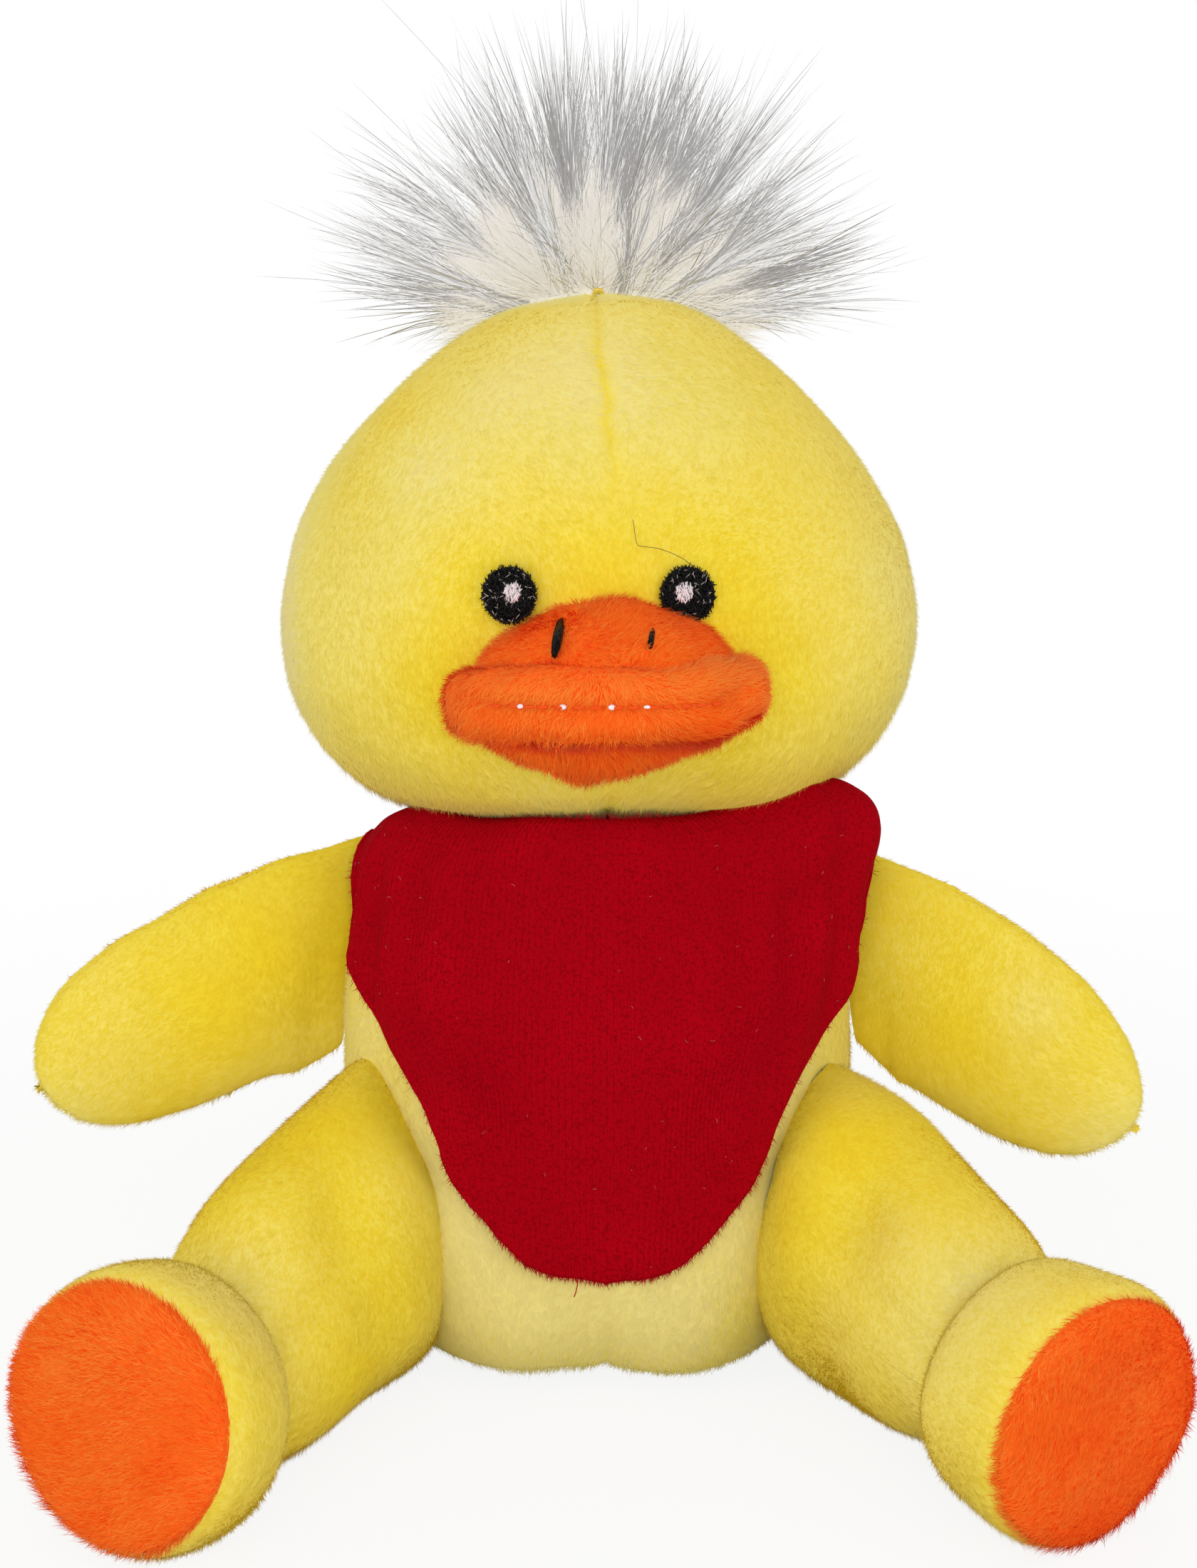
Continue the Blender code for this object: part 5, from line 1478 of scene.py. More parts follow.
def build_legs(sizes, colours):
    finish = yellow_plush(colours)
    rows = crowded(72)
    for side, sign in SIDES.items():

        def creased(points, sign=sign, side=side):
            """The leg's own folds: a flare and a dimple by the hip, and a soft crease across."""
            middle, facing = hip_planes()[side]
            ahead = unit(AHEAD - facing * (AHEAD @ facing))
            local = points - middle
            flare = (1.0 - ease(local @ facing / LEG_FLARE_REACH)) * ease(local @ ahead / LEG_FLARE_FRONT)
            flare = LEG_FLARE * flare * ease((LEG_FLARE_TOP - points[..., 2]) / LEG_FLARE_FADE)
            points = points + ahead * flare[..., None]
            local = points - middle
            front = ease((sign * local[..., 0] * 0.2 - local[..., 1]) / 0.02)
            aside, level = sign * points[..., 0], points[..., 2]
            dimple = bump((level - LEG_DIMPLE_LEVEL) / LEG_DIMPLE_RADIUS)
            dimple = dimple * bump((aside - LEG_DIMPLE_ASIDE) / LEG_DIMPLE_RADIUS)
            line = level - LEG_CREASE_LEVEL + LEG_CREASE_SLOPE * (aside - LEG_CREASE_ASIDE)
            crease = bump(line / LEG_CREASE_WIDTH)
            crease = crease * bump((aside - LEG_CREASE_MIDDLE) / LEG_CREASE_HALF_LENGTH)
            soft = LEG_LUMPS * drift(points, 0.020, 52)
            push = LEG_FILLING + soft - front * (LEG_DIMPLE_DEPTH * dimple + LEG_CREASE_DEPTH * crease)
            return points + normals_of(points) * push[..., None]

        sewn_panel(f"leg_{side}_tube", f"leg_{side}", leg_form(side), rows, np.linspace(0.0, 1.0, 97),
                   {"low": 0.3, "high": 1.3}, finish, sizes, LEG_SWELL, seed=51, shape=creased)


def build_feet(sizes, colours):
    for side, sign in SIDES.items():
        ankle = ankle_centre(side)
        way = pointing(FOOT_YAWS[side], TOE_LIFTS[side], sign)
        across = unit(np.cross(way, UP))
        upwards = np.cross(across, way)

        def foot(start, end, side=side, ankle=ankle, way=way, across=across, upwards=upwards):
            def form(row, column):
                place = start + (end - start) * row
                turn = 2.0 * math.pi * column
                run = np.abs(place - SOLE_SEAM_SHARE) * FOOT_LENGTH
                groove = SOLE_GROOVE * sizes.seam_depth * np.exp(-((run / sizes.seam_reach) ** SEAM_FALL))
                tuck = ANKLE_TUCK_DEPTH * ease(-place / ANKLE_TUCK)
                radius = (shares(FOOT_SHARES, place) * FOOT_RADIUS - groove - tuck)[..., None]
                points = (
                    ankle + way * (FOOT_LENGTH * place)[..., None]
                    + radius * (across * np.cos(turn)[..., None] + upwards * np.sin(turn)[..., None])
                )
                heart = ankle + way * FOOT_LENGTH * FOOT_HEART_SHARE
                swell = FOOT_SWELL * (1.0 + drift(points, 0.022, FOOT_SEEDS[side]))
                return points + unit(points - heart) * (swell * ease(place / FOOT_SWELL_SHARE))[..., None]

            return form

        band_rows = crowded(44)
        sole_rows = 1.0 - (1.0 - np.linspace(0.0, 1.0, 44)) ** 2.2
        round_it = np.linspace(0.0, 1.0, 97)
        sewn_panel(f"foot_{side}_band", f"leg_{side}", foot(-ANKLE_TUCK, SOLE_SEAM_SHARE), band_rows,
                   round_it, {"low": 1.3}, yellow_plush(colours), sizes, seed=61)
        sewn_panel(f"foot_{side}_sole", f"leg_{side}", foot(SOLE_SEAM_SHARE, 1.0), sole_rows, round_it,
                   {}, orange_plush(colours), sizes, seed=63, pile="sole")


# Bandana


def torso_off(place, angle, lift):
    """Points that stand off the torso's surface, square to it."""
    step = 0.01
    up = torso_at(place + step, angle) - torso_at(place - step, angle)
    round_it = torso_at(place, angle + step) - torso_at(place, angle - step)
    return torso_at(place, angle) + unit(np.cross(round_it, up)) * lift[..., None]


def bandana_lift(place, angle):
    """How far the cloth stands off the torso."""
    away = (np.abs(angle) - BANDANA_FOLD_AT) / BANDANA_FOLD_SPREAD
    near = bump(away) * ease((place - BANDANA_FOLD_FROM) / BANDANA_FOLD_RISE)
    near = near * (1.0 - ease((place - BANDANA_FOLD_UNTIL) / BANDANA_FOLD_FADE))
    wave = 0.5 - 0.5 * np.cos(4.0 * math.pi * away)
    beside = (angle - BANDANA_FLAP_AT) / BANDANA_FLAP_SPREAD
    beyond = (place - BANDANA_FLAP_SHARE) / (BANDANA_TOP_SHARE - BANDANA_FLAP_SHARE)
    return BANDANA_LIFT + BANDANA_FOLD * near * wave + BANDANA_FLAP * np.exp(-(beside**2) - beyond**2)


def bandana_points(down, side):
    """The cloth's outer points: down from its top edge, and from one end round to the other."""
    angle = BANDANA_ENDS * (2.0 * side - 1.0)
    high = BANDANA_TOP_SHARE + BANDANA_TOP_RISE_SHARE * np.cos(angle) ** 2
    low = shares(BANDANA_EDGE_SHARES, np.abs(angle - BANDANA_ASKEW) / math.pi)
    place = high + (low - high) * down
    ground = torso_off(place, angle, BANDANA_LIFT + np.zeros_like(place))
    lift = bandana_lift(place, angle) + BANDANA_THICKNESS
    front = bump(angle / BANDANA_FRONT_SPREAD)
    ripple = drift(ground * BANDANA_RIPPLE_STRETCH, BANDANA_RIPPLE_SIZE, 71)
    lift = lift + BANDANA_RIPPLE * front * (1.0 + ripple)
    edge = ease((down - (1.0 - BANDANA_EDGE_SHARE)) / BANDANA_EDGE_SHARE)
    lift = lift + BANDANA_RIPPLE * edge * (1.0 + drift(ground, BANDANA_EDGE_RIPPLE_SIZE, 72))
    valley = angle - VALLEY_AT - (place - VALLEY_LEVEL) / VALLEY_RUN * VALLEY_TURN
    lift = lift - VALLEY_DEPTH * bump(valley / VALLEY_WIDTH) * ease((place - VALLEY_FROM) / VALLEY_RISE)
    lift = np.maximum(lift, BANDANA_LIFT + BANDANA_THICKNESS)
    return fuller_at_hips(torso_off(place, angle, lift)) + bandana_flare(place, angle)


def bandana_flare(place, angle):
    """How the cloth's top stands up and out at the shoulders, most at the left one."""
    return sum(
        (ease((place - low) / over) * bump((angle - at) / spread))[..., None] * np.array(way)
        for low, over, at, spread, way in BANDANA_FLARES
    )


def thick_cloth(name, points, thickness):
    """A closed cloth from the grid of its outer side."""
    rows, columns = points.shape[:2]
    inner = points - normals_of(points) * thickness
    faces = grid_faces(rows, columns)
    index = np.arange(rows * columns).reshape(rows, columns)
    rim = np.concatenate([index[0, :-1], index[:-1, -1], index[-1, :0:-1], index[:0:-1, 0]])
    after = np.roll(rim, -1)
    wall = np.stack([after, rim, rim + rows * columns, after + rows * columns], -1)
    back = faces[:, ::-1] + rows * columns
    sides = [faces, back, wall]
    if faces_inwards(points):
        sides = [part[:, ::-1] for part in sides]
    return mesh_of(name, np.concatenate([points.reshape(-1, 3), inner.reshape(-1, 3)]), *sides)


def build_bandana(sizes, colours):
    """The cloth round the neck: a triangle that hangs down the front and is tied behind."""
    rows = 1.0 - (1.0 - np.linspace(0.0, 1.0, BANDANA_ROWS)) ** 1.15
    down, side = grid(rows, np.linspace(0.0, 1.0, BANDANA_COLUMNS))
    mesh = thick_cloth("bandana", bandana_points(down, side), BANDANA_THICKNESS)
    across = BANDANA_ENDS * TORSO_WIDTH * side.ravel()
    set_values(mesh, "across_cloth", np.concatenate([across, across]))
    cloth = piece("bandana", mesh, red_velour(colours), "torso", ("bandana",))
    cloth["pile"] = "cloth"


def build_knot(sizes, colours):
    """The knot at the nape, with the two short ends that hang from it."""
    finish = red_velour(colours)
    off = BANDANA_LIFT + BANDANA_THICKNESS + 2.0 * SEAM_GAP + KNOT_DEPTH * 0.25
    middle = torso_off(np.array(KNOT_SHARE), np.array(math.pi), np.array(off))

    def knot(row, column):
        turn, angle = math.pi * row, 2.0 * math.pi * column
        size = np.sin(turn) ** KNOT_ROUNDNESS
        fold = 1.0 + KNOT_FOLD * np.cos(KNOT_FOLDS * angle + KNOT_TWIST * row) * np.sin(turn)
        return middle + np.stack(
            [-KNOT_WIDTH / 2.0 * np.cos(turn), KNOT_DEPTH / 2.0 * size * fold * np.cos(angle),
             KNOT_HEIGHT / 2.0 * size * fold * np.sin(angle)], -1
        )

    points = knot(*grid(crowded(41), np.linspace(0.0, 1.0, 49)))
    made = piece("bandana_knot", panel_mesh("bandana_knot", points, np.ones(points.shape[:2])), finish,
                 "torso", ("bandana_knot",))
    made["pile"] = "cloth"
    for side, sign in SIDES.items():
        along = np.array((sign * math.sin(KNOT_END_SPREAD), 0.05, -math.cos(KNOT_END_SPREAD)))
        over = np.array((math.cos(KNOT_END_SPREAD), 0.0, sign * math.sin(KNOT_END_SPREAD)))
        row, column = grid(np.linspace(0.0, 1.0, 30), np.linspace(-1.0, 1.0, 15))
        width = shares(KNOT_END_SHARES, row) * KNOT_END_WIDTH / 2.0
        wave = KNOT_END_WAVE * np.cos(column * 3.0 + row * 2.0) * (0.4 + row)
        start = middle + np.array((sign * KNOT_END_ASIDE, KNOT_DEPTH / 4.0, 0.0))
        points = (start + along * (KNOT_END_LENGTH * row)[..., None] + over * (width * column)[..., None]
                  + np.array((0.0, 1.0, 0.0)) * wave[..., None])
        end = piece(f"bandana_end_{side}", thick_cloth(f"bandana_end_{side}", points, BANDANA_THICKNESS),
                    finish, "torso")
        end["pile"] = "cloth"


# Pile


def scattered(items, per_square_mm, chance):
    """Even random places on meshes, with the way that each faces and its share of pile."""
    places, facing, left = [], [], []
    for item in items:
        mesh = item.data
        mesh.calc_loop_triangles()
        corners = read(mesh.loop_triangles, "vertices", 3, np.int32)
        points = read(mesh.vertices, "co", 3)
        normals = read(mesh.vertex_normals, "vector", 3)
        share = read(mesh.attributes["pile"].data, "value", 1)
        a, b, c = (points[corners[:, k]] for k in range(3))
        area = np.linalg.norm(np.cross(b - a, c - a), axis=1) / 2.0
        count = int(area.sum() / MM**2 * per_square_mm)
        pick = chance.choice(len(area), count, p=area / area.sum())
        u, v = np.sqrt(chance.random(count)), chance.random(count)
        weight = np.stack([1.0 - u, u * (1.0 - v), u * v], 1)
        chosen = corners[pick]
        places.append((points[chosen] * weight[..., None]).sum(axis=1))
        facing.append(unit((normals[chosen] * weight[..., None]).sum(axis=1)))
        left.append((share[chosen] * weight).sum(axis=1))
    return np.concatenate(places), np.concatenate(facing), np.concatenate(left)


def tree_of(items):
    """A search tree of the faces of several pieces."""
    points, faces, count = [], [], 0
    for item in items:
        mesh = item.data
        mesh.calc_loop_triangles()
        points.append(read(mesh.vertices, "co", 3))
        faces.append(read(mesh.loop_triangles, "vertices", 3, np.int32) + count)
        count += len(mesh.vertices)
    return BVHTree.FromPolygons(np.concatenate(points).tolist(), np.concatenate(faces).tolist())


def unblocked(places, ways, lengths, tree):
    """Which strands run clear of other pieces."""
    clear = np.ones(len(places), bool)
    for k, (place, way, length) in enumerate(zip(places.tolist(), ways.tolist(), lengths.tolist())):
        clear[k] = tree.ray_cast(place, way, length)[0] is None
    return clear


def brushed(places, facing, way, swirl, chance, seed):
    """The way that the nap lies on a surface, turned a little by brushing."""
    flat = unit(way - facing * (facing * way).sum(axis=1, keepdims=True))
    turn = swirl * drift(places, 0.030, seed) + 0.40 * chance.normal(size=len(places))
    return flat * np.cos(turn)[:, None] + np.cross(facing, flat) * np.sin(turn)[:, None]


def lay_pile(name, body, items, blockers, per_square_mm, length, width, lean, way, finishes, tones,
             chance, seed, steps=2, swirl=0.7):
    """Stands pile on pieces, in a mesh for each finish that the tones choose between."""
    places, facing, left = scattered(items, per_square_mm, chance)
    keep = chance.random(len(places)) < left
    places, facing, left = places[keep], facing[keep], left[keep]
    flat = brushed(places, facing, way(places), swirl, chance, seed)
    leans = lean + 0.15 * chance.normal(size=len(places)) + 0.08 * drift(places, 0.018, seed + 1)
    leans = np.clip(leans, *PILE_LEANS)[:, None]
    ways = facing * np.cos(leans) + flat * np.sin(leans)
    hanging = 1.0 + PILE_HANG * np.clip(-facing[:, 2], 0.0, 1.0)
    lengths = length * hanging * (0.55 + 0.45 * left) * chance.uniform(*PILE_LENGTHS, len(places))
    if blockers:
        clear = unblocked(places + facing * 0.0001, ways, lengths, tree_of(blockers))
        places, facing, flat, ways, lengths = (
            values[clear] for values in (places, facing, flat, ways, lengths)
        )
    shares_along = np.linspace(0.0, 1.0, steps)
    paths = places[:, None] + ways[:, None] * (lengths[:, None] * shares_along)[..., None]
    if steps > 2:
        droop = shares_along**2 * lengths[:, None] * 0.25
        paths = paths + (flat - facing * 0.5)[:, None] * droop[..., None]
    paths[..., 2] = np.maximum(paths[..., 2], FLOOR_CLEARANCE)
    thick = width * chance.uniform(*PILE_WIDTHS, len(places))
    widths = thick[:, None] * (1.0 - shares_along**1.5)
    across = unit(np.cross(ways, facing))[:, None]
    shine = unit(facing + 0.12 * ways + 0.05 * chance.normal(size=facing.shape))
    tone = tones(places, chance)
    for index, (label, finish) in enumerate(finishes):
        chosen = np.flatnonzero(tone == index)
        if not len(chosen):
            continue
        parts = math.ceil(len(chosen) / MOST_STRANDS)
        for part, some in enumerate(np.array_split(chosen, parts)):
            called = f"{name}_{label}" + (f"_{part + 1}" if parts > 1 else "")
            mesh = ribbons(called, paths[some], widths[some], across[some], shine[some])
            light_through(piece(called, mesh, finish, body))


def light_through(strands, fluffy=False):
    """Pile and fur are so fine that the light comes through them."""
    strands.visible_shadow = False
    strands.visible_diffuse = not fluffy


def skins(body, *kinds):
    return [
        item for item in bpy.context.scene.objects
        if item.get("pile") in kinds and (body is None or item.get("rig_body") == body)
    ]


ALL_KINDS = ("yellow", "dome", "lip", "lower", "sole", "cloth", "stitch")


def blockers_for(body, *kinds):
    """Every piece that this pile mustn't grow into."""
    return [
        item for item in bpy.context.scene.objects
        if item.get("pile") in ALL_KINDS
        and (item.get("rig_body") != body or item.get("pile") not in kinds)
    ]


def build_yellow_pile(sizes, colours):
    """The short pile of the yellow plush, in tones from deep yellow to cream."""
    tint = (1.0, 0.96, 0.80)
    finishes = [
        ("deep", stranded("deep_yellow_pile", colours.deep_yellow, 0.78, 0.96, 0.18, tint, 0.1)),
        ("main", stranded("yellow_pile", colours.yellow, 0.78, 0.96, 0.22, tint, 0.1)),
        ("light", stranded("light_yellow_pile", colours.light_yellow, 0.78, 0.96, 0.25, tint, 0.1)),
        ("pale", stranded("pale_yellow_pile", colours.pale_yellow, 0.76, 0.94, 0.30, tint, 0.1)),
        ("cream", stranded("cream_pile", colours.cream, 0.74, 0.92, 0.30, tint, 0.1)),
    ]
    ways = {"torso": -UP, "head": -UP}
    for side, sign in SIDES.items():
        ways[f"arm_{side}"] = arm_axes(side)[0]
        ways[f"leg_{side}"] = pointing(FOOT_YAWS[side], 0.0, sign) - UP * 0.5
    for number, (body, way) in enumerate(ways.items()):

        def tones(places, chance, body=body):
            # Paler tones carry brushed nap and the painted sheen and painted light of the paleness
            level = paleness(body, places) + 0.07 * chance.normal(size=len(places))
            return np.digitize(level, PILE_TONE_LEVELS)

        lay_pile(f"{body}_pile", body, skins(body, "yellow"), blockers_for(body, "yellow"),
                 sizes.pile_count, sizes.pile_length, sizes.pile_width, PILE_LEAN,
                 lambda places, way=way: np.broadcast_to(way, places.shape),
                 finishes, tones, np.random.default_rng(1000 + number), 140 + number)


def orange_tones(pale_bias, deep_bias, seed, above=None):
    """Chooses main, pale or deep pile for each place, and paler pile above a level."""

    def choose(places, chance):
        pale = pale_bias + 0.15 * drift(places, 0.010, seed)
        if above is not None:
            pale = pale + 0.45 * ease((places[:, 2] - above) / 0.002)
        deep = deep_bias + 0.14 * drift(places, 0.006, seed + 1)
        draw = chance.random(len(places))
        pale = np.clip(pale, 0.02, 0.95)
        deep = np.clip(deep, 0.01, 0.98 - pale)
        return np.where(draw < pale, 1, np.where(draw > 1.0 - deep, 2, 0))

    return choose


def build_orange_pile(sizes, colours):
    """The shaggy pile of the beak and the soles."""
    finishes = [
        ("main", stranded("orange_pile", colours.orange, 0.7, 0.95, 0.06, (1.0, 0.75, 0.5), 0.08)),
        ("pale", stranded("pale_orange_pile", colours.pale_orange, 0.7, 0.95, 0.08, (1.0, 0.8, 0.6), 0.08)),
        ("deep", stranded("deep_orange_pile", colours.deep_orange, 0.75, 0.95, 0.03, (1.0, 0.6, 0.4), 0.05)),
    ]
    mouth = float(HEAD_SEAT(np.array((0.0, beak_root() - beak_reach(LIP_REACH), BEAK_MOUTH_LEVEL)))[2])
    outwards = lambda middle, drop: lambda places: unit(places - middle) - UP * drop
    heart = HEAD_SEAT(np.array((0.0, beak_root(), BEAK_MOUTH_LEVEL)))
    parts = (
        ("upper_beak", "dome", outwards(heart, 0.0), orange_tones(0.12, 0.22, 201), 0.9, 0.75, 9.0),
        ("beak_lip", "lip", outwards(heart, 0.7), orange_tones(0.30, 0.08, 203, mouth), 1.0, 0.95, 11.0),
        ("lower_beak", "lower", outwards(heart, 0.9), orange_tones(0.06, 0.30, 205), 1.0, 0.85, 11.0),
    )
    for number, (name, kind, way, choose, longer, lean, count) in enumerate(parts):
        lay_pile(f"{name}_pile", "head", skins("head", kind), blockers_for("head", kind), count,
                 sizes.shag_length * longer, sizes.pile_width * 1.05, lean, way, finishes, choose,
                 np.random.default_rng(1100 + number), 210 + number, 3, 1.0)
    for side, sign in SIDES.items():
        body = f"leg_{side}"
        way = lambda places, sign=sign: np.broadcast_to(np.array((-0.9, 0.0, 0.25)), places.shape)
        lay_pile(f"foot_{side}_sole_pile", body, skins(body, "sole"), blockers_for(body, "sole"),
                 sizes.shag_count, sizes.shag_length * 0.95, sizes.pile_width * 1.05, 0.95, way, finishes,
                 orange_tones(0.22, 0.10, 221 + int(sign)), np.random.default_rng(1120 + int(sign)),
                 225 + int(sign), 3, 0.8)


# Fur


def tuft_centre():
    return np.array((0.0, TUFT_BACK + 0.004, HEAD_HEIGHT - TUFT_SINK))


def tuft_root(ways):
    """Where strands of these ways grow from the round patch, in the head's own frame."""
    reach = np.array((TUFT_WIDTH / 2.0, TUFT_DEPTH / 3.0, TUFT_BASE_HEIGHT))
    return tuft_centre() + ways * reach * TUFT_ROOT_SHARE


def way_at(polar, turn):
    """Ways at an angle from straight up, turned from the front towards +X."""
    return np.stack([np.sin(polar) * np.sin(turn), -np.sin(polar) * np.cos(turn), np.cos(polar)], -1)


def fan(polar, turn):
    """Ways that stand up from the patch and lean back rather than over the face."""
    return unit(way_at(polar, turn) * np.array((1.0, 0.7, 1.0)) + np.array((0.0, 0.12, 0.0)))


def lit(ways):
    """The way that strands face: to the front or to the back of the head, and up."""
    ahead = np.where(ways[:, 1] < TUFT_BEHIND_FROM, -0.9, 0.9)
    return np.stack([np.zeros(len(ways)), ahead, np.full(len(ways), 0.5)], -1)


def random_across(ways, chance):
    """A random way that is square to each of these ways."""
    return unit(np.cross(ways, chance.normal(size=ways.shape)))


def fur(name, paths, widths, across, facing, finish):
    """Strands of the tuft, along paths in the head's own frame."""
    mesh = ribbons(name, HEAD_SEAT(paths), widths, across, facing)
    light_through(piece(name, mesh, finish, "head"), True)


def build_tuft(sizes, colours):
    """Long pile on a round patch: a fan of locks over dense underfur, with loose strands."""
    chance = np.random.default_rng(3001)
    patch_rows, patch_columns = np.linspace(0.0, 1.0, 20), np.linspace(0.0, 1.0, 41)

    def patch(row, column):
        return HEAD_SEAT(tuft_root(way_at(TUFT_PATCH_REACH * (1.0 - row), 2.0 * math.pi * column)))

    points = patch(*grid(patch_rows, patch_columns))
    cream = napped("cream_fur_backing", colours.cream_hair, colours.white_hair, colours.cream_hair, 60.0)
    base = piece("hair_tuft", panel_mesh("hair_tuft", points, np.ones(points.shape[:2])), cream, "head",
                 ("hair_tuft",))
    base["pile"] = "fur"
    cream_fur = stranded("cream_fur", colours.cream_hair, 0.55, 0.8, 0.2)
    white_fur = stranded("white_fur", colours.white_hair, 0.4, 0.7, 0.15, specular=0.4)
    # The grey strands paint the shade in the white tuft, whose strands cast no shadows
    shade_painted_fur = stranded("shade_painted_fur", colours.shade_painted_hair, 0.35, 0.6, 0.1, specular=0.5)
    grow_underfur(sizes, cream_fur, chance)
    grow_locks(sizes, white_fur, shade_painted_fur, chance)
    # The loose strands also take the grey of painted shade
    grow_loose_strands(sizes, shade_painted_fur, chance)


def grow_underfur(sizes, finish, chance):
    """Short dense fur all over the patch, which reaches lower behind."""
    turn = chance.uniform(0.0, 2.0 * math.pi, UNDERFUR_COUNT)
    behind = ease(TUFT_BEHIND_FROM - np.cos(turn))
    reach = UNDERFUR_REACH + UNDERFUR_REACH_BEHIND * behind
    polar = np.arccos(1.0 - chance.random(UNDERFUR_COUNT) * reach)
    ways = fan(polar, turn)
    roots = tuft_root(ways + (way_at(polar, turn) - ways) * behind[:, None])
    aim = unit(ways + 0.28 * chance.normal(size=ways.shape))
    length = chance.uniform(*UNDERFUR_LENGTHS, UNDERFUR_COUNT)
    along = np.linspace(0.0, 1.0, 4)
    paths = roots[:, None] + aim[:, None] * (length[:, None] * along)[..., None]
    paths = paths + 0.0008 * (along**2)[None, :, None] * chance.normal(size=(UNDERFUR_COUNT, 1, 3))
    widths = sizes.hair_width * 0.75 * (1.0 - along**2)[None, :] * np.ones((UNDERFUR_COUNT, 1))
    across = random_across(aim, chance)[:, None]
    facing = unit(0.4 * ways + lit(ways) + 0.10 * chance.normal(size=ways.shape))
    fur("hair_tuft_underfur", paths, widths, across, facing, finish)


def grow_locks(sizes, white, grey, chance):
    """Locks of white and grey strands, which draw together from the root and fork at the tip."""
    spiral = np.arange(LOCK_COUNT) + 0.5
    turn = spiral * math.pi * (3.0 - math.sqrt(5.0)) + 0.25 * chance.normal(size=LOCK_COUNT)
    reach = LOCK_REACH + LOCK_REACH_BEHIND * ease(TUFT_BEHIND_FROM - np.cos(turn))
    lock_ways = fan(np.arccos(1.0 - spiral / LOCK_COUNT * reach), turn)
    lock_lengths = sizes.hair_length * chance.uniform(0.76, 1.10, LOCK_COUNT)
    lock_bend = chance.normal(size=(LOCK_COUNT, 3)) * 0.0022
    which = np.repeat(np.arange(LOCK_COUNT), chance.integers(*LOCK_STRANDS, LOCK_COUNT))
    total = len(which)
    jitter = chance.normal(size=(total, 3)) * 0.0021
    ways = unit(lock_ways[which] + jitter * 34.0)
    along = np.linspace(0.0, 1.0, LOCK_STEPS)
    length = lock_lengths[which] * chance.beta(5.0, 1.6, total)
    aim = lock_ways[which] + 0.05 * chance.normal(size=(total, 3))
    centre = tuft_root(lock_ways)[which]
    held = (1.0 - 0.88 * ease(along / 0.7))[None, :, None]
    offset = (tuft_root(ways) - centre)[:, None] * held
    splay = (along**2.2)[None, :, None] * chance.normal(size=(total, 1, 3)) * 0.0017
    cluster = chance.integers(0, LOCK_FORKS, total)
    fork = chance.normal(size=(LOCK_COUNT, LOCK_FORKS, 3))[which, cluster] * 0.0026
    bend = (lock_bend[which] + fork)[:, None] * (along**1.6)[None, :, None]
    drop = (0.0026 * (1.0 - np.abs(aim[:, 2:3])))[:, None] * (along**2)[None, :, None] * UP
    wavy = 0.0005 * np.sin(along[None, :] * chance.uniform(4.0, 11.0, (total, 1))
                            + chance.uniform(0.0, 6.0, (total, 1)))
    side_way = random_across(aim, chance)
    paths = (centre[:, None] + offset + aim[:, None] * (length[:, None] * along)[..., None]
             + splay + bend - drop + side_way[:, None] * (wavy * along)[..., None])
    widths = sizes.hair_width * chance.uniform(0.7, 1.1, (total, 1)) * (1.0 - 0.45 * along**3)
    across = random_across(aim, chance)[:, None]
    facing = unit(0.5 * ways + lit(ways) + 0.25 * chance.normal(size=ways.shape))
    draw = chance.random(total)
    # Grey strands, more of them in some locks, paint the shade among the white hairs
    shadier = (chance.random(LOCK_COUNT) < SHADIER_LOCK_SHARE)[which]
    is_shaded = draw < LOCK_SHADE_PAINTED_SHARE + SHADIER_LOCK_MORE * shadier
    for label, finish, some in (("white", white, ~is_shaded), ("grey", grey, is_shaded)):
        fur(f"hair_tuft_{label}_strands", paths[some], widths[some], across[some], facing[some], finish)


def grow_loose_strands(sizes, finish, chance):
    """Single strands that stray from the locks."""
    polar = np.arccos(1.0 - chance.random(LOOSE_COUNT) * LOOSE_REACH)
    ways = fan(polar, chance.uniform(0.0, 2.0 * math.pi, LOOSE_COUNT))
    along = np.linspace(0.0, 1.0, 12)
    length = sizes.hair_length * chance.uniform(0.45, 1.12, LOOSE_COUNT)
    curl = chance.normal(size=(LOOSE_COUNT, 3)) * 0.009
    paths = (tuft_root(ways)[:, None] + ways[:, None] * (length[:, None] * along)[..., None]
             + curl[:, None] * (along**2)[None, :, None])
    widths = sizes.hair_width * 0.6 * (1.0 - 0.4 * along)[None, :] * np.ones((LOOSE_COUNT, 1))
    across = random_across(ways, chance)[:, None]
    fur("hair_tuft_loose_strands", paths, widths, across, unit(ways + lit(ways)), finish)


# Embroidery


def leaning(x, z, lean):
    """Places on the face, turned about their middle by a lean."""
    return x * math.cos(lean) + z * math.sin(lean), z * math.cos(lean) - x * math.sin(lean)


def black_thread(colours):
    return stranded("black_thread", colours.black, 0.22, 0.42, 0.0, specular=0.12, scale=2500.0)


def stitched(name, mesh, finish, replaces=()):
    """A piece of embroidery on the head, which no pile grows into."""
    piece(name, mesh, finish, "head", replaces)["pile"] = "stitch"


def oval_places(count, half_width, half_height, lean, chance, most=1.0):
    """Random places in a leaning oval, about its middle."""
    radius = np.sqrt(chance.random(count)) * most
    turn = chance.uniform(0.0, 2.0 * math.pi, count)
    return (*leaning(half_width * radius * np.cos(turn), half_height * radius * np.sin(turn), lean), radius)


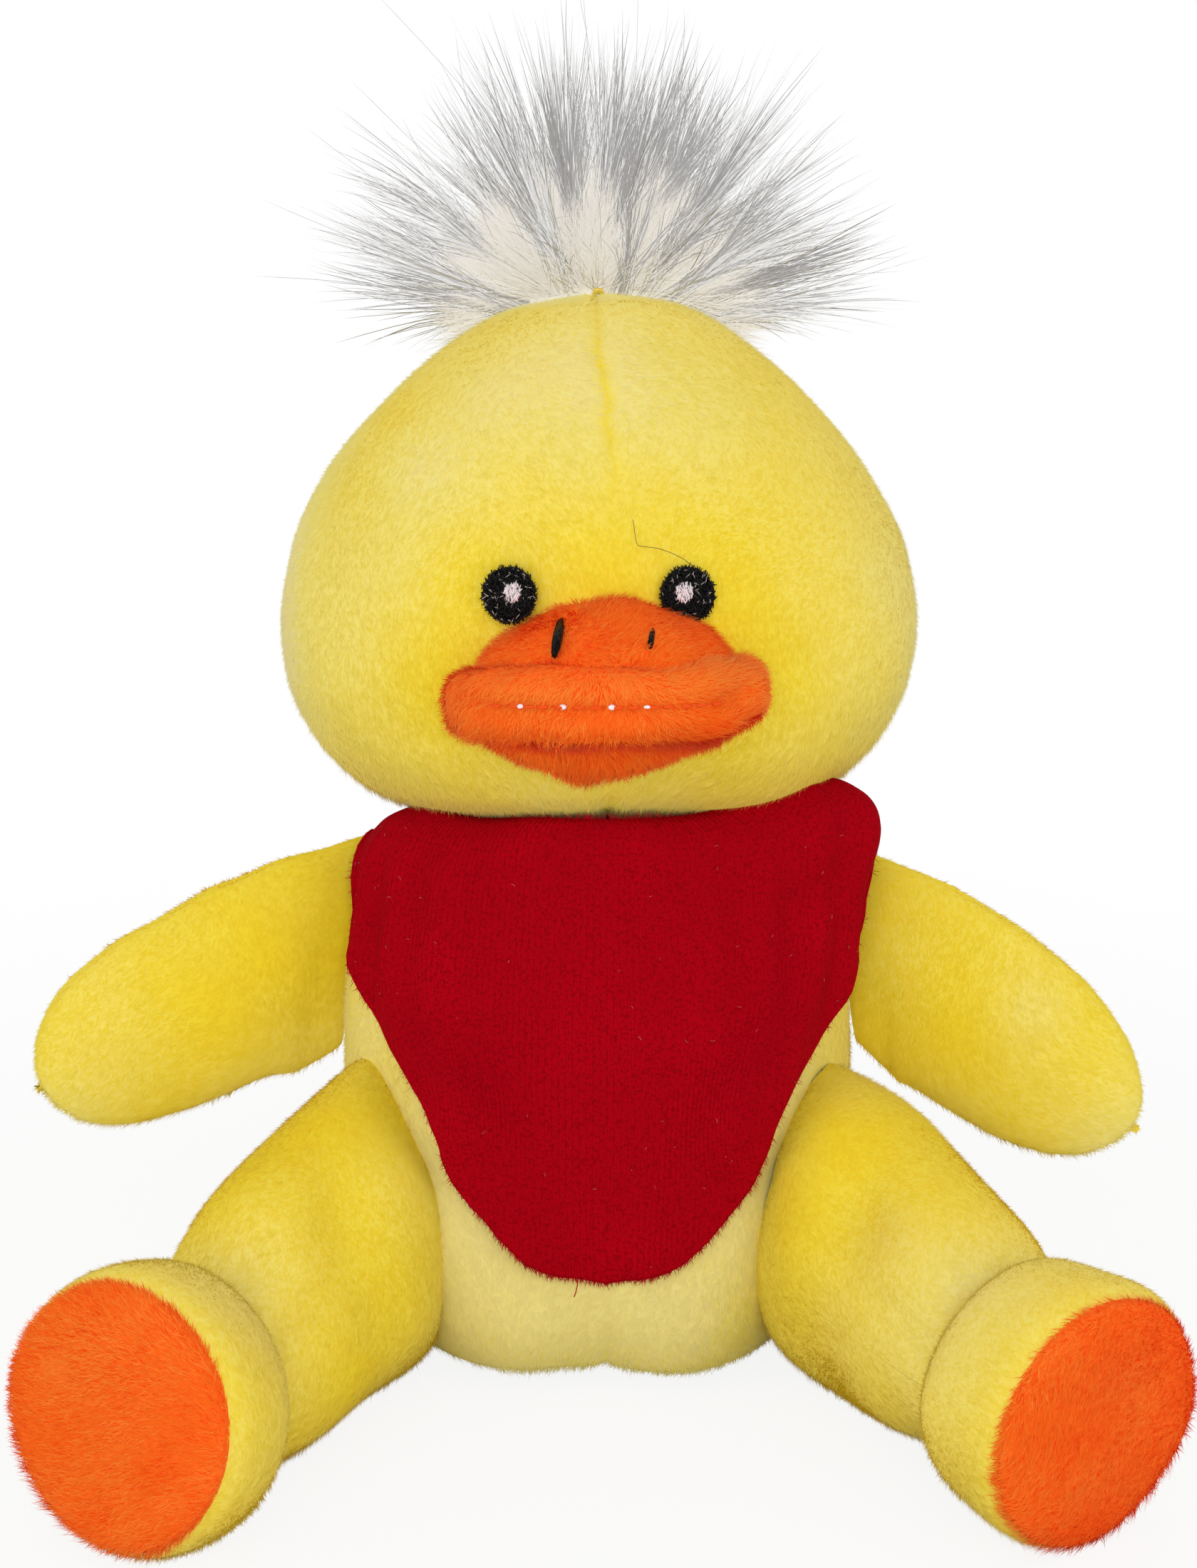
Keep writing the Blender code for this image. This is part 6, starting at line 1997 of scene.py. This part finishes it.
def stitches(name, surface, places, lean, kind, chance):
    """Short satin threads that lie over each other on a pad."""
    spread, length, radius, low, high = kind
    x, z, out = places
    count = len(x)
    turn = lean + spread * chance.normal(size=count)
    half = length * chance.uniform(0.6, 1.2, count) / 2.0
    along = np.linspace(-1.0, 1.0, 5)
    px = x[:, None] + np.sin(turn)[:, None] * half[:, None] * along
    pz = z[:, None] + np.cos(turn)[:, None] * half[:, None] * along
    height = low + (high - low) * (1.0 - out**4) * chance.uniform(0.55, 1.0, count)
    off = height[:, None] * (1.0 - 0.45 * along**2)
    paths = HEAD_SEAT(surface(px, pz, off))
    radii = radius * chance.uniform(0.8, 1.15, (count, 1)) * (1.0 - 0.55 * np.abs(along) ** 3)
    return tubes(name, paths, radii)


def pad_mesh(name, surface, half_width, half_height, lean, height):
    """The padded ground under the stitches."""
    row, column = grid(1.0 - (1.0 - np.linspace(0.0, 1.0, 14)) ** 1.6, np.linspace(0.0, 1.0, 49))
    turn, size = 2.0 * math.pi * column, 1.0 - row
    px, pz = leaning(half_width * size * np.cos(turn), half_height * size * np.sin(turn), lean)
    off = height * (1.0 - size**3) + 0.0001
    points = HEAD_SEAT(surface(px, pz, off))
    return panel_mesh(name, points, np.ones(points.shape[:2]))


def build_eyes(sizes, colours):
    black = black_thread(colours)
    # The glinting threads are painted highlights on the black satin
    glint = stranded("glinting_thread", colours.glint, 0.3, 0.5, 0.0, specular=0.5, scale=2500.0)
    white = stranded("white_thread", colours.highlight, 0.35, 0.6, 0.1, specular=0.4, scale=2500.0)
    for side, sign in SIDES.items():
        chance = np.random.default_rng(4001 + int(sign))
        middle = sign * EYE_SPREAD / 2.0
        surface = lambda x, z, off, middle=middle: face_at(middle + x, EYE_LEVEL + z, off)
        lean = EYE_LEANS[side]
        mesh = pad_mesh(f"eye_{side}", surface, EYE_WIDTH / 2.0 * 0.93, EYE_HEIGHT / 2.0 * 0.93, lean,
                        EYE_RISE * 0.8)
        stitched(f"eye_{side}", mesh, black, replaces=(f"eye_{side}",))
        places = oval_places(620, EYE_WIDTH / 2.0, EYE_HEIGHT / 2.0, lean, chance, 0.94)
        mesh = stitches(f"eye_{side}_stitches", surface, places, EYE_STITCH_TURN * sign, EYE_STITCHES, chance)
        stitched(f"eye_{side}_stitches", mesh, black)
        places = oval_places(60, EYE_WIDTH / 2.0, EYE_HEIGHT / 2.0, lean, chance, 0.9)
        mesh = stitches(f"eye_{side}_glints", surface, places, EYE_STITCH_TURN * sign, EYE_GLINTS, chance)
        stitched(f"eye_{side}_glints", mesh, glint)
        turn = chance.uniform(0.0, 2.0 * math.pi, EYE_RIM_COUNT)
        rim = leaning(EYE_WIDTH / 2.0 * np.cos(turn) * EYE_RIM_SHARE,
                      EYE_HEIGHT / 2.0 * np.sin(turn) * EYE_RIM_SHARE, lean)
        mesh = stitches(f"eye_{side}_rim", surface, (*rim, np.full(EYE_RIM_COUNT, 0.8)), 0.0,
                        EYE_RIM_STITCHES, chance)
        stitched(f"eye_{side}_rim", mesh, black)

        raised = lambda x, z, off, s=surface, a=SHINE_ASIDE[side]: s(x + a, z + SHINE_RISE, off)
        mesh = pad_mesh(f"eye_highlight_{side}", raised, SHINE_WIDTH / 2.0 * 0.9, SHINE_HEIGHT / 2.0 * 0.9,
                        0.0, 0.0005 + EYE_RISE)
        piece(f"eye_highlight_{side}", mesh, white, "head", (f"eye_highlight_{side}",))
        places = oval_places(90, SHINE_WIDTH / 2.0, SHINE_HEIGHT / 2.0, 0.0, chance)
        mesh = stitches(f"eye_highlight_{side}_stitches", raised, places, 0.1, SHINE_STITCHES, chance)
        piece(f"eye_highlight_{side}_stitches", mesh, white, "head")


def build_nostrils(sizes, colours):
    """Two slits stitched through the upper beak."""
    black = black_thread(colours)
    for side, sign in SIDES.items():
        chance = np.random.default_rng(4101 + int(sign))
        middle = sign * NOSTRIL_SPREAD / 2.0 + NOSTRIL_ASIDE
        level = BEAK_MOUTH_LEVEL + 1.5 * SEAM_GAP

        def surface(x, z, off, middle=middle):
            across, rise = middle + x, NOSTRIL_RISE + z
            return np.stack([across, dome_front(across, rise) - off, level + rise], -1)

        half_width, half_height = NOSTRIL_WIDTHS[side] / 2.0, NOSTRIL_HEIGHTS[side] / 2.0
        mesh = pad_mesh(f"nostril_{side}", surface, half_width * NOSTRIL_PAD_SHARE, half_height,
                        NOSTRIL_LEAN, NOSTRIL_PAD_RISE)
        stitched(f"nostril_{side}", mesh, black, replaces=(f"nostril_{side}",))
        places = oval_places(60, half_width * 0.55, half_height * 0.6, NOSTRIL_LEAN, chance)
        kind = (0.12, half_height * 0.9, 0.00014, 0.0018, 0.0028)
        mesh = stitches(f"nostril_{side}_stitches", surface, places, NOSTRIL_LEAN, kind, chance)
        stitched(f"nostril_{side}_stitches", mesh, black)


def build_lip_stitching(sizes, colours):
    """The sewn line along the lip: dashes sunk in the groove, and small loose dots of pale thread."""
    deep = stranded("deep_orange_thread", colours.deep_orange, 0.5, 0.8, 0.0)
    pale = stranded("pale_thread", colours.highlight, 0.35, 0.6, 0.1)
    chance = np.random.default_rng(4201)
    starts = LIP_STITCH_FROM + LIP_STITCH_STEP * np.arange(LIP_STITCH_COUNT)
    starts = starts + chance.uniform(-0.004, 0.004, LIP_STITCH_COUNT)
    row = starts[:, None] + LIP_STITCH_LENGTH * np.linspace(0.0, 1.0, 7)
    arch = np.sin(np.linspace(0.0, math.pi, 7)) + np.zeros_like(row)
    paths = lip_at(row, np.zeros_like(row), 0.0012) + np.array((0.0, -0.0004, 0.0)) * arch[..., None]
    mesh = tubes("lip_stitches", paths, np.full(row.shape, 0.00024))
    stitched("lip_stitches", mesh, deep)
    row = np.array(LIP_DOT_PLACES)[:, None] + 0.0065 * np.linspace(-1.0, 1.0, 5)
    paths = lip_at(row, np.zeros_like(row), 0.0013)
    radii = np.array(LIP_DOT_RADII)[:, None] * np.array((0.4, 0.9, 1.0, 0.9, 0.4))
    stitched("lip_thread_dots", tubes("lip_thread_dots", paths, radii, 7), pale)


# Loose fibres on the bandana and forehead


def build_lint(sizes, colours):
    """The bandana's frayed edges, lint and loose thread, and the fibre on the forehead."""
    chance = np.random.default_rng(5001)
    red = stranded("red_fibre", colours.red, 0.7, 0.95, 0.1, (1.0, 0.6, 0.6))
    lint = stranded("pale_lint", LINT_COLOUR, 0.7, 0.95)
    fray_edges(red, chance)
    drop_flecks(lint, chance)
    hang_thread(red)
    lay_forehead_fibre()


def fray_edges(finish, chance):
    """Short fuzz along the bandana's upper and lower edge."""
    columns = chance.random(FUZZ_COUNT)
    down = np.where(chance.random(FUZZ_COUNT) < 0.6, 1.0, 0.0)
    points, facing, outward = bandana_places(down, columns)
    length = chance.uniform(0.0005, 0.0016, FUZZ_COUNT)[:, None]
    ways = unit(outward * np.where(down > 0.5, 1.0, -1.0)[:, None] + 0.5 * facing
                + 0.55 * chance.normal(size=points.shape))
    start = points - facing * chance.uniform(0.0, BANDANA_THICKNESS, (FUZZ_COUNT, 1))
    paths = start[:, None] + ways[:, None] * (length * np.array((0.0, 0.5, 1.0)))[..., None]
    across = unit(np.cross(ways, facing + 0.3 * chance.normal(size=ways.shape)))[:, None]
    widths = np.array((0.00012, 0.0001, 0.0))[None] * np.ones((FUZZ_COUNT, 1))
    mesh = ribbons("bandana_edge_fuzz", paths, widths, across, facing)
    piece("bandana_edge_fuzz", mesh, finish, "torso")


def drop_flecks(finish, chance):
    """Specks of pale lint on the bandana's front."""
    down, columns = chance.random(FLECK_COUNT) ** 0.8, chance.uniform(0.24, 0.76, FLECK_COUNT)
    points, facing, _ = bandana_places(down, columns)
    ways = random_across(facing, chance)
    along = np.linspace(-1.0, 1.0, 5)
    length = chance.uniform(0.0001, 0.0004, FLECK_COUNT)[:, None]
    bend = np.cross(facing, ways)
    paths = (points[:, None] + facing[:, None] * 0.00025 + ways[:, None] * (length * along)[..., None]
             + bend[:, None] * (length * 0.4 * along**2)[..., None])
    radii = np.full((FLECK_COUNT, 5), 0.000035) * chance.uniform(0.7, 1.3, (FLECK_COUNT, 1))
    piece("bandana_lint", tubes("bandana_lint", paths, radii, 3), finish, "torso")


def hang_thread(finish):
    """A loose thread at the bandana's point."""
    thread = np.linspace(0.0, 1.0, 9)
    point, _, _ = bandana_places(np.ones(1), np.array((LOOSE_THREAD_PLACE,)))
    path = point + np.stack([-0.0004 - 0.0006 * thread**2, -0.0004 * thread, -0.0030 * thread], -1)
    mesh = tubes("bandana_loose_thread", path[None], np.full((1, len(thread)), 0.0001))
    piece("bandana_loose_thread", mesh, finish, "torso")


def lay_forehead_fibre():
    """A dark fibre that lies on the forehead."""
    curl = np.linspace(0.0, 1.0, FIBRE_POINTS)
    x, level = MM * shares(FIBRE_BENDS, curl), EYE_LEVEL + MM * shares(FIBRE_BENDS, curl, 2)
    path = HEAD_SEAT(face_at(x, level, 0.0019 + 0.0002 * np.sin(curl * 20.0)))
    dark = stranded("dark_fibre", FIBRE_COLOUR, 0.5, 0.8)
    mesh = tubes("forehead_fibre", path[None], np.full((1, FIBRE_POINTS), 0.00005), 4)
    piece("forehead_fibre", mesh, dark, "head")


def bandana_places(down, side):
    """Places on the bandana's outer side, the way that each faces and the way down the cloth there."""
    step = 0.002
    here, right, below = (
        bandana_points(np.clip(down + more, 0.0, 1.0), np.clip(side + beside, 0.0, 1.0))
        for more, beside in ((0.0, 0.0), (0.0, step), (-step, 0.0))
    )
    lower = unit(here - below)
    lower = np.where(down[:, None] < step, unit(bandana_points(down + step, side) - here), lower)
    facing = unit(np.cross(lower, right - here))
    outside = here - np.array((0.0, 0.01, 0.05))
    outside[:, 2] = 0.0
    facing = np.where(((facing * outside).sum(axis=1) < 0.0)[:, None], -facing, facing)
    return here, facing, lower


def finish_fillings(colours):
    """The fibre and pellets inside, which keep their construction solids."""
    fibre = napped("fibre_filling", colours.fibre, (0.9, 0.9, 0.89), (0.6, 0.6, 0.58), 90.0, 700.0)
    pellets = napped("pellet_filling", colours.pellet, (0.85, 0.85, 0.87), (0.4, 0.4, 0.42), 200.0, 500.0)
    for name, node in frame["nodes"].items():
        if name.endswith(("_stuffing", "_filling", "_pouch")):
            chosen = pellets if name.endswith(("_filling", "_pouch")) else fibre
            for place in node.material_slots:
                place.material = chosen


# Stage


def build_stage():
    scene = bpy.context.scene
    scene.view_settings.view_transform = "Standard"
    place_camera(scene)
    lay_floor(scene)
    hang_lamps(scene)
    light_world(scene)


def place_camera(scene):
    """The camera that looks at the duck as the photo does."""
    lens = bpy.data.cameras.new("photo_camera")
    lens.sensor_width = 36.0
    lens.lens = lens.sensor_width * CAMERA_DISTANCE / (PHOTO_HEIGHT * METRES_A_PIXEL)
    camera = bpy.data.objects.new("photo_camera", lens)
    looking = Vector((0.0, math.cos(CAMERA_RISE), -math.sin(CAMERA_RISE)))
    camera.location = CAMERA_TARGET - looking * CAMERA_DISTANCE
    camera.rotation_euler = looking.to_track_quat("-Z", "Y").to_euler()
    lens.clip_start = 0.01
    scene.collection.objects.link(camera)
    scene.camera = camera


def lay_floor(scene):
    corners = np.array(((-1, -1, 0), (1, -1, 0), (1, 1, 0), (-1, 1, 0)))
    floor_mesh = mesh_of("floor", corners * FLOOR_SIZE / 2.0, np.array(((0, 1, 2, 3),)))
    floor = bpy.data.objects.new("floor", floor_mesh)
    scene.collection.objects.link(floor)
    floor_mesh.materials.append(floor_finish())


def hang_lamps(scene):
    """Square lamps that face the duck."""
    for name, place, size, power in LAMPS:
        lamp = bpy.data.lights.new(name, "AREA")
        lamp.shape = "SQUARE"
        lamp.size = size
        lamp.energy = power
        made = bpy.data.objects.new(name, lamp)
        made.location = place
        made.rotation_euler = (CAMERA_TARGET - Vector(place)).to_track_quat("-Z", "Y").to_euler()
        scene.collection.objects.link(made)


def light_world(scene):
    """White surroundings, which light the duck less than they show."""
    world = bpy.data.worlds.new("studio")
    scene.world = world
    world.use_nodes = True
    tree = world.node_tree
    light = tree.nodes["Background"]
    light.inputs["Color"].default_value = (1.0, 1.0, 1.0, 1.0)
    path = tree.nodes.new("ShaderNodeLightPath")
    seen = path.outputs["Is Camera Ray"]
    for label in ("Is Glossy Ray", "Is Transmission Ray"):
        seen = add_math(tree, "MAXIMUM", seen, path.outputs[label])
    level = add_range(tree, seen, {"To Min": SHADE_LIGHT, "To Max": 1.0})
    tree.links.new(level.outputs["Result"], light.inputs["Strength"])


def floor_finish():
    """A pale floor that reads white but keeps a soft shadow."""
    made = bpy.data.materials.new("pale_floor")
    made.use_nodes = True
    tree = made.node_tree
    shader = tree.nodes["Principled BSDF"]
    shader.inputs["Base Color"].default_value = (0.86, 0.86, 0.86, 1.0)
    shader.inputs["Roughness"].default_value = 0.95
    shader.inputs["Specular IOR Level"].default_value = 0.0
    glow = tree.nodes.new("ShaderNodeEmission")
    path = tree.nodes.new("ShaderNodeLightPath")
    where = tree.nodes.new("ShaderNodeNewGeometry")
    distance = tree.nodes.new("ShaderNodeVectorMath")
    distance.operation = "LENGTH"
    tree.links.new(where.outputs["Position"], distance.inputs[0])
    fade = add_range(tree, distance.outputs["Value"],
                     {"From Min": 0.10, "From Max": 0.32, "To Min": 0.88, "To Max": 1.0})
    fade.interpolation_type = "SMOOTHSTEP"
    share = add_math(tree, "MULTIPLY", path.outputs["Is Camera Ray"], fade.outputs["Result"])
    mix = tree.nodes.new("ShaderNodeMixShader")
    tree.links.new(share, mix.inputs["Fac"])
    tree.links.new(shader.outputs["BSDF"], mix.inputs[1])
    tree.links.new(glow.outputs["Emission"], mix.inputs[2])
    tree.links.new(mix.outputs["Shader"], tree.nodes["Material Output"].inputs["Surface"])
    return made


# Operators


def operator(label, idname, text, work):
    """An operator that makes one piece, or one group of like pieces."""

    def execute(self, context):
        work(context.scene.duck_sizes, context.scene.duck_colours)
        return {"FINISHED"}

    name = "DUCK_OT_" + idname
    return type(name, (bpy.types.Operator,), {
        "bl_idname": "duck." + idname, "bl_label": label, "__doc__": text, "execute": execute,
    })


OPERATORS = (
    operator("Stage", "stage", "Sets the camera, floor and studio light", lambda s, c: build_stage()),
    operator("Torso", "torso", "Sews the torso's front and two back panels", build_torso),
    operator("Tail", "tail", "Makes the padded tail", build_tail),
    operator("Head", "head", "Sews the head's three panels", build_head),
    operator("Beak", "beak", "Pads the upper beak, the lip and the lower beak", build_beak),
    operator("Arms", "arms", "Sews the two arms", build_arms),
    operator("Legs", "legs", "Sews the two leg tubes", build_legs),
    operator("Feet", "feet", "Sews the foot bands and soles", build_feet),
    operator("Bandana", "bandana", "Drapes the bandana round the neck", build_bandana),
    operator("Knot", "knot", "Ties the bandana's knot at the nape", build_knot),
    operator("Eyes", "eyes", "Embroiders the eyes and their highlights", build_eyes),
    operator("Nostrils", "nostrils", "Stitches the two nostrils", build_nostrils),
    operator("Lip stitching", "lip_stitching", "Sews the line along the lip", build_lip_stitching),
    operator("Hair tuft", "tuft", "Grows the long pile of the tuft", build_tuft),
    operator("Yellow pile", "yellow_pile", "Stands the short pile on the yellow plush", build_yellow_pile),
    operator("Orange pile", "orange_pile", "Stands the shaggy pile on beak and soles", build_orange_pile),
    operator("Lint", "lint", "Frays the bandana and adds the lint on it", build_lint),
    operator("Fillings", "fillings", "Finishes the fibre and pellets inside",
             lambda s, c: finish_fillings(c)),
)


class DUCK_PT_panel(bpy.types.Panel):
    """The duck's pieces, sizes and colours."""

    bl_idname = "DUCK_PT_panel"
    bl_label = "Plush duck"
    bl_space_type = "VIEW_3D"
    bl_region_type = "UI"
    bl_category = "Duck"

    def draw(self, context):
        for made in OPERATORS:
            self.layout.operator(made.bl_idname)
        for settings in (context.scene.duck_sizes, context.scene.duck_colours):
            box = self.layout.box()
            for name in settings.__annotations__:
                box.prop(settings, name)


CLASSES = (DuckSizes, DuckColours, *OPERATORS, DUCK_PT_panel)


def register():
    for made in CLASSES:
        bpy.utils.register_class(made)
    bpy.types.Scene.duck_sizes = bpy.props.PointerProperty(type=DuckSizes)
    bpy.types.Scene.duck_colours = bpy.props.PointerProperty(type=DuckColours)


def unregister():
    del bpy.types.Scene.duck_sizes
    del bpy.types.Scene.duck_colours
    for made in reversed(CLASSES):
        bpy.utils.unregister_class(made)


def main():
    register()
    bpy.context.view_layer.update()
    for made in OPERATORS:
        group_name, call = made.bl_idname.split(".")
        getattr(getattr(bpy.ops, group_name), call)()


if __name__ == "__main__":
    main()
